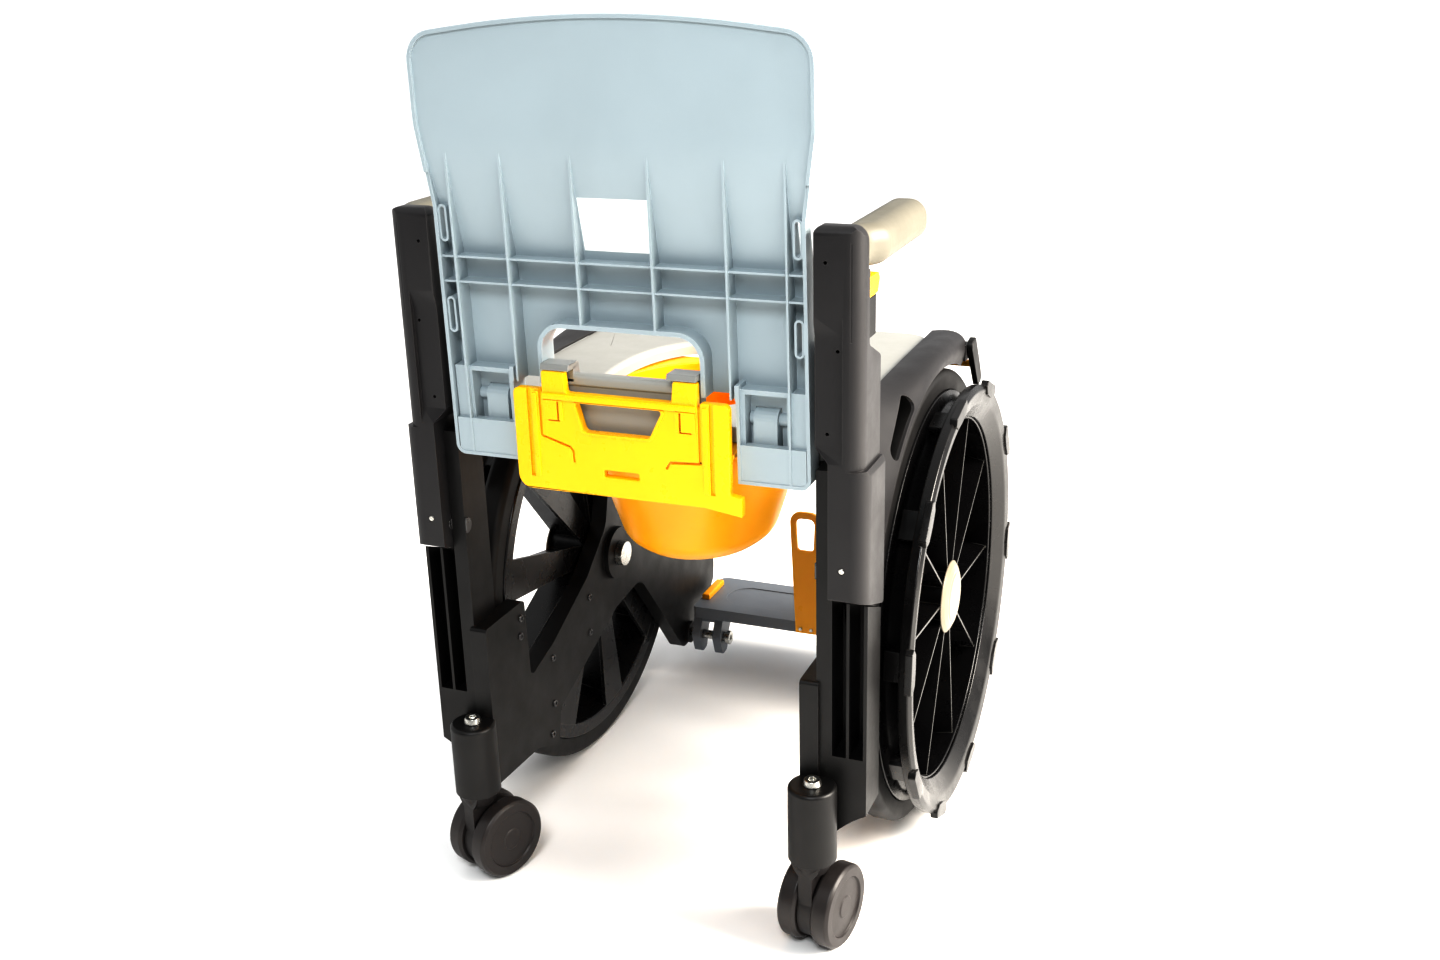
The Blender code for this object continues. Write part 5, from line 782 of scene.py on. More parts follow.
def rib_row_tree():
    """A tree that repeats a rib at even steps from a start."""
    tree = new_tree("rib_row", [
        ("Rib", "NodeSocketObject"), ("Count", "NodeSocketInt"), ("Start", "NodeSocketVector"),
        ("Step", "NodeSocketVector"), ("Finish", "NodeSocketMaterial")])
    given = add_node(tree, "NodeGroupInput").outputs
    rib = add_node(tree, "GeometryNodeObjectInfo", links={"Object": given["Rib"]})
    line = add_node(tree, "GeometryNodeMeshLine", links={
        "Count": given["Count"], "Start Location": given["Start"], "Offset": given["Step"]})
    copies = add_node(tree, "GeometryNodeInstanceOnPoints", links={
        "Points": line.outputs["Mesh"], "Instance": rib.outputs["Geometry"]})
    return finish_tree(tree, copies.outputs["Instances"], given["Finish"])


RIB_ROW = rib_row_tree()


def rib_row(rib, count, start, step, material):
    """A row of ribs as one object."""
    row = drawn("rib_row", bpy.data.meshes.new("rib_row"))
    grow(row, RIB_ROW, {"Rib": rib, "Count": count, "Start": start, "Step": step, "Finish": material})
    bpy.data.objects.remove(rib, do_unlink=True)
    return row


def backrest():
    """The whole backrest moulding, leaned to its rest angle."""
    front = -BACK_DEPTH
    rear = front + BACK_SKIN
    root = rear - 0.001
    back = skin()
    combine(back, [plate(back_outline(), "Y", (-0.06, 0.03))], "INTERSECT")
    bead = plate(
        back_outline(), "Y", (rear + BACK_DEPTH - 2 * BACK_SKIN, BEAD_RISE), [back_outline(BEAD_WIDTH)])
    combine(bead, [block(ALL_WIDTH, ALL_DEPTH, (BEAD_START - 0.004, BACK_TOP + 0.1))], "INTERSECT")
    wall = plate(back_outline(), "Y", (front, 0.0), [back_outline(BEAD_WIDTH)])
    combine(wall, [block(ALL_WIDTH, ALL_DEPTH, (BACK_BOTTOM - 0.1, BEAD_START))], "INTERSECT")
    parts = [bead, wall]
    half = RIB_THICKNESS / 2
    rib_outline = [
        (root, BACK_BOTTOM + 0.001), (0.0, BACK_BOTTOM + 0.001), (0.0, SLOPE_END - 0.022),
        (-0.0015, SLOPE_END), (root, SLOPE_END)]
    for x in RIB_PLACES:
        rib = plate(rib_outline, "X", (-half, half))
        parts.append(rib_row(rib, 2, (-x, 0.0, 0.0), (2 * x, 0.0, 0.0), BLUE_GREY_PP))
    reach = BACK_HALF_WIDTH - 0.003
    cross = block((-reach, reach), (root, -0.003), (-half, half))
    low, high = CROSS_RIBS
    parts.append(rib_row(cross, 2, (0.0, 0.0, low), (0.0, 0.0, high - low), BLUE_GREY_PP))
    flange, flange_top = CUTOUT_HALF_WIDTH + CUTOUT_FLANGE, CUTOUT_TOP + CUTOUT_FLANGE
    flange_foot, flange_corner = PAN_WAY_TOP - 0.004, CUTOUT_CORNER + CUTOUT_FLANGE
    flange_outline = rounded([
        (flange, flange_foot, 0.0), (flange, flange_top, flange_corner),
        (-flange, flange_top, flange_corner), (-flange, flange_foot, 0.0)], 12)
    parts.append(plate(flange_outline, "Y", (front, 0.0)))
    rim_length, rim_width = GRIP_SLOT_LENGTH + 2 * GRIP_SLOT_RIM, GRIP_SLOT_WIDTH + 2 * GRIP_SLOT_RIM
    # The blocks of the hinge's housing overlap by odd tenths of a millimetre, so that no two faces
    # that are joined lie in one plane.
    cheek_x = PAN_WAY_HALF_WIDTH - 0.0008
    for side in (1.0, -1.0):
        parts.append(block(
            (side * (PAN_WAY_HALF_WIDTH - 0.0011), side * HOUSING_OUTER_X), (front + 0.0007, HOUSING_REAR),
            (BACK_BOTTOM + 0.001, HOUSING_TOP)))
        parts.append(block(
            (side * cheek_x, side * (cheek_x + CHEEK_THICKNESS)), (front + 0.0004, 0.0),
            (BACK_BOTTOM + 0.0005, HOUSING_TOP + CHEEK_RISE)))
        for height in GRIP_SLOT_HEIGHTS:
            rim = stadium((side * GRIP_SLOT_X, height), rim_length, rim_width)
            parts.append(plate(rim, "Y", (root, -0.002)))
    for part in parts:
        combine(part, [skin(rear_end=0.05)], "INTERSECT")
    unite(back, *parts)

    cutout, cutout_foot = CUTOUT_HALF_WIDTH, BACK_BOTTOM - 0.02
    cutout_outline = rounded([
        (cutout, cutout_foot, 0.0), (cutout, CUTOUT_TOP, CUTOUT_CORNER),
        (-cutout, CUTOUT_TOP, CUTOUT_CORNER), (-cutout, cutout_foot, 0.0)], 12)
    cuts = [plate(cutout_outline, "Y", CUT_DEPTH)]
    for side in (1.0, -1.0):
        cuts.append(block(
            (side * RECESS_INNER_X, side * RECESS_OUTER_X), (rear, CUT_DEPTH[1]),
            (RECESS_BOTTOM, RECESS_TOP)))
        cuts.append(block(
            (side * LUG_SLOT_X[0], side * LUG_SLOT_X[1]), CUT_DEPTH, (RECESS_BOTTOM, LUG_SLOT_TOP)))
        for height in GRIP_SLOT_HEIGHTS:
            slot = stadium((side * GRIP_SLOT_X, height), GRIP_SLOT_LENGTH, GRIP_SLOT_WIDTH)
            cuts.append(plate(slot, "Y", CUT_DEPTH))
    carve(back, *cuts)
    carve(back, block((-PAN_WAY_HALF_WIDTH, PAN_WAY_HALF_WIDTH), CUT_DEPTH, (cutout_foot, PAN_WAY_TOP)))
    cover_inner, cover_outer = PAN_WAY_HALF_WIDTH + 0.0006, HOUSING_OUTER_X + 0.0007
    unite(back, *[
        block((side * cover_inner, side * cover_outer), (COVER_FRONT, COVER_REAR),
              (BACK_BOTTOM + 0.0017, RECESS_COVER_TOP))
        for side in (1.0, -1.0)])
    back.data.transform(LEAN)
    return fit(back, "backrest_moulding", BLUE_GREY_PP, "backrest", ["backrest"],
               edge=0.0005, clamp=True)


LEAN = (Matrix.Translation((0.0, PIN_Y, PIN_Z)) @ Matrix.Rotation(radians(-BACK_RECLINE), 4, "X")
        @ Matrix.Translation((0.0, -PIN_Y, -PIN_Z)))
backrest()

for side_name, side in SIDES:
    dress("hinge_lug_" + side_name, BLUE_GREY_PP)
    pin = cross_bar(
        side, RECESS_INNER_X + FIT_GAP, RECESS_OUTER_X - FIT_GAP, (PIN_Y, PIN_Z), HINGE_PIN_RADIUS)
    fit(pin, "hinge_pin_" + side_name, BLUE_GREY_PP, "backrest",
        ["back_pin_" + side_name])

# A blank self-adhesive paper label lies on the sloping skin between the two middle ribs.
LABEL_HALF_WIDTH, LABEL_LOW, LABEL_HIGH = 0.0352, 0.6885, 0.7385
LABEL_THICKNESS, LABEL_STAND, LABEL_ROWS = 0.0002, 0.00025, 12

# Coated paper under a clear film: white, smooth, a little soft in its gloss.
LABEL_PAPER = mottled_finish("coated_paper_label", "#F1F1EF", "#FBFBFA", 0.003, 4.0, (0.30, 0.42))


def label():
    """The label as a thin sheet that follows the skin's slope."""
    shape = bmesh.new()
    grid = []
    for row in range(LABEL_ROWS + 1):
        height = LABEL_LOW + (LABEL_HIGH - LABEL_LOW) * row / LABEL_ROWS
        depth = skin_rear(height) + LABEL_STAND
        grid.append([shape.verts.new((x, depth, height)) for x in (LABEL_HALF_WIDTH, -LABEL_HALF_WIDTH)])
    for low, high in zip(grid, grid[1:]):
        shape.faces.new((low[0], low[1], high[1], high[0]))
    mesh = bpy.data.meshes.new("label")
    shape.to_mesh(mesh)
    shape.free()
    sheet = drawn("label", mesh)
    wall = sheet.modifiers.new("paper", "SOLIDIFY")
    wall.thickness = LABEL_THICKNESS
    wall.offset = -1.0
    weld(settle(sheet))
    sheet.data.transform(LEAN)
    return fit(sheet, "blank_label", LABEL_PAPER, "backrest", (), edge=0.0)


label()


# Pan and handle.
# The pan is one deep thin-walled bowl of yellow-orange polypropylene under a flat flange that
# slides on the rails. A separate ribbed handle plate snaps onto its rear and under the seat's lips.

FLANGE_TOP, FLANGE_BOTTOM = 0.5083, 0.5043
PAN_Y, PAN_OVAL, PAN_WALL = -0.182, 1.13, 0.003
PAN_RIM_RADIUS, PAN_BELLY_RADIUS, PAN_BASE_RADIUS = 0.1065, 0.110, 0.073
PAN_BOTTOM, PAN_BELLY_Z = 0.346, 0.455
PAN_FLANGE_HALF_WIDTH, PAN_FRONT_Y = 0.1108, -0.312
HANDLE_NEAR_Y, HANDLE_FAR_Y = 0.0005, 0.0095
HANDLE_BOTTOM, HANDLE_EAR_TOP, HANDLE_TOP = 0.457, 0.558, 0.556
HANDLE_HALF_WIDTH, HANDLE_MAIN_HALF_WIDTH = 0.110, 0.0805
HANDLE_TAB_INNER, HANDLE_TAB_OUTER = 0.056, 0.079
GROOVE_DEPTH, RAISED_ROOT = 0.003, 0.002
BOWL_STEPS = 128

# Homopolymer polypropylene, glossier tool: saturated yellow-orange that lets a little light through.
ORANGE_PP = moulded_plastic(
    "orange_polypropylene", "#FFB21A", "#FFC658", 0.32, 0.0018, 0.00004, patch=0.2)
# The pan's orange plastic painted yellower and lighter: a lit copy that stands for the strong light on the
# handle.
YELLOW_PP = moulded_plastic(
    "warm_yellow_polypropylene", "#FBC005", "#FFCE40", 0.30, 0.0018, 0.00004, patch=0.2)
for plastic in (ORANGE_PP, YELLOW_PP):
    shader = plastic.node_tree.nodes["Principled BSDF"]
    shader.inputs["Subsurface Weight"].default_value = 0.12
    shader.inputs["Subsurface Radius"].default_value = (1.0, 0.45, 0.08)
    shader.inputs["Subsurface Scale"].default_value = 0.004


def turned(name, profile, steps, ring=False):
    """A profile of radius and height turned about the Z axis, listed down its outer side."""
    shape = bmesh.new()
    points = [shape.verts.new((radius, 0.0, height)) for radius, height in profile]
    for first, second in zip(points, points[1:]):
        shape.edges.new((first, second))
    if ring:
        shape.edges.new((points[-1], points[0]))
    mesh = bpy.data.meshes.new(name)
    shape.to_mesh(mesh)
    shape.free()
    made = drawn(name, mesh)
    screw = made.modifiers.new("turn", "SCREW")
    screw.steps = steps
    screw.render_steps = steps
    screw.use_merge_vertices = True
    screw.merge_threshold = 0.00001
    return weld(settle(made))


def pan_bowl():
    """The bowl and its flange."""
    floor, wall = PAN_BOTTOM + PAN_WALL, PAN_WALL
    profile = rounded([
        (PAN_RIM_RADIUS, FLANGE_TOP, 0.0),
        (PAN_RIM_RADIUS, BACK_BOTTOM - 0.004, 0.020),
        (PAN_BELLY_RADIUS, PAN_BELLY_Z, 0.030),
        (PAN_BASE_RADIUS + 0.007, PAN_BOTTOM + 0.014, 0.030),
        (PAN_BASE_RADIUS - 0.012, PAN_BOTTOM, 0.012),
        (0.0, PAN_BOTTOM, 0.0),
        (0.0, floor, 0.0),
        (PAN_BASE_RADIUS - 0.013, floor, 0.010),
        (PAN_BASE_RADIUS + 0.004, floor + 0.013, 0.028),
        (PAN_BELLY_RADIUS - wall, PAN_BELLY_Z, 0.030),
        (PAN_RIM_RADIUS - wall, BACK_BOTTOM - 0.004, 0.020),
        (PAN_RIM_RADIUS - wall, FLANGE_TOP, 0.0)], 6)
    bowl = turned("pan_bowl", profile, BOWL_STEPS, ring=True)
    bowl.data.transform(Matrix.Translation((0.0, PAN_Y, 0.0)) @ Matrix.Diagonal((1.0, PAN_OVAL, 1.0, 1.0)))
    reach = PAN_RIM_RADIUS - PAN_WALL / 2
    turns = [2 * pi * step / BOWL_STEPS for step in range(BOWL_STEPS)]
    mouth = [(reach * cos(turn), PAN_Y + reach * PAN_OVAL * sin(turn)) for turn in turns]
    half, near = PAN_FLANGE_HALF_WIDTH, HANDLE_NEAR_Y - FIT_GAP
    flange_outline = rounded([
        (half, near, 0.0), (half, PAN_FRONT_Y, 0.020), (-half, PAN_FRONT_Y, 0.020), (-half, near, 0.0)])
    flange = plate(flange_outline, "Z", (FLANGE_BOTTOM, FLANGE_TOP), holes=[mouth])
    return fit(unite(bowl, flange), "pan_moulding", ORANGE_PP, "pan", ["pan_bowl"],
               edge=0.0005)


def pan_handle():
    """The handle plate: ears, two snap tabs, finger slot, latch pads and stepped grooves."""
    near, far = HANDLE_NEAR_Y, HANDLE_FAR_Y
    wide, main = HANDLE_HALF_WIDTH, HANDLE_MAIN_HALF_WIDTH
    tab_top = BAR_TOP + 0.0045
    outline = rounded([
        (wide, HANDLE_BOTTOM, 0.014),
        (wide, HANDLE_EAR_TOP, 0.006),
        (main + 0.0015, HANDLE_EAR_TOP, 0.003),
        (main, HANDLE_TOP - 0.004, 0.0),
        (HANDLE_TAB_OUTER, HANDLE_TOP, 0.0),
        (HANDLE_TAB_OUTER, tab_top, 0.003),
        (HANDLE_TAB_INNER, tab_top, 0.003),
        (HANDLE_TAB_INNER - 0.002, HANDLE_TOP, 0.002),
        (-HANDLE_TAB_INNER + 0.002, HANDLE_TOP, 0.002),
        (-HANDLE_TAB_INNER, tab_top, 0.003),
        (-HANDLE_TAB_OUTER, tab_top, 0.003),
        (-HANDLE_TAB_OUTER, HANDLE_TOP, 0.0),
        (-main, HANDLE_TOP - 0.004, 0.0),
        (-main - 0.0015, HANDLE_EAR_TOP, 0.003),
        (-wide, HANDLE_EAR_TOP, 0.006),
        (-wide, HANDLE_BOTTOM + 0.015, 0.0),
        (-wide - 0.0115, HANDLE_BOTTOM + 0.013, 0.0),
        (-wide - 0.0115, HANDLE_BOTTOM - 0.0055, 0.0),
        (-main - 0.004, HANDLE_BOTTOM, 0.0)])
    grip = rounded([
        (0.0445, 0.548, 0.003), (-0.0455, 0.548, 0.003), (-0.0310, 0.5195, 0.005), (0.0365, 0.5195, 0.005)])
    drain = rounded([
        (0.0175, 0.4765, 0.001), (0.0175, 0.4835, 0.001), (-0.0185, 0.4835, 0.001),
        (-0.0185, 0.4765, 0.001)], 3)
    grip_border = rounded([
        (0.0480, 0.5482, 0.003), (-0.0490, 0.5482, 0.003), (-0.0330, 0.5168, 0.006), (0.0385, 0.5168, 0.006)])
    handle = eased(plate(outline, "Y", (near, far), holes=[grip, drain]), 0.0008)
    root = far - RAISED_ROOT
    lip = block((-main + 0.002, main - 0.002), (root, far + 0.0025), (0.5492, HANDLE_TOP - 0.001))
    raised = [
        eased(lip, 0.0008),
        eased(plate(grip_border, "Y", (root, far + 0.0012), holes=[grip]), 0.0004)]
    for side in (1.0, -1.0):
        raised.append(eased(block(
            (side * (HANDLE_TAB_INNER + 0.0015), side * (HANDLE_TAB_OUTER - 0.0015)), (root, far + 0.0012),
            (0.529, 0.5485)), 0.0004))
        raised.append(eased(block(
            (side * (main + 0.0042), side * (main + 0.0092)), (root, far + 0.0014),
            (HANDLE_BOTTOM + 0.014, HANDLE_EAR_TOP - 0.004)), 0.0005))
    unite(handle, *raised)

    floor, above, ear_above = far - GROOVE_DEPTH, far + PAST, HANDLE_EAR_TOP + PAST
    cuts = []
    for side in (1.0, -1.0):
        low = 0.512 if side > 0 else HANDLE_BOTTOM + 0.042
        for inner, outer, z_range in (
                (main - 0.0005, main + 0.0024, (low, ear_above)),
                (main + 0.0105, main + 0.0150, (HANDLE_BOTTOM + 0.013, ear_above)),
                (0.0615, 0.0635, (0.5275, 0.5475)), (0.0615, 0.0735, (0.5275, 0.5292))):
            cuts.append(block((side * inner, side * outer), (floor, above), z_range))
    left_step = [(main + 0.001, 0.5135), (main + 0.001, 0.5110), (0.0525, 0.5020), (0.0500, 0.4985),
                 (0.0495, 0.4880), (0.0470, 0.4880), (0.0475, 0.4995), (0.0515, 0.5045)]
    right_step = [(-main - 0.001, 0.5010), (-main - 0.001, 0.4985), (-0.0520, 0.4965), (-0.0480, 0.4905),
                  (-0.0460, 0.4920), (-0.0510, 0.4995)]
    cuts.append(plate(left_step, "Y", (floor, above)))
    cuts.append(plate(right_step, "Y", (floor, above)))
    carve(handle, *cuts)
    # The handle takes the lit copy of the orange: its yellow is painted light.
    return fit(handle, "handle_moulding", YELLOW_PP, "pan", ["pan_handle"], edge=0.0)


pan_bowl()
pan_handle()


# Armrests.
# Each armrest is a hollow charcoal upright, moulded as a rear shell over an outer cover, with a
# soft pad pushed onto its top and a yellow release that springs a rod out of the seat's side.

UPRIGHT_INNER_X, UPRIGHT_OUTER_X = 0.190, 0.2345
UPRIGHT_REAR_Y, UPRIGHT_FRONT_Y = 0.008, -0.014
UPRIGHT_TOP, UPRIGHT_STEP, UPRIGHT_ROUND = 0.7235, 0.512, 0.016
LOWER_OUTER_X, LOWER_FRONT_Y = 0.240, -0.052
LOWER_TOP, LOWER_REAR_Z, LOWER_FRONT_Z = 0.500, 0.380, 0.358
FLARE_TOP, FLARE_BOTTOM = 0.618, 0.600
PANEL_EDGE_X, PANEL_DEPTH = 0.2165, 0.0042
PANEL_SLOPES = (0.645, 0.627, 0.527, 0.512)
CORNER_GROOVE_X, CORNER_GROOVE_LOW = 0.2245, 0.624
PAD_LENGTH, PAD_WIDTH, PAD_HEIGHT, PAD_TOP, PAD_INNER_X = 0.155, 0.042, 0.037, 0.722, 0.2045
PAD_LOW_ROUND, PAD_HIGH_ROUND, PAD_END_ROUND, PAD_DRAW_LENGTH = 0.015, 0.0165, 0.007, 0.026
SHELL_BACK = 0.018
TRIGGER_HEIGHT, TRIGGER_WIDTH, TRIGGER_DEPTH, TRIGGER_DROP = 0.0175, 0.016, 0.032, 0.008
SLIDE_WIDTH, SLIDE_DEPTH, SLIDE_FOOT_GAP = 0.011, 0.021, 0.005
UPRIGHT_HOLES = ((0.2010, 0.6925), (0.2110, 0.6145), (0.2015, 0.5385))
UPRIGHT_HOLE_RADIUS, UPRIGHT_HOLE_DEPTH = 0.0017, 0.010
UPRIGHT_SCREW, UPRIGHT_SCREW_SINK = (0.216, 0.410), 0.0014
UPRIGHT_SCREW_RADIUS, UPRIGHT_SINK_RADIUS = 0.0028, 0.0034
CORNER_GROOVE_RADIUS = 0.0022

# Polypropylene over a coarse eroded tool: warm charcoal whose grain catches side light.
CHARCOAL_PP = moulded_plastic("charcoal_grained_polypropylene", "#2B2A2B", "#5C5957", 0.42, 0.0012, 0.00010)
# Integral-skin polyurethane foam: warm olive-grey skin, broad low sheen, pores hardly seen.
PAD_SKIN = moulded_plastic(
    "integral_skin_foam", "#6C695F", "#88847A", 0.50, 0.0014, 0.00012, patch=0.05, ior=1.48)


def upright_side_view():
    """The upright from the side, with its flared foot and the seat for the pad."""
    pad_seat = PAD_TOP - PAD_HEIGHT - FIT_GAP
    ledge = UPRIGHT_REAR_Y - SHELL_BACK
    return rounded([
        (UPRIGHT_REAR_Y, LOWER_REAR_Z, 0.003),
        (UPRIGHT_REAR_Y, UPRIGHT_TOP, 0.011),
        (ledge, UPRIGHT_TOP, 0.002),
        (ledge, pad_seat, 0.0),
        (UPRIGHT_FRONT_Y, pad_seat, 0.0),
        (UPRIGHT_FRONT_Y, FLARE_TOP, 0.006),
        (LOWER_FRONT_Y, FLARE_BOTTOM, 0.010),
        (LOWER_FRONT_Y, LOWER_FRONT_Z, 0.005)])


def upright_rear_view(side):
    """The upright from behind: round shoulders on top, the lower block set outward by a slope."""
    return [(side * x, z) for x, z in rounded([
        (LOWER_INNER_X, LOWER_FRONT_Z - 0.01, 0.0),
        (LOWER_INNER_X, UPRIGHT_STEP, 0.003),
        (UPRIGHT_INNER_X, UPRIGHT_STEP + 0.014, 0.004),
        (UPRIGHT_INNER_X, UPRIGHT_TOP + 0.0001, 0.008),
        (UPRIGHT_OUTER_X, UPRIGHT_TOP + 0.0001, 0.014),
        (UPRIGHT_OUTER_X, LOWER_TOP + 0.012, 0.006),
        (LOWER_OUTER_X, LOWER_TOP, 0.006),
        (LOWER_OUTER_X, LOWER_FRONT_Z - 0.01, 0.0)])]


def upright_plan_view(side, outer):
    """The upright from above, its rear outer corner a full round."""
    return [(side * x, y) for x, y in rounded([
        (UPRIGHT_INNER_X, UPRIGHT_REAR_Y, 0.0015),
        (outer, UPRIGHT_REAR_Y, UPRIGHT_ROUND),
        (outer, LOWER_FRONT_Y, 0.002),
        (UPRIGHT_INNER_X, LOWER_FRONT_Y, 0.002)], 12)]


def upright(side_name, side):
    """The upright moulding with its round corner, recessed rear panel and screw holes."""
    post = plate(upright_side_view(), "X", (side * (UPRIGHT_INNER_X - 0.002), side * (LOWER_OUTER_X + 0.002)))
    combine(post, [plate(upright_rear_view(side), "Y", (-0.1, 0.05))], "INTERSECT")
    high = plate(upright_plan_view(side, UPRIGHT_OUTER_X), "Z", (LOWER_TOP + 0.006, UPRIGHT_TOP + 0.01))
    low = plate(upright_plan_view(side, LOWER_OUTER_X), "Z", (LOWER_FRONT_Z - 0.02, LOWER_TOP + 0.006))
    combine(post, [unite(high, low)], "INTERSECT")
    eased(post, 0.0009, clamp=True)

    deep = UPRIGHT_REAR_Y - PANEL_DEPTH
    top, top_floor, low_floor, bottom = PANEL_SLOPES
    recess = [(UPRIGHT_REAR_Y + 0.01, top), (UPRIGHT_REAR_Y, top), (deep, top_floor), (deep, low_floor),
              (UPRIGHT_REAR_Y, bottom), (UPRIGHT_REAR_Y + 0.01, bottom)]
    pivot_bore = cross_bar(
        side, LOWER_INNER_X - 2 * PAST, LOWER_OUTER_X - 0.0085, (ARM_PIVOT_Y, ARM_PIVOT_Z),
        PIVOT_BOLT_RADIUS + FIT_GAP)
    groove_x, groove_y = side * CORNER_GROOVE_X, UPRIGHT_REAR_Y + 0.0008
    cuts = [
        plate(recess, "X", (side * (UPRIGHT_INNER_X - 0.01), side * PANEL_EDGE_X)),
        pivot_bore,
        bar((groove_x, groove_y, CORNER_GROOVE_LOW), (groove_x, groove_y, UPRIGHT_TOP - 0.014),
            CORNER_GROOVE_RADIUS, segments=20),
    ]
    rear_holes = [(*spot, UPRIGHT_HOLE_DEPTH, UPRIGHT_HOLE_RADIUS, 20) for spot in UPRIGHT_HOLES]
    rear_holes.append((*UPRIGHT_SCREW, UPRIGHT_SCREW_SINK, UPRIGHT_SINK_RADIUS, 28))
    for x, z, depth, radius, segments in rear_holes:
        cuts.append(bar(
            (side * x, UPRIGHT_REAR_Y - depth, z), (side * x, UPRIGHT_REAR_Y + 0.004, z), radius,
            segments=segments))
    carve(post, *cuts)
    return fit(post, "armrest_moulding_" + side_name, CHARCOAL_PP, "armrest_" + side_name,
               ["armrest_upright_" + side_name], edge=0.0)


def arm_pad(side_name, side):
    """The soft pad: nearly round in section, with a round end, its rear drawn in to the upright."""
    rear = UPRIGHT_REAR_Y - SHELL_BACK - FIT_GAP
    end_round, draw_length = PAD_END_ROUND, PAD_DRAW_LENGTH
    steps = [end_round * (1 - cos(radians(turn))) for turn in range(0, 91, 15)]
    steps += [PAD_LENGTH - draw_length + draw_length * step / 12 for step in range(13)]
    shape = bmesh.new()
    rings = []
    for reach in steps:
        inset = 0.0
        if reach < end_round:
            inset = end_round - sqrt(end_round**2 - (end_round - reach)**2)
        share = max(0.0, (reach - PAD_LENGTH + draw_length) / draw_length)
        drawn_in = (PAD_INNER_X + PAD_WIDTH - UPRIGHT_OUTER_X) * share * share * (3 - 2 * share)
        inner, outer = PAD_INNER_X + inset, PAD_INNER_X + PAD_WIDTH - inset - drawn_in
        low, high = PAD_TOP - PAD_HEIGHT + inset, PAD_TOP - inset
        low_round, high_round = PAD_LOW_ROUND - 0.6 * inset, PAD_HIGH_ROUND - 0.6 * inset
        section = rounded([
            (inner, low, low_round), (outer, low, low_round), (outer, high, high_round),
            (inner, high, high_round)], 14)
        rings.append([shape.verts.new((side * x, rear - PAD_LENGTH + reach, z)) for x, z in section])
    for first, second in zip(rings, rings[1:]):
        for index in range(len(first)):
            after = (index + 1) % len(first)
            shape.faces.new((first[index], first[after], second[after], second[index]))
    shape.faces.new(rings[0])
    shape.faces.new(rings[-1])
    mesh = bpy.data.meshes.new("arm_pad")
    shape.to_mesh(mesh)
    shape.free()
    pad = weld(drawn("arm_pad", mesh))
    return fit(pad, "arm_pad_" + side_name, PAD_SKIN, "armrest_" + side_name,
               ["armrest_pad_" + side_name], edge=0.0)


def release(side_name, side):
    """The finger release under the pad, and the slide that it lifts."""
    outer = UPRIGHT_OUTER_X - 0.0005
    top = PAD_TOP - PAD_HEIGHT - TRIGGER_DROP
    foot = top - TRIGGER_HEIGHT
    near = UPRIGHT_FRONT_Y - FIT_GAP
    tip = near - TRIGGER_DEPTH
    trigger_outline = rounded([
        (near, top, 0.0), (near, foot, 0.0), (tip + 0.006, foot, 0.004), (tip, top - 0.006, 0.004),
        (tip + 0.005, top, 0.003)])
    trigger = plate(trigger_outline, "X", (side * (outer - TRIGGER_WIDTH), side * outer))
    fit(trigger, "release_trigger_" + side_name, YELLOW_PP, "release_" + side_name,
        ["armrest_release_" + side_name], edge=0.0010, clamp=True)
    slide = block(
        (side * (outer - SLIDE_WIDTH), side * outer), (near - SLIDE_DEPTH, near),
        (FLARE_TOP + SLIDE_FOOT_GAP, foot - FIT_GAP))
    fit(slide, "release_slide_" + side_name, BLACK_NYLON, "release_" + side_name,
        ["release_rod_" + side_name], edge=0.0010)


for side_name, side in SIDES:
    upright(side_name, side)
    arm_pad(side_name, side)
    release(side_name, side)
    x, z = UPRIGHT_SCREW
    fasteners("armrest_screw_" + side_name, socket_screw(UPRIGHT_SCREW_RADIUS, UPRIGHT_SCREW_SINK),
              [(side * x, UPRIGHT_REAR_Y - UPRIGHT_SCREW_SINK, z)], (-pi / 2, 0.0, 0.0), ZINC_STEEL,
              "armrest_" + side_name)


# Side panels and brakes.
# A charcoal shell closes each side from the seat's edge down to the wheel arch, with a hand slot.
# Its thickened front end carries the brake: a black lever with an orange shoe that bears on the tyre.

WHEEL_RADIUS, TYRE_INNER_X, TYRE_OUTER_X = 0.254, 0.195, 0.224
PANEL_REAR_Y, PANEL_FRONT_Y = -0.0585, -0.430
ARCH_RADIUS = WHEEL_RADIUS + 0.0065
ARCH_REAR_ANGLE, ARCH_FRONT_ANGLE = 36.0, 112.0
PANEL_REAR_BULGE, PANEL_FRONT_BULGE = 0.004, 0.022
SHELL_WALL = 0.003
SHELL_COLUMNS, SHELL_ROWS = 64, 14
HAND_SLOT_RISE, HAND_SLOT_WIDTH, HAND_SLOT_HALF_LENGTH, HAND_SLOT_ANGLE = 0.0055, 0.017, 0.033, 60.5
HAND_SLOT_CUT = (0.17, 0.26)
BRAKE_PIVOT_Y, BRAKE_PIVOT_Z = -0.420, 0.511
BRAKE_INNER_X = TYRE_OUTER_X + 0.0085
BRAKE_REST_ANGLE = -131.0
LEVER_WIDTH, STUB_RADIUS, STUB_LENGTH = 0.0065, 0.004, 0.018
SHOE_REACH, SHOE_RADIUS = 0.027, 0.004


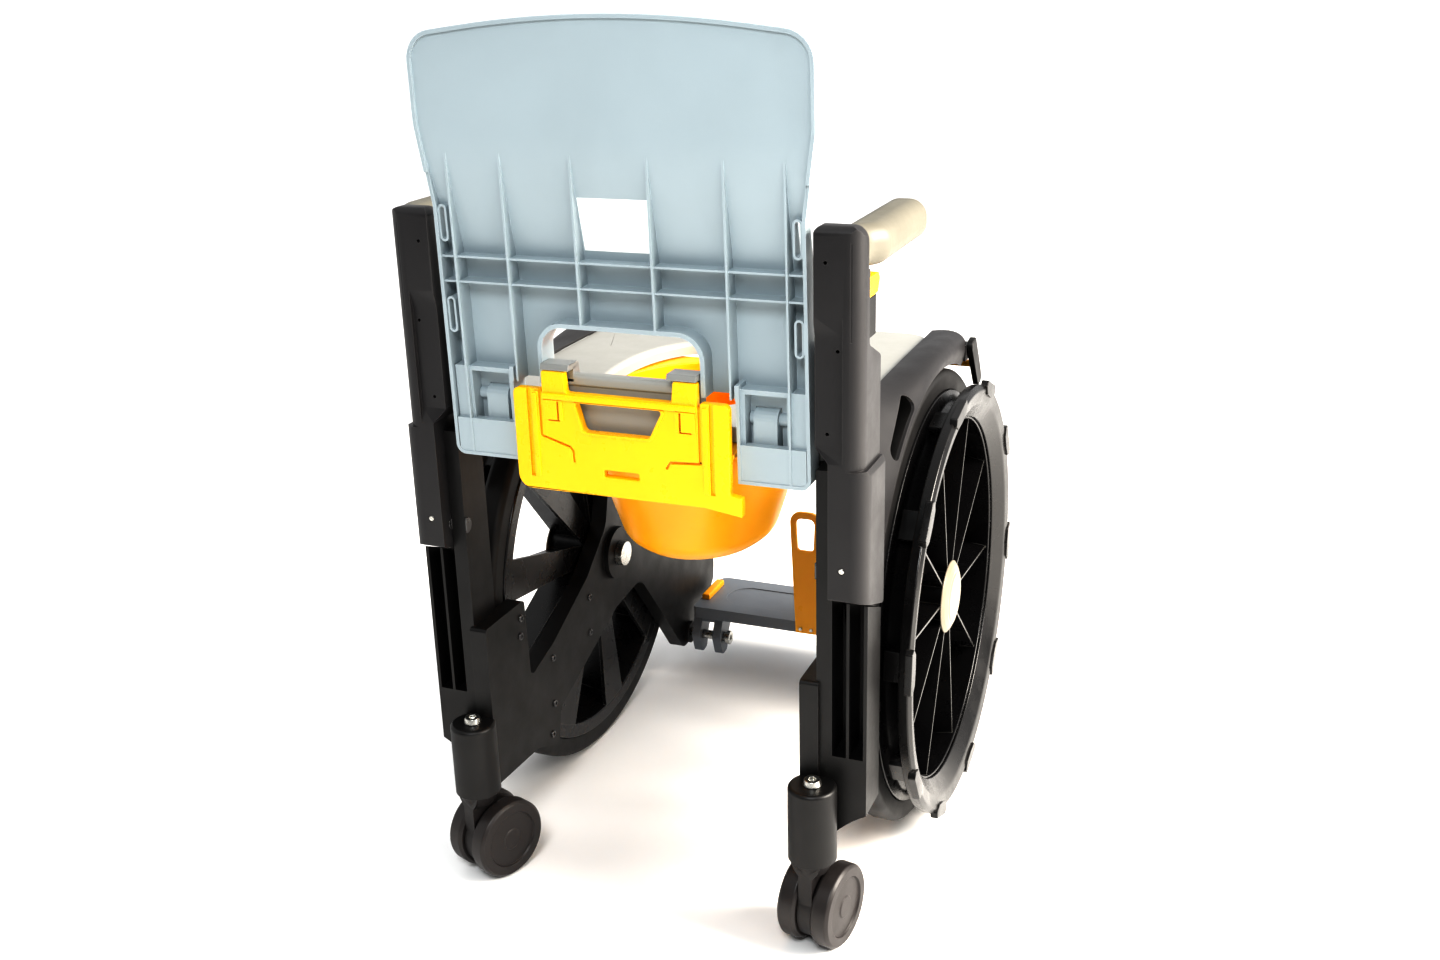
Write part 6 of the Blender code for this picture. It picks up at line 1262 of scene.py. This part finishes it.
def panel_point(along, across):
    """A place on the panel's skin: along from rear to front, across from seat to arch."""
    top = Vector((SEAT_HALF_WIDTH + 0.0005, PANEL_REAR_Y + (PANEL_FRONT_Y - PANEL_REAR_Y) * along, SEAT_TOP))
    angle = radians(ARCH_REAR_ANGLE + (ARCH_FRONT_ANGLE - ARCH_REAR_ANGLE) * along)
    low = Vector((TYRE_OUTER_X, AXLE_Y + ARCH_RADIUS * cos(angle), AXLE_Z + ARCH_RADIUS * sin(angle)))
    bulge = 4 * across * (1 - across) * (PANEL_REAR_BULGE + (PANEL_FRONT_BULGE - PANEL_REAR_BULGE) * along**2)
    return top.lerp(low, across) + Vector((0.8, 0.0, 0.6)) * bulge


def side_panel(side_name, side):
    """The panel's shell, its hand slot and the brake's boss."""
    columns, rows = SHELL_COLUMNS, SHELL_ROWS
    shape = bmesh.new()
    grid = []
    for column in range(columns + 1):
        points = [panel_point(column / columns, row / rows) for row in range(rows + 1)]
        grid.append([shape.verts.new((side * point.x, point.y, point.z)) for point in points])
    for line, after in zip(grid, grid[1:]):
        for row in range(rows):
            corners = (line[row], after[row], after[row + 1], line[row + 1])
            shape.faces.new(corners if side < 0 else corners[::-1])
    mesh = bpy.data.meshes.new("side_panel")
    shape.to_mesh(mesh)
    shape.free()
    panel = drawn("side_panel", mesh)
    wall = panel.modifiers.new("wall", "SOLIDIFY")
    wall.thickness = SHELL_WALL
    wall.offset = -1.0
    weld(settle(panel))
    low = ARCH_RADIUS + HAND_SLOT_RISE
    high, middle = low + HAND_SLOT_WIDTH, low + HAND_SLOT_WIDTH / 2
    half_turn = degrees(HAND_SLOT_HALF_LENGTH / middle)
    start, end = HAND_SLOT_ANGLE - half_turn, HAND_SLOT_ANGLE + half_turn
    axle = (AXLE_Y, AXLE_Z)
    near_end, far_end = arc(axle, middle, start, end, 1)
    outline = arc(axle, high, start, end, 12)
    outline += arc(far_end, HAND_SLOT_WIDTH / 2, end, end + 180, 12)[1:-1]
    outline += arc(axle, low, end, start, 12)
    outline += arc(near_end, HAND_SLOT_WIDTH / 2, start + 180, start + 360, 12)[1:-1]
    carve(panel, plate(outline, "X", [side * x for x in HAND_SLOT_CUT]))
    boss = block(
        (side * (TYRE_INNER_X + 0.006), side * (BRAKE_INNER_X - 0.0005)),
        (BRAKE_PIVOT_Y - 0.010, BRAKE_PIVOT_Y + 0.010), (BRAKE_PIVOT_Z - 0.011, BRAKE_PIVOT_Z + 0.007))
    unite(panel, boss)
    bore = cross_bar(
        side, BRAKE_INNER_X - STUB_LENGTH - 0.001, BRAKE_INNER_X + PAST, (BRAKE_PIVOT_Y, BRAKE_PIVOT_Z),
        STUB_RADIUS + FIT_GAP)
    carve(panel, bore)
    return fit(panel, "side_panel_moulding_" + side_name, CHARCOAL_PP, "chair",
               ["side_panel_" + side_name], edge=0.0004, clamp=True)


def brake_point(reach, turn):
    """A place in the lever's plane, at a reach and an angle about its pivot."""
    angle = radians(BRAKE_REST_ANGLE + turn)
    return (BRAKE_PIVOT_Y + reach * cos(angle), BRAKE_PIVOT_Z + reach * sin(angle))


def brake(side_name, side):
    """The brake's lever with its stub, and the shoe across the tyre."""
    inner = BRAKE_INNER_X
    corners = ((0.016, 170, 0.007), (0.017, 255, 0.009), (0.046, -14, 0.030), (0.066, -6, 0.005),
               (0.059, 9, 0.005), (0.030, 14, 0.012))
    outline = rounded([(*brake_point(reach, turn), round_off) for reach, turn, round_off in corners])
    lever = plate(outline, "X", (side * inner, side * (inner + LEVER_WIDTH)))
    stub = cross_bar(side, inner - STUB_LENGTH, inner + 0.002, (BRAKE_PIVOT_Y, BRAKE_PIVOT_Z), STUB_RADIUS)
    fit(unite(lever, stub), "brake_arm_" + side_name, BLACK_NYLON, "brake_" + side_name,
        ["brake_lever_" + side_name], edge=0.0009)
    shoe = cross_bar(side, TYRE_INNER_X + 0.004, inner - FIT_GAP, brake_point(SHOE_REACH, 0), SHOE_RADIUS)
    fit(shoe, "brake_pad_" + side_name, ORANGE_PP, "brake_" + side_name,
        ["brake_shoe_" + side_name])


for side_name, side in SIDES:
    side_panel(side_name, side)
    brake(side_name, side)


# Drive wheels.
# A one-piece nylon wheel with ten T-section spokes, each a tapered flange under an upright rib, a
# solid polyurethane tyre, and a dished push rim clipped on by its standoffs, with ten grip pads.

SPOKE_COUNT = 10
RIM_LIP_RADIUS, RIM_LIP_WIDTH, RIM_OUTER_X, RIM_WALL = 0.200, 0.008, 0.246, 0.0105
RIM_INNER_X, RIM_SEAT_RADIUS = 0.1935, 0.231
SPOKE_OUTER_X, HUB_RADIUS = 0.243, 0.034
PUSH_RIM_RADIUS, PUSH_RIM_CREST = 0.2395, 0.2625
FIRST_SPOKE = {"left": 12.0, "right": 5.0}
WHEEL_STEPS = 160
SPOKE_HUB_HALF_WIDTH, SPOKE_RIM_HALF_WIDTH, SPOKE_RIB_THICKNESS = 0.011, 0.024, 0.0026

# Solid polyurethane: dull black, with a bloom of floor dust in its fine moulding texture.
TYRE_PU = moulded_plastic(
    "solid_polyurethane_tyre", "#191818", "#3C3A37", 0.55, 0.0022, 0.00014, patch=0.05, ior=1.51)
# Nylon of the wheels, from a polished tool: deep black and glossy, with a painted highlight in pale grey
# along every rib's edges.
WHEEL_NYLON = moulded_plastic("black_wheel_nylon", "#121112", "#A8A59E", 0.27, 0.0014, 0.00004, ior=1.53)
# Push rim: the same black nylon, polished by the hands along its dish.
PUSH_RIM_NYLON = moulded_plastic(
    "polished_push_rim_nylon", "#121111", "#55524E", 0.26, 0.0013, 0.00004, ior=1.53)
# Acetal of the hub caps: warm mid grey, smooth.
CAP_ACETAL = moulded_plastic("warm_grey_acetal", "#7D7668", "#9D9587", 0.34, 0.0015, 0.00004, ior=1.48)


def spaced_round_tree():
    """A tree that sets copies of a shape at even turns about Z and joins them to what it is given."""
    tree = new_tree("spaced_round_axle", [
        ("Shape", "NodeSocketObject"), ("Count", "NodeSocketInt"), ("First Turn", "NodeSocketFloat"),
        ("Finish", "NodeSocketMaterial")])
    given = add_node(tree, "NodeGroupInput").outputs
    shape = add_node(tree, "GeometryNodeObjectInfo", links={"Object": given["Shape"]})
    centres = add_node(tree, "GeometryNodeMeshLine", values={"Offset": (0.0, 0.0, 0.0)},
                       links={"Count": given["Count"]})
    index = add_node(tree, "GeometryNodeInputIndex")
    share = add_node(tree, "ShaderNodeMath", {"operation": "DIVIDE"},
                     links={0: index.outputs["Index"], 1: given["Count"]})
    turn = add_node(tree, "ShaderNodeMath", {"operation": "MULTIPLY_ADD"}, {1: 2 * pi},
                    {0: share.outputs["Value"], 2: given["First Turn"]})
    euler = add_node(tree, "ShaderNodeCombineXYZ", links={"Z": turn.outputs["Value"]})
    rotation = add_node(tree, "FunctionNodeEulerToRotation", links={"Euler": euler.outputs["Vector"]})
    copies = add_node(tree, "GeometryNodeInstanceOnPoints", links={
        "Points": centres.outputs["Mesh"], "Instance": shape.outputs["Geometry"],
        "Rotation": rotation.outputs["Rotation"]})
    real = add_node(tree, "GeometryNodeRealizeInstances", links={"Geometry": copies.outputs["Instances"]})
    joined = add_node(tree, "GeometryNodeJoinGeometry", links={"Geometry": real.outputs["Geometry"]})
    tree.links.new(given["Geometry"], joined.inputs["Geometry"])
    finished = add_node(tree, "GeometryNodeSetMaterial", links={
        "Geometry": joined.outputs["Geometry"], "Material": given["Finish"]})
    add_node(tree, "NodeGroupOutput", links={"Geometry": finished.outputs["Geometry"]})
    return tree


SPACED_ROUND = spaced_round_tree()


def spaced_round(base, shape, turn, material):
    """Join evenly spaced copies of a shape to a base that is turned about the same axis."""
    grow(base, SPACED_ROUND, {
        "Shape": shape, "Count": SPOKE_COUNT, "First Turn": radians(turn), "Finish": material})
    bpy.data.objects.remove(shape, do_unlink=True)
    return base


def outward(side):
    """Turn a shape made about Z, its height measured from the middle plane, onto the axle."""
    turn = Matrix.Rotation(pi / 2, 4, "Y")
    if side < 0:
        turn = Matrix.Rotation(pi, 4, "Z") @ turn
    return Matrix.Translation((0.0, AXLE_Y, AXLE_Z)) @ turn


def spoke():
    """One spoke about Z: a tapered flange inboard, with an upright rib on its middle."""
    hub_reach, rim_reach = HUB_RADIUS - 0.006, RIM_SEAT_RADIUS - 1.2 * RIM_WALL
    hub_half, rim_half, rib_half = SPOKE_HUB_HALF_WIDTH, SPOKE_RIM_HALF_WIDTH, SPOKE_RIB_THICKNESS / 2
    flange = plate(
        [(hub_reach, -hub_half), (rim_reach, -rim_half), (rim_reach, rim_half), (hub_reach, hub_half)], "Z",
        (RIM_INNER_X + 0.0004, RIM_INNER_X + 0.005))
    rib = plate(
        [(hub_reach, RIM_INNER_X + 0.002), (RIM_LIP_RADIUS + 0.010, RIM_INNER_X + 0.002),
         (RIM_LIP_RADIUS + 0.002, SPOKE_OUTER_X - 0.001), (hub_reach, SPOKE_OUTER_X)], "Y",
        (-rib_half, rib_half))
    return eased(unite(flange, rib), 0.0006)


def drive_wheel(side_name, side):
    """Tyre, spoked rim, push rim and hub cap of one drive wheel."""
    turn = side * (90.0 + FIRST_SPOKE[side_name])
    to_axle = outward(side)
    body = "wheel_" + side_name

    tyre_seat = RIM_SEAT_RADIUS + FIT_GAP
    tyre_profile = rounded([
        (WHEEL_RADIUS, TYRE_OUTER_X, 0.0075), (WHEEL_RADIUS, TYRE_INNER_X, 0.0075),
        (tyre_seat, TYRE_INNER_X, 0.001), (tyre_seat, TYRE_OUTER_X, 0.001)], 8)
    tyre = turned("tyre", tyre_profile, WHEEL_STEPS, ring=True)
    tyre.data.transform(to_axle)
    fit(tyre, "tyre_band_" + side_name, TYRE_PU, body, ["tyre_" + side_name],
        edge=0.0, smooth=50.0)

    lip_end = RIM_LIP_RADIUS + RIM_LIP_WIDTH
    rim_profile = rounded([
        (RIM_SEAT_RADIUS, TYRE_OUTER_X + 0.002, 0.001),
        (RIM_SEAT_RADIUS, RIM_INNER_X, 0.002),
        (RIM_SEAT_RADIUS - 1.6 * RIM_WALL, RIM_INNER_X, 0.003),
        (RIM_LIP_RADIUS + 0.004, TYRE_OUTER_X + 0.004, 0.010),
        (RIM_LIP_RADIUS, RIM_OUTER_X, 0.0015),
        (lip_end, RIM_OUTER_X, 0.0015),
        (lip_end + RIM_WALL, TYRE_OUTER_X + 0.006, 0.006)], 5)
    rim = turned("rim", rim_profile, WHEEL_STEPS, ring=True)
    hub_bore = AXLE_RADIUS + BORE_PLAY
    hub_profile = rounded([
        (HUB_RADIUS, SPOKE_OUTER_X, 0.001), (HUB_RADIUS, RIM_INNER_X, 0.001),
        (hub_bore, RIM_INNER_X, 0.001), (hub_bore, SPOKE_OUTER_X, 0.0005)], 3)
    hub = turned("hub", hub_profile, 72, ring=True)
    spaced_round(rim, spoke(), turn, WHEEL_NYLON)
    joined = bmesh.new()
    joined.from_mesh(rim.data)
    joined.from_mesh(hub.data)
    joined.to_mesh(rim.data)
    joined.free()
    bpy.data.objects.remove(hub, do_unlink=True)
    rim.data.transform(to_axle)
    fit(rim, "spoked_wheel_" + side_name, WHEEL_NYLON, body, ["drive_wheel_" + side_name],
        edge=0.0)

    back = RIM_OUTER_X + FIT_GAP
    crest, outer = PUSH_RIM_CREST, PUSH_RIM_RADIUS
    dish_profile = rounded([
        (outer, crest - 0.003, 0.002),
        (outer - 0.001, crest - 0.0135, 0.0015),
        (outer - 0.004, crest - 0.0135, 0.0015),
        (outer - 0.006, crest - 0.0085, 0.003),
        (outer - 0.019, crest - 0.0095, 0.004),
        (lip_end + 0.001, back, 0.001),
        (RIM_LIP_RADIUS - 0.0005, back, 0.0015),
        (outer - 0.0195, crest - 0.002, 0.010),
        (outer - 0.006, crest, 0.004)], 6)
    dish = turned("dish", dish_profile, WHEEL_STEPS, ring=True)
    pad_outline = rounded([
        (outer + 0.004, -0.0210, 0.0025), (outer + 0.004, 0.0210, 0.0025), (outer - 0.0030, 0.0250, 0.002),
        (outer - 0.0110, 0.0170, 0.002), (outer - 0.0125, 0.0, 0.006), (outer - 0.0110, -0.0170, 0.002),
        (outer - 0.0030, -0.0250, 0.002)], 4)
    pad = eased(plate(pad_outline, "Z", (crest - 0.0065, crest + 0.0015)), 0.0008)
    spaced_round(dish, pad, turn, PUSH_RIM_NYLON)
    standoff = block(
        (outer - 0.0165, outer - 0.011), (-0.0158, 0.0158), (TYRE_OUTER_X + 0.0075, crest - 0.006))
    spaced_round(dish, eased(standoff, 0.0008), turn, PUSH_RIM_NYLON)
    dish.data.transform(to_axle)
    fit(dish, "push_rim_dish_" + side_name, PUSH_RIM_NYLON, body,
        ["push_rim_" + side_name], edge=0.0)

    base = SPOKE_OUTER_X + FIT_GAP
    cap_profile = rounded([
        (0.0, base + 0.0085, 0.0), (0.0265, base + 0.0076, 0.006), (0.0285, base + 0.0062, 0.001),
        (0.0305, base + 0.0064, 0.001), (0.0365, base + 0.0040, 0.004), (0.041, base + 0.0010, 0.001),
        (0.041, base, 0.0), (0.0, base, 0.0)], 4)
    cap = turned("hub_cap", cap_profile, 96)
    cap.data.transform(to_axle)
    fit(cap, "hub_disc_" + side_name, CAP_ACETAL, body, ["hub_cap_" + side_name], edge=0.0)


for side_name, side in SIDES:
    drive_wheel(side_name, side)


# Casters.
# Twin-wheel furniture casters of warm dark nylon: two cup-shaped wheels on a pin through a round
# shield, whose neck carries the stem that turns in the frame's socket. Each lies as it last rolled.

CASTER_RADIUS, CASTER_TRAIL, CASTER_WHEEL_WIDTH, CASTER_HALF_GAP = 0.043, 0.018, 0.0203, 0.0082
CASTER_SHIELD_RADIUS = 0.037
CASTER_TURNS = {"left": -20.0, "right": -10.0}
NECK_HALF_WIDTH, STEM_RADIUS, PIN_RADIUS, WHEEL_BORE = 0.0074, 0.008, 0.004, 0.0043

# Nylon of the caster wheels: warm dark grey, paler round the treads' edges, partly scuffed and partly a
# painted highlight.
CASTER_NYLON = moulded_plastic(
    "scuffed_caster_nylon", "#302C2B", "#5A534F", 0.42, 0.0012, 0.00008, patch=0.03)

# Glass-filled nylon of the shields: a dry, warm near-black.
CASTER_BODY_NYLON = moulded_plastic("caster_body_nylon", "#211E1E", "#4A4542", 0.46, 0.0011, 0.00008)


def caster(side_name, side):
    """The shield with its neck and stem, and the two wheels beside it."""
    place = (Matrix.Translation((side * SOCKET_X, SOCKET_Y, 0.0))
             @ Matrix.Rotation(radians(CASTER_TURNS[side_name]), 4, "Z"))
    crown_z = SOCKET_BOTTOM - BORE_PLAY
    axle_y, axle_z = -CASTER_TRAIL, CASTER_RADIUS
    half = CASTER_HALF_GAP - BORE_PLAY
    shield = bar((-half, axle_y, axle_z), (half, axle_y, axle_z), CASTER_SHIELD_RADIUS, segments=72)
    waist, waist_z = NECK_HALF_WIDTH, crown_z - 0.0165
    neck_outline = rounded([
        (-0.0165, crown_z, 0.0), (0.0165, crown_z, 0.0), (0.0130, crown_z - 0.009, 0.006),
        (waist, waist_z, 0.0), (waist, axle_z, 0.0), (-waist, axle_z, 0.0), (-waist, waist_z, 0.0),
        (-0.0130, crown_z - 0.009, 0.006)])
    neck = plate(neck_outline, "Y", (-0.016, 0.016))
    crown = bar((0, 0, crown_z - 0.014), (0, 0, crown_z), 0.0150, 0.0225, segments=48)
    stem = bar((0, 0, crown_z - 0.004), (0, 0, crown_z + STEM_LENGTH), STEM_RADIUS)
    pin_end = CASTER_HALF_GAP + CASTER_WHEEL_WIDTH * 0.7
    pin = bar((-pin_end, axle_y, axle_z), (pin_end, axle_y, axle_z), PIN_RADIUS, segments=24)
    unite(shield, neck, crown, stem, pin)
    shield.data.transform(place)
    fit(shield, "caster_shield_" + side_name, CASTER_BODY_NYLON, "caster_" + side_name,
        ["caster_fork_" + side_name], clamp=True)

    near, face = CASTER_HALF_GAP, CASTER_HALF_GAP + CASTER_WHEEL_WIDTH
    bore_end = near + 0.8 * CASTER_WHEEL_WIDTH
    for label, direction in (("inner", -side), ("outer", side)):
        profile = rounded([
            (0.0, face - 0.0006, 0.0), (0.0105, face - 0.0006, 0.0006), (0.0120, face - 0.0016, 0.0006),
            (0.0300, face - 0.0022, 0.0010), (0.0312, face, 0.0008), (CASTER_RADIUS - 0.003, face, 0.0015),
            (CASTER_RADIUS, face - 0.003, 0.003), (CASTER_RADIUS, near + 0.003, 0.003),
            (CASTER_RADIUS - 0.003, near, 0.0015), (WHEEL_BORE, near, 0.0), (WHEEL_BORE, bore_end, 0.0),
            (0.0, bore_end, 0.0)], 5)
        wheel = turned("caster_wheel", profile, 96)
        lie = Matrix.Rotation(direction * pi / 2, 4, "Y")
        wheel.data.transform(place @ Matrix.Translation((0.0, axle_y, axle_z)) @ lie)
        fit(wheel, "caster_roller_" + side_name + "_" + label, CASTER_NYLON,
            "caster_roll_" + side_name + "_" + label,
            ["caster_wheel_" + side_name + "_" + label], edge=0.0)


for side_name, side in SIDES:
    caster(side_name, side)


# Footplate.
# A grey tray-shaped moulding on four jaws that grip the frames' pins, with an orange lever to flip
# it by and two small orange catch blocks, one at each end of its oval tread.

PLATE_HALF_WIDTH, PLATE_REAR_Y, PLATE_LENGTH = 0.160, -0.520, 0.108
PLATE_TOP, PLATE_THICKNESS, PLATE_SKIN, PLATE_RIM = 0.093, 0.016, 0.004, 0.006
BAY_COUNT, BAY_INSET, BAY_RIB = 4, 0.052, 0.004
TREAD_WIDTH, TREAD_DEPTH, TREAD_INSET = 0.060, 0.0012, 0.062
JAW_THICKNESS, JAW_SPACING, JAW_BASE, JAW_OVERLAP = 0.012, 0.030, 0.006, 0.012
JAW_FRONT_SETBACK, JAW_REAR_SETBACK, JAW_BORE = 0.046, 0.004, 0.0065
LEVER_X, LEVER_TOP, LEVER_THICKNESS, LEVER_LOOP_BOTTOM = -0.005, 0.252, 0.005, 0.198
LEVER_LOW_HALF_WIDTH, LEVER_HIGH_HALF_WIDTH, LEVER_LOOP_FRAME = 0.0145, 0.0215, 0.0085
CATCH_BLOCK_LENGTH, CATCH_BLOCK_WIDTH, CATCH_BLOCK_HEIGHT, CATCH_BLOCK_INSET = 0.055, 0.011, 0.008, 0.003
LEVER_RIVETS = ((0.0025, 0.0850), (-0.0125, 0.0850))
RIVET_FOOT, RIVET_TOP, RIVET_HEIGHT = 0.0030, 0.0020, 0.0015

# Polypropylene of the footplate: mid grey, its tread scuffed by shoes.
FOOT_GREY_PP = moulded_plastic(
    "mid_grey_polypropylene", "#7C8188", "#A4A8AD", 0.45, 0.0014, 0.00009, patch=0.06)


def tray():
    """The tray with its sunk tread and the open bays beneath."""
    half, rear, front = PLATE_HALF_WIDTH, PLATE_REAR_Y, PLATE_REAR_Y - PLATE_LENGTH
    underside = PLATE_TOP - PLATE_THICKNESS
    outline = rounded([
        (half, rear, 0.005), (half, front, 0.014), (-half, front, 0.014), (-half, rear, 0.005)], 12)
    slab = plate(outline, "Z", (underside, PLATE_TOP))
    soften(slab, 0.003, 4, lambda first, second: min(first.z, second.z) > PLATE_TOP - 0.0001)
    middle = (rear + front) / 2
    tread = stadium((0.0, 0.0), 2 * half - TREAD_INSET, TREAD_WIDTH, 24)
    tread = [(along, middle + across) for across, along in tread]
    carve(slab, plate(tread, "Z", (PLATE_TOP - TREAD_DEPTH, PLATE_TOP + PAST)))
    bays = []
    bay_width = (2 * half - 2 * BAY_INSET - (BAY_COUNT - 1) * BAY_RIB) / BAY_COUNT
    for index in range(BAY_COUNT):
        start = -half + BAY_INSET + index * (bay_width + BAY_RIB)
        bays.append(block(
            (start, start + bay_width), (front + PLATE_RIM, rear - PLATE_RIM),
            (underside - PAST, PLATE_TOP - PLATE_SKIN)))
    carve(slab, *bays)
    fit(slab, "footplate_moulding", FOOT_GREY_PP, "footplate", ["footplate"],
        edge=0.0004, clamp=True)


def flip_lever():
    """The lever with its finger loop, riveted to the tray's rear edge."""
    low, high = PLATE_TOP - PLATE_THICKNESS + 0.002, LEVER_TOP
    narrow, wide = LEVER_LOW_HALF_WIDTH, LEVER_HIGH_HALF_WIDTH
    lever_outline = rounded([
        (LEVER_X + narrow, low, 0.002), (LEVER_X + wide, high, 0.015), (LEVER_X - wide, high, 0.015),
        (LEVER_X - narrow, low, 0.002)], 12)
    loop_half, loop_top = LEVER_HIGH_HALF_WIDTH - LEVER_LOOP_FRAME, LEVER_TOP - 0.009
    loop = rounded([
        (LEVER_X + loop_half - 0.002, LEVER_LOOP_BOTTOM, 0.005), (LEVER_X + loop_half, loop_top, 0.008),
        (LEVER_X - loop_half, loop_top, 0.008), (LEVER_X - loop_half + 0.002, LEVER_LOOP_BOTTOM, 0.005)], 12)
    near = PLATE_REAR_Y + FIT_GAP
    lever = plate(lever_outline, "Y", (near, near + LEVER_THICKNESS), holes=[loop])
    fit(lever, "footplate_flip_lever", ORANGE_PP, "footplate", ["footplate_lever"],
        edge=0.0009)
    rivet = bar((0, 0, -0.0005), (0, 0, RIVET_HEIGHT), RIVET_FOOT, RIVET_TOP, segments=28)
    fasteners("lever_rivets", rivet, [(x, near + LEVER_THICKNESS, z) for x, z in LEVER_RIVETS],
              (-pi / 2, 0.0, 0.0), ZINC_STEEL, "footplate")


def jaws_and_catch(side_name, side):
    """The pair of jaws on one pin, and the catch block above them."""
    half, rear, base_top = PLATE_HALF_WIDTH, PLATE_REAR_Y, PLATE_TOP - PLATE_THICKNESS - FIT_GAP
    inner_x = half - 2 * JAW_THICKNESS - JAW_SPACING + JAW_OVERLAP
    jaw_front, jaw_rear = rear - JAW_FRONT_SETBACK, rear - JAW_REAR_SETBACK
    jaws = block((side * inner_x, side * half), (jaw_front, jaw_rear), (base_top - JAW_BASE, base_top))
    jaw_outline = rounded([
        (jaw_front, base_top - 0.001, 0.0), (jaw_rear, base_top - 0.001, 0.0),
        (FOOT_PIN_Y + 0.016, FOOT_PIN_Z + 0.004, 0.008), (FOOT_PIN_Y + 0.006, FOOT_PIN_Z - 0.025, 0.006),
        (FOOT_PIN_Y - 0.010, FOOT_PIN_Z - 0.023, 0.006), (FOOT_PIN_Y - 0.018, FOOT_PIN_Z + 0.002, 0.010)], 8)
    unite(jaws, *[plate(jaw_outline, "X", (side * start, side * (start + JAW_THICKNESS)))
                  for start in (half - JAW_THICKNESS, inner_x)])
    carve(jaws, cross_bar(side, inner_x - 2 * PAST, half + 2 * PAST, (FOOT_PIN_Y, FOOT_PIN_Z), JAW_BORE))
    fit(jaws, "footplate_grip_jaws_" + side_name, FOOT_GREY_PP, "footplate",
        ["footplate_jaws_" + side_name])
    middle, reach = rear - PLATE_LENGTH / 2, CATCH_BLOCK_LENGTH / 2
    end_x, foot = half - CATCH_BLOCK_INSET, PLATE_TOP + FIT_GAP
    catch = block(
        (side * (end_x - CATCH_BLOCK_WIDTH), side * end_x), (middle - reach, middle + reach),
        (foot, foot + CATCH_BLOCK_HEIGHT))
    soften(catch, 0.002, 4, lambda first, second: min(first.z, second.z) > PLATE_TOP + CATCH_BLOCK_HEIGHT)
    fit(catch, "footplate_catch_" + side_name, ORANGE_PP, "footplate",
        ["footplate_block_" + side_name], edge=0.0008)


tray()
flip_lever()
for side_name, side in SIDES:
    jaws_and_catch(side_name, side)


# Floor, light and camera.
# The chair stands on a white sweep in a bright studio, seen from its rear right, a little above.

FLOOR_REACH = 6
EXPOSURE, GAMMA, SKY_STRENGTH = 0.65, 0.64, 0.74
SCREEN_LEFT, SCREEN_RIGHT, SCREEN_LOW, SCREEN_HIGH, SCREEN_Y = -3.2, 2.4, 0.25, 3.0, (2.9, 2.95)

# Matt white paper with the faintest mottle.
SWEEP_PAPER = mottled_finish("white_paper_sweep", "#FBFAF8", "#FEFEFE", 1 / 3, 2.0)
SWEEP_PAPER.node_tree.nodes["Principled BSDF"].inputs["Roughness"].default_value = 0.85
# Black studio felt: no sheen, a loose nap drawn coarse enough to show.
FELT = mottled_finish("black_felt", "#0C0C0C", "#1A1A1A", 0.025, 3.0)
FELT.node_tree.nodes["Principled BSDF"].inputs["Roughness"].default_value = 1.0
FELT.node_tree.nodes["Principled BSDF"].inputs["Specular IOR Level"].default_value = 0.1


def lamp(name, energy, colour, size, place, target):
    """A soft studio lamp aimed at a point."""
    light = bpy.data.lights.new(name, "AREA")
    light.energy = energy
    light.color = colour
    light.shape = "RECTANGLE"
    light.size, light.size_y = size
    lamp_object = drawn(name, light)
    aim = (Vector(target) - Vector(place)).to_track_quat("-Z", "Y")
    lamp_object.matrix_world = Matrix.Translation(place) @ aim.to_matrix().to_4x4()
    return lamp_object


reach = FLOOR_REACH
floor = plate([(-reach, -reach), (reach, -reach), (reach, reach), (-reach, reach)], "Z", (-0.05, -0.0002))
floor.name = "sweep"
floor.data.materials.append(SWEEP_PAPER)

scene = bpy.context.scene
scene.view_settings.view_transform = "Standard"
scene.view_settings.exposure = EXPOSURE
scene.view_settings.gamma = GAMMA
world = bpy.data.worlds.new("studio")
world.use_nodes = True
world.node_tree.nodes["Background"].inputs["Color"].default_value = (1.0, 1.0, 1.0, 1.0)
world.node_tree.nodes["Background"].inputs["Strength"].default_value = SKY_STRENGTH
scene.world = world
lamp("key_window", 150.0, (1.0, 0.94, 0.86), (1.4, 1.4), (-2.3, -0.1, 1.5), (0.0, 0.0, 0.4))
lamp("rear_fill", 34.0, (0.97, 0.99, 1.0), (0.8, 0.8), (-0.5, 2.2, 2.3), (0.0, 0.1, 0.6))


# A black felt screen behind the camera keeps the black mouldings deep. The camera doesn't see it.
screen = plate([
    (SCREEN_LEFT, SCREEN_LOW), (SCREEN_RIGHT, SCREEN_LOW), (SCREEN_RIGHT, SCREEN_HIGH),
    (SCREEN_LEFT, SCREEN_HIGH)], "Y", SCREEN_Y)
screen.name = "felt_screen"
screen.data.materials.append(FELT)
screen.visible_camera = False

CAMERA_TURN, CAMERA_DIP, CAMERA_ROLL = 22.15, 19.66, -1.47
CAMERA_PLACE, FOCAL_LENGTH, SENSOR_WIDTH = (-0.5873, 1.2055, 0.948), 37.4, 36.0
turn, dip, roll = radians(CAMERA_TURN), radians(CAMERA_DIP), radians(CAMERA_ROLL)
ahead = Vector((sin(turn) * cos(dip), -cos(turn) * cos(dip), -sin(dip)))
level = ahead.cross(Vector((0, 0, 1))).normalized()
upward = level.cross(ahead)
across = cos(roll) * level + sin(roll) * upward
upright_axis = cos(roll) * upward - sin(roll) * level
lens = bpy.data.cameras.new("camera")
lens.sensor_width = SENSOR_WIDTH
lens.lens = FOCAL_LENGTH
camera = drawn("camera", lens)
axes = Matrix((across, upright_axis, -ahead)).transposed().to_4x4()
camera.matrix_world = Matrix.Translation(TO_FRAME @ Vector(CAMERA_PLACE)) @ axes
scene.camera = camera
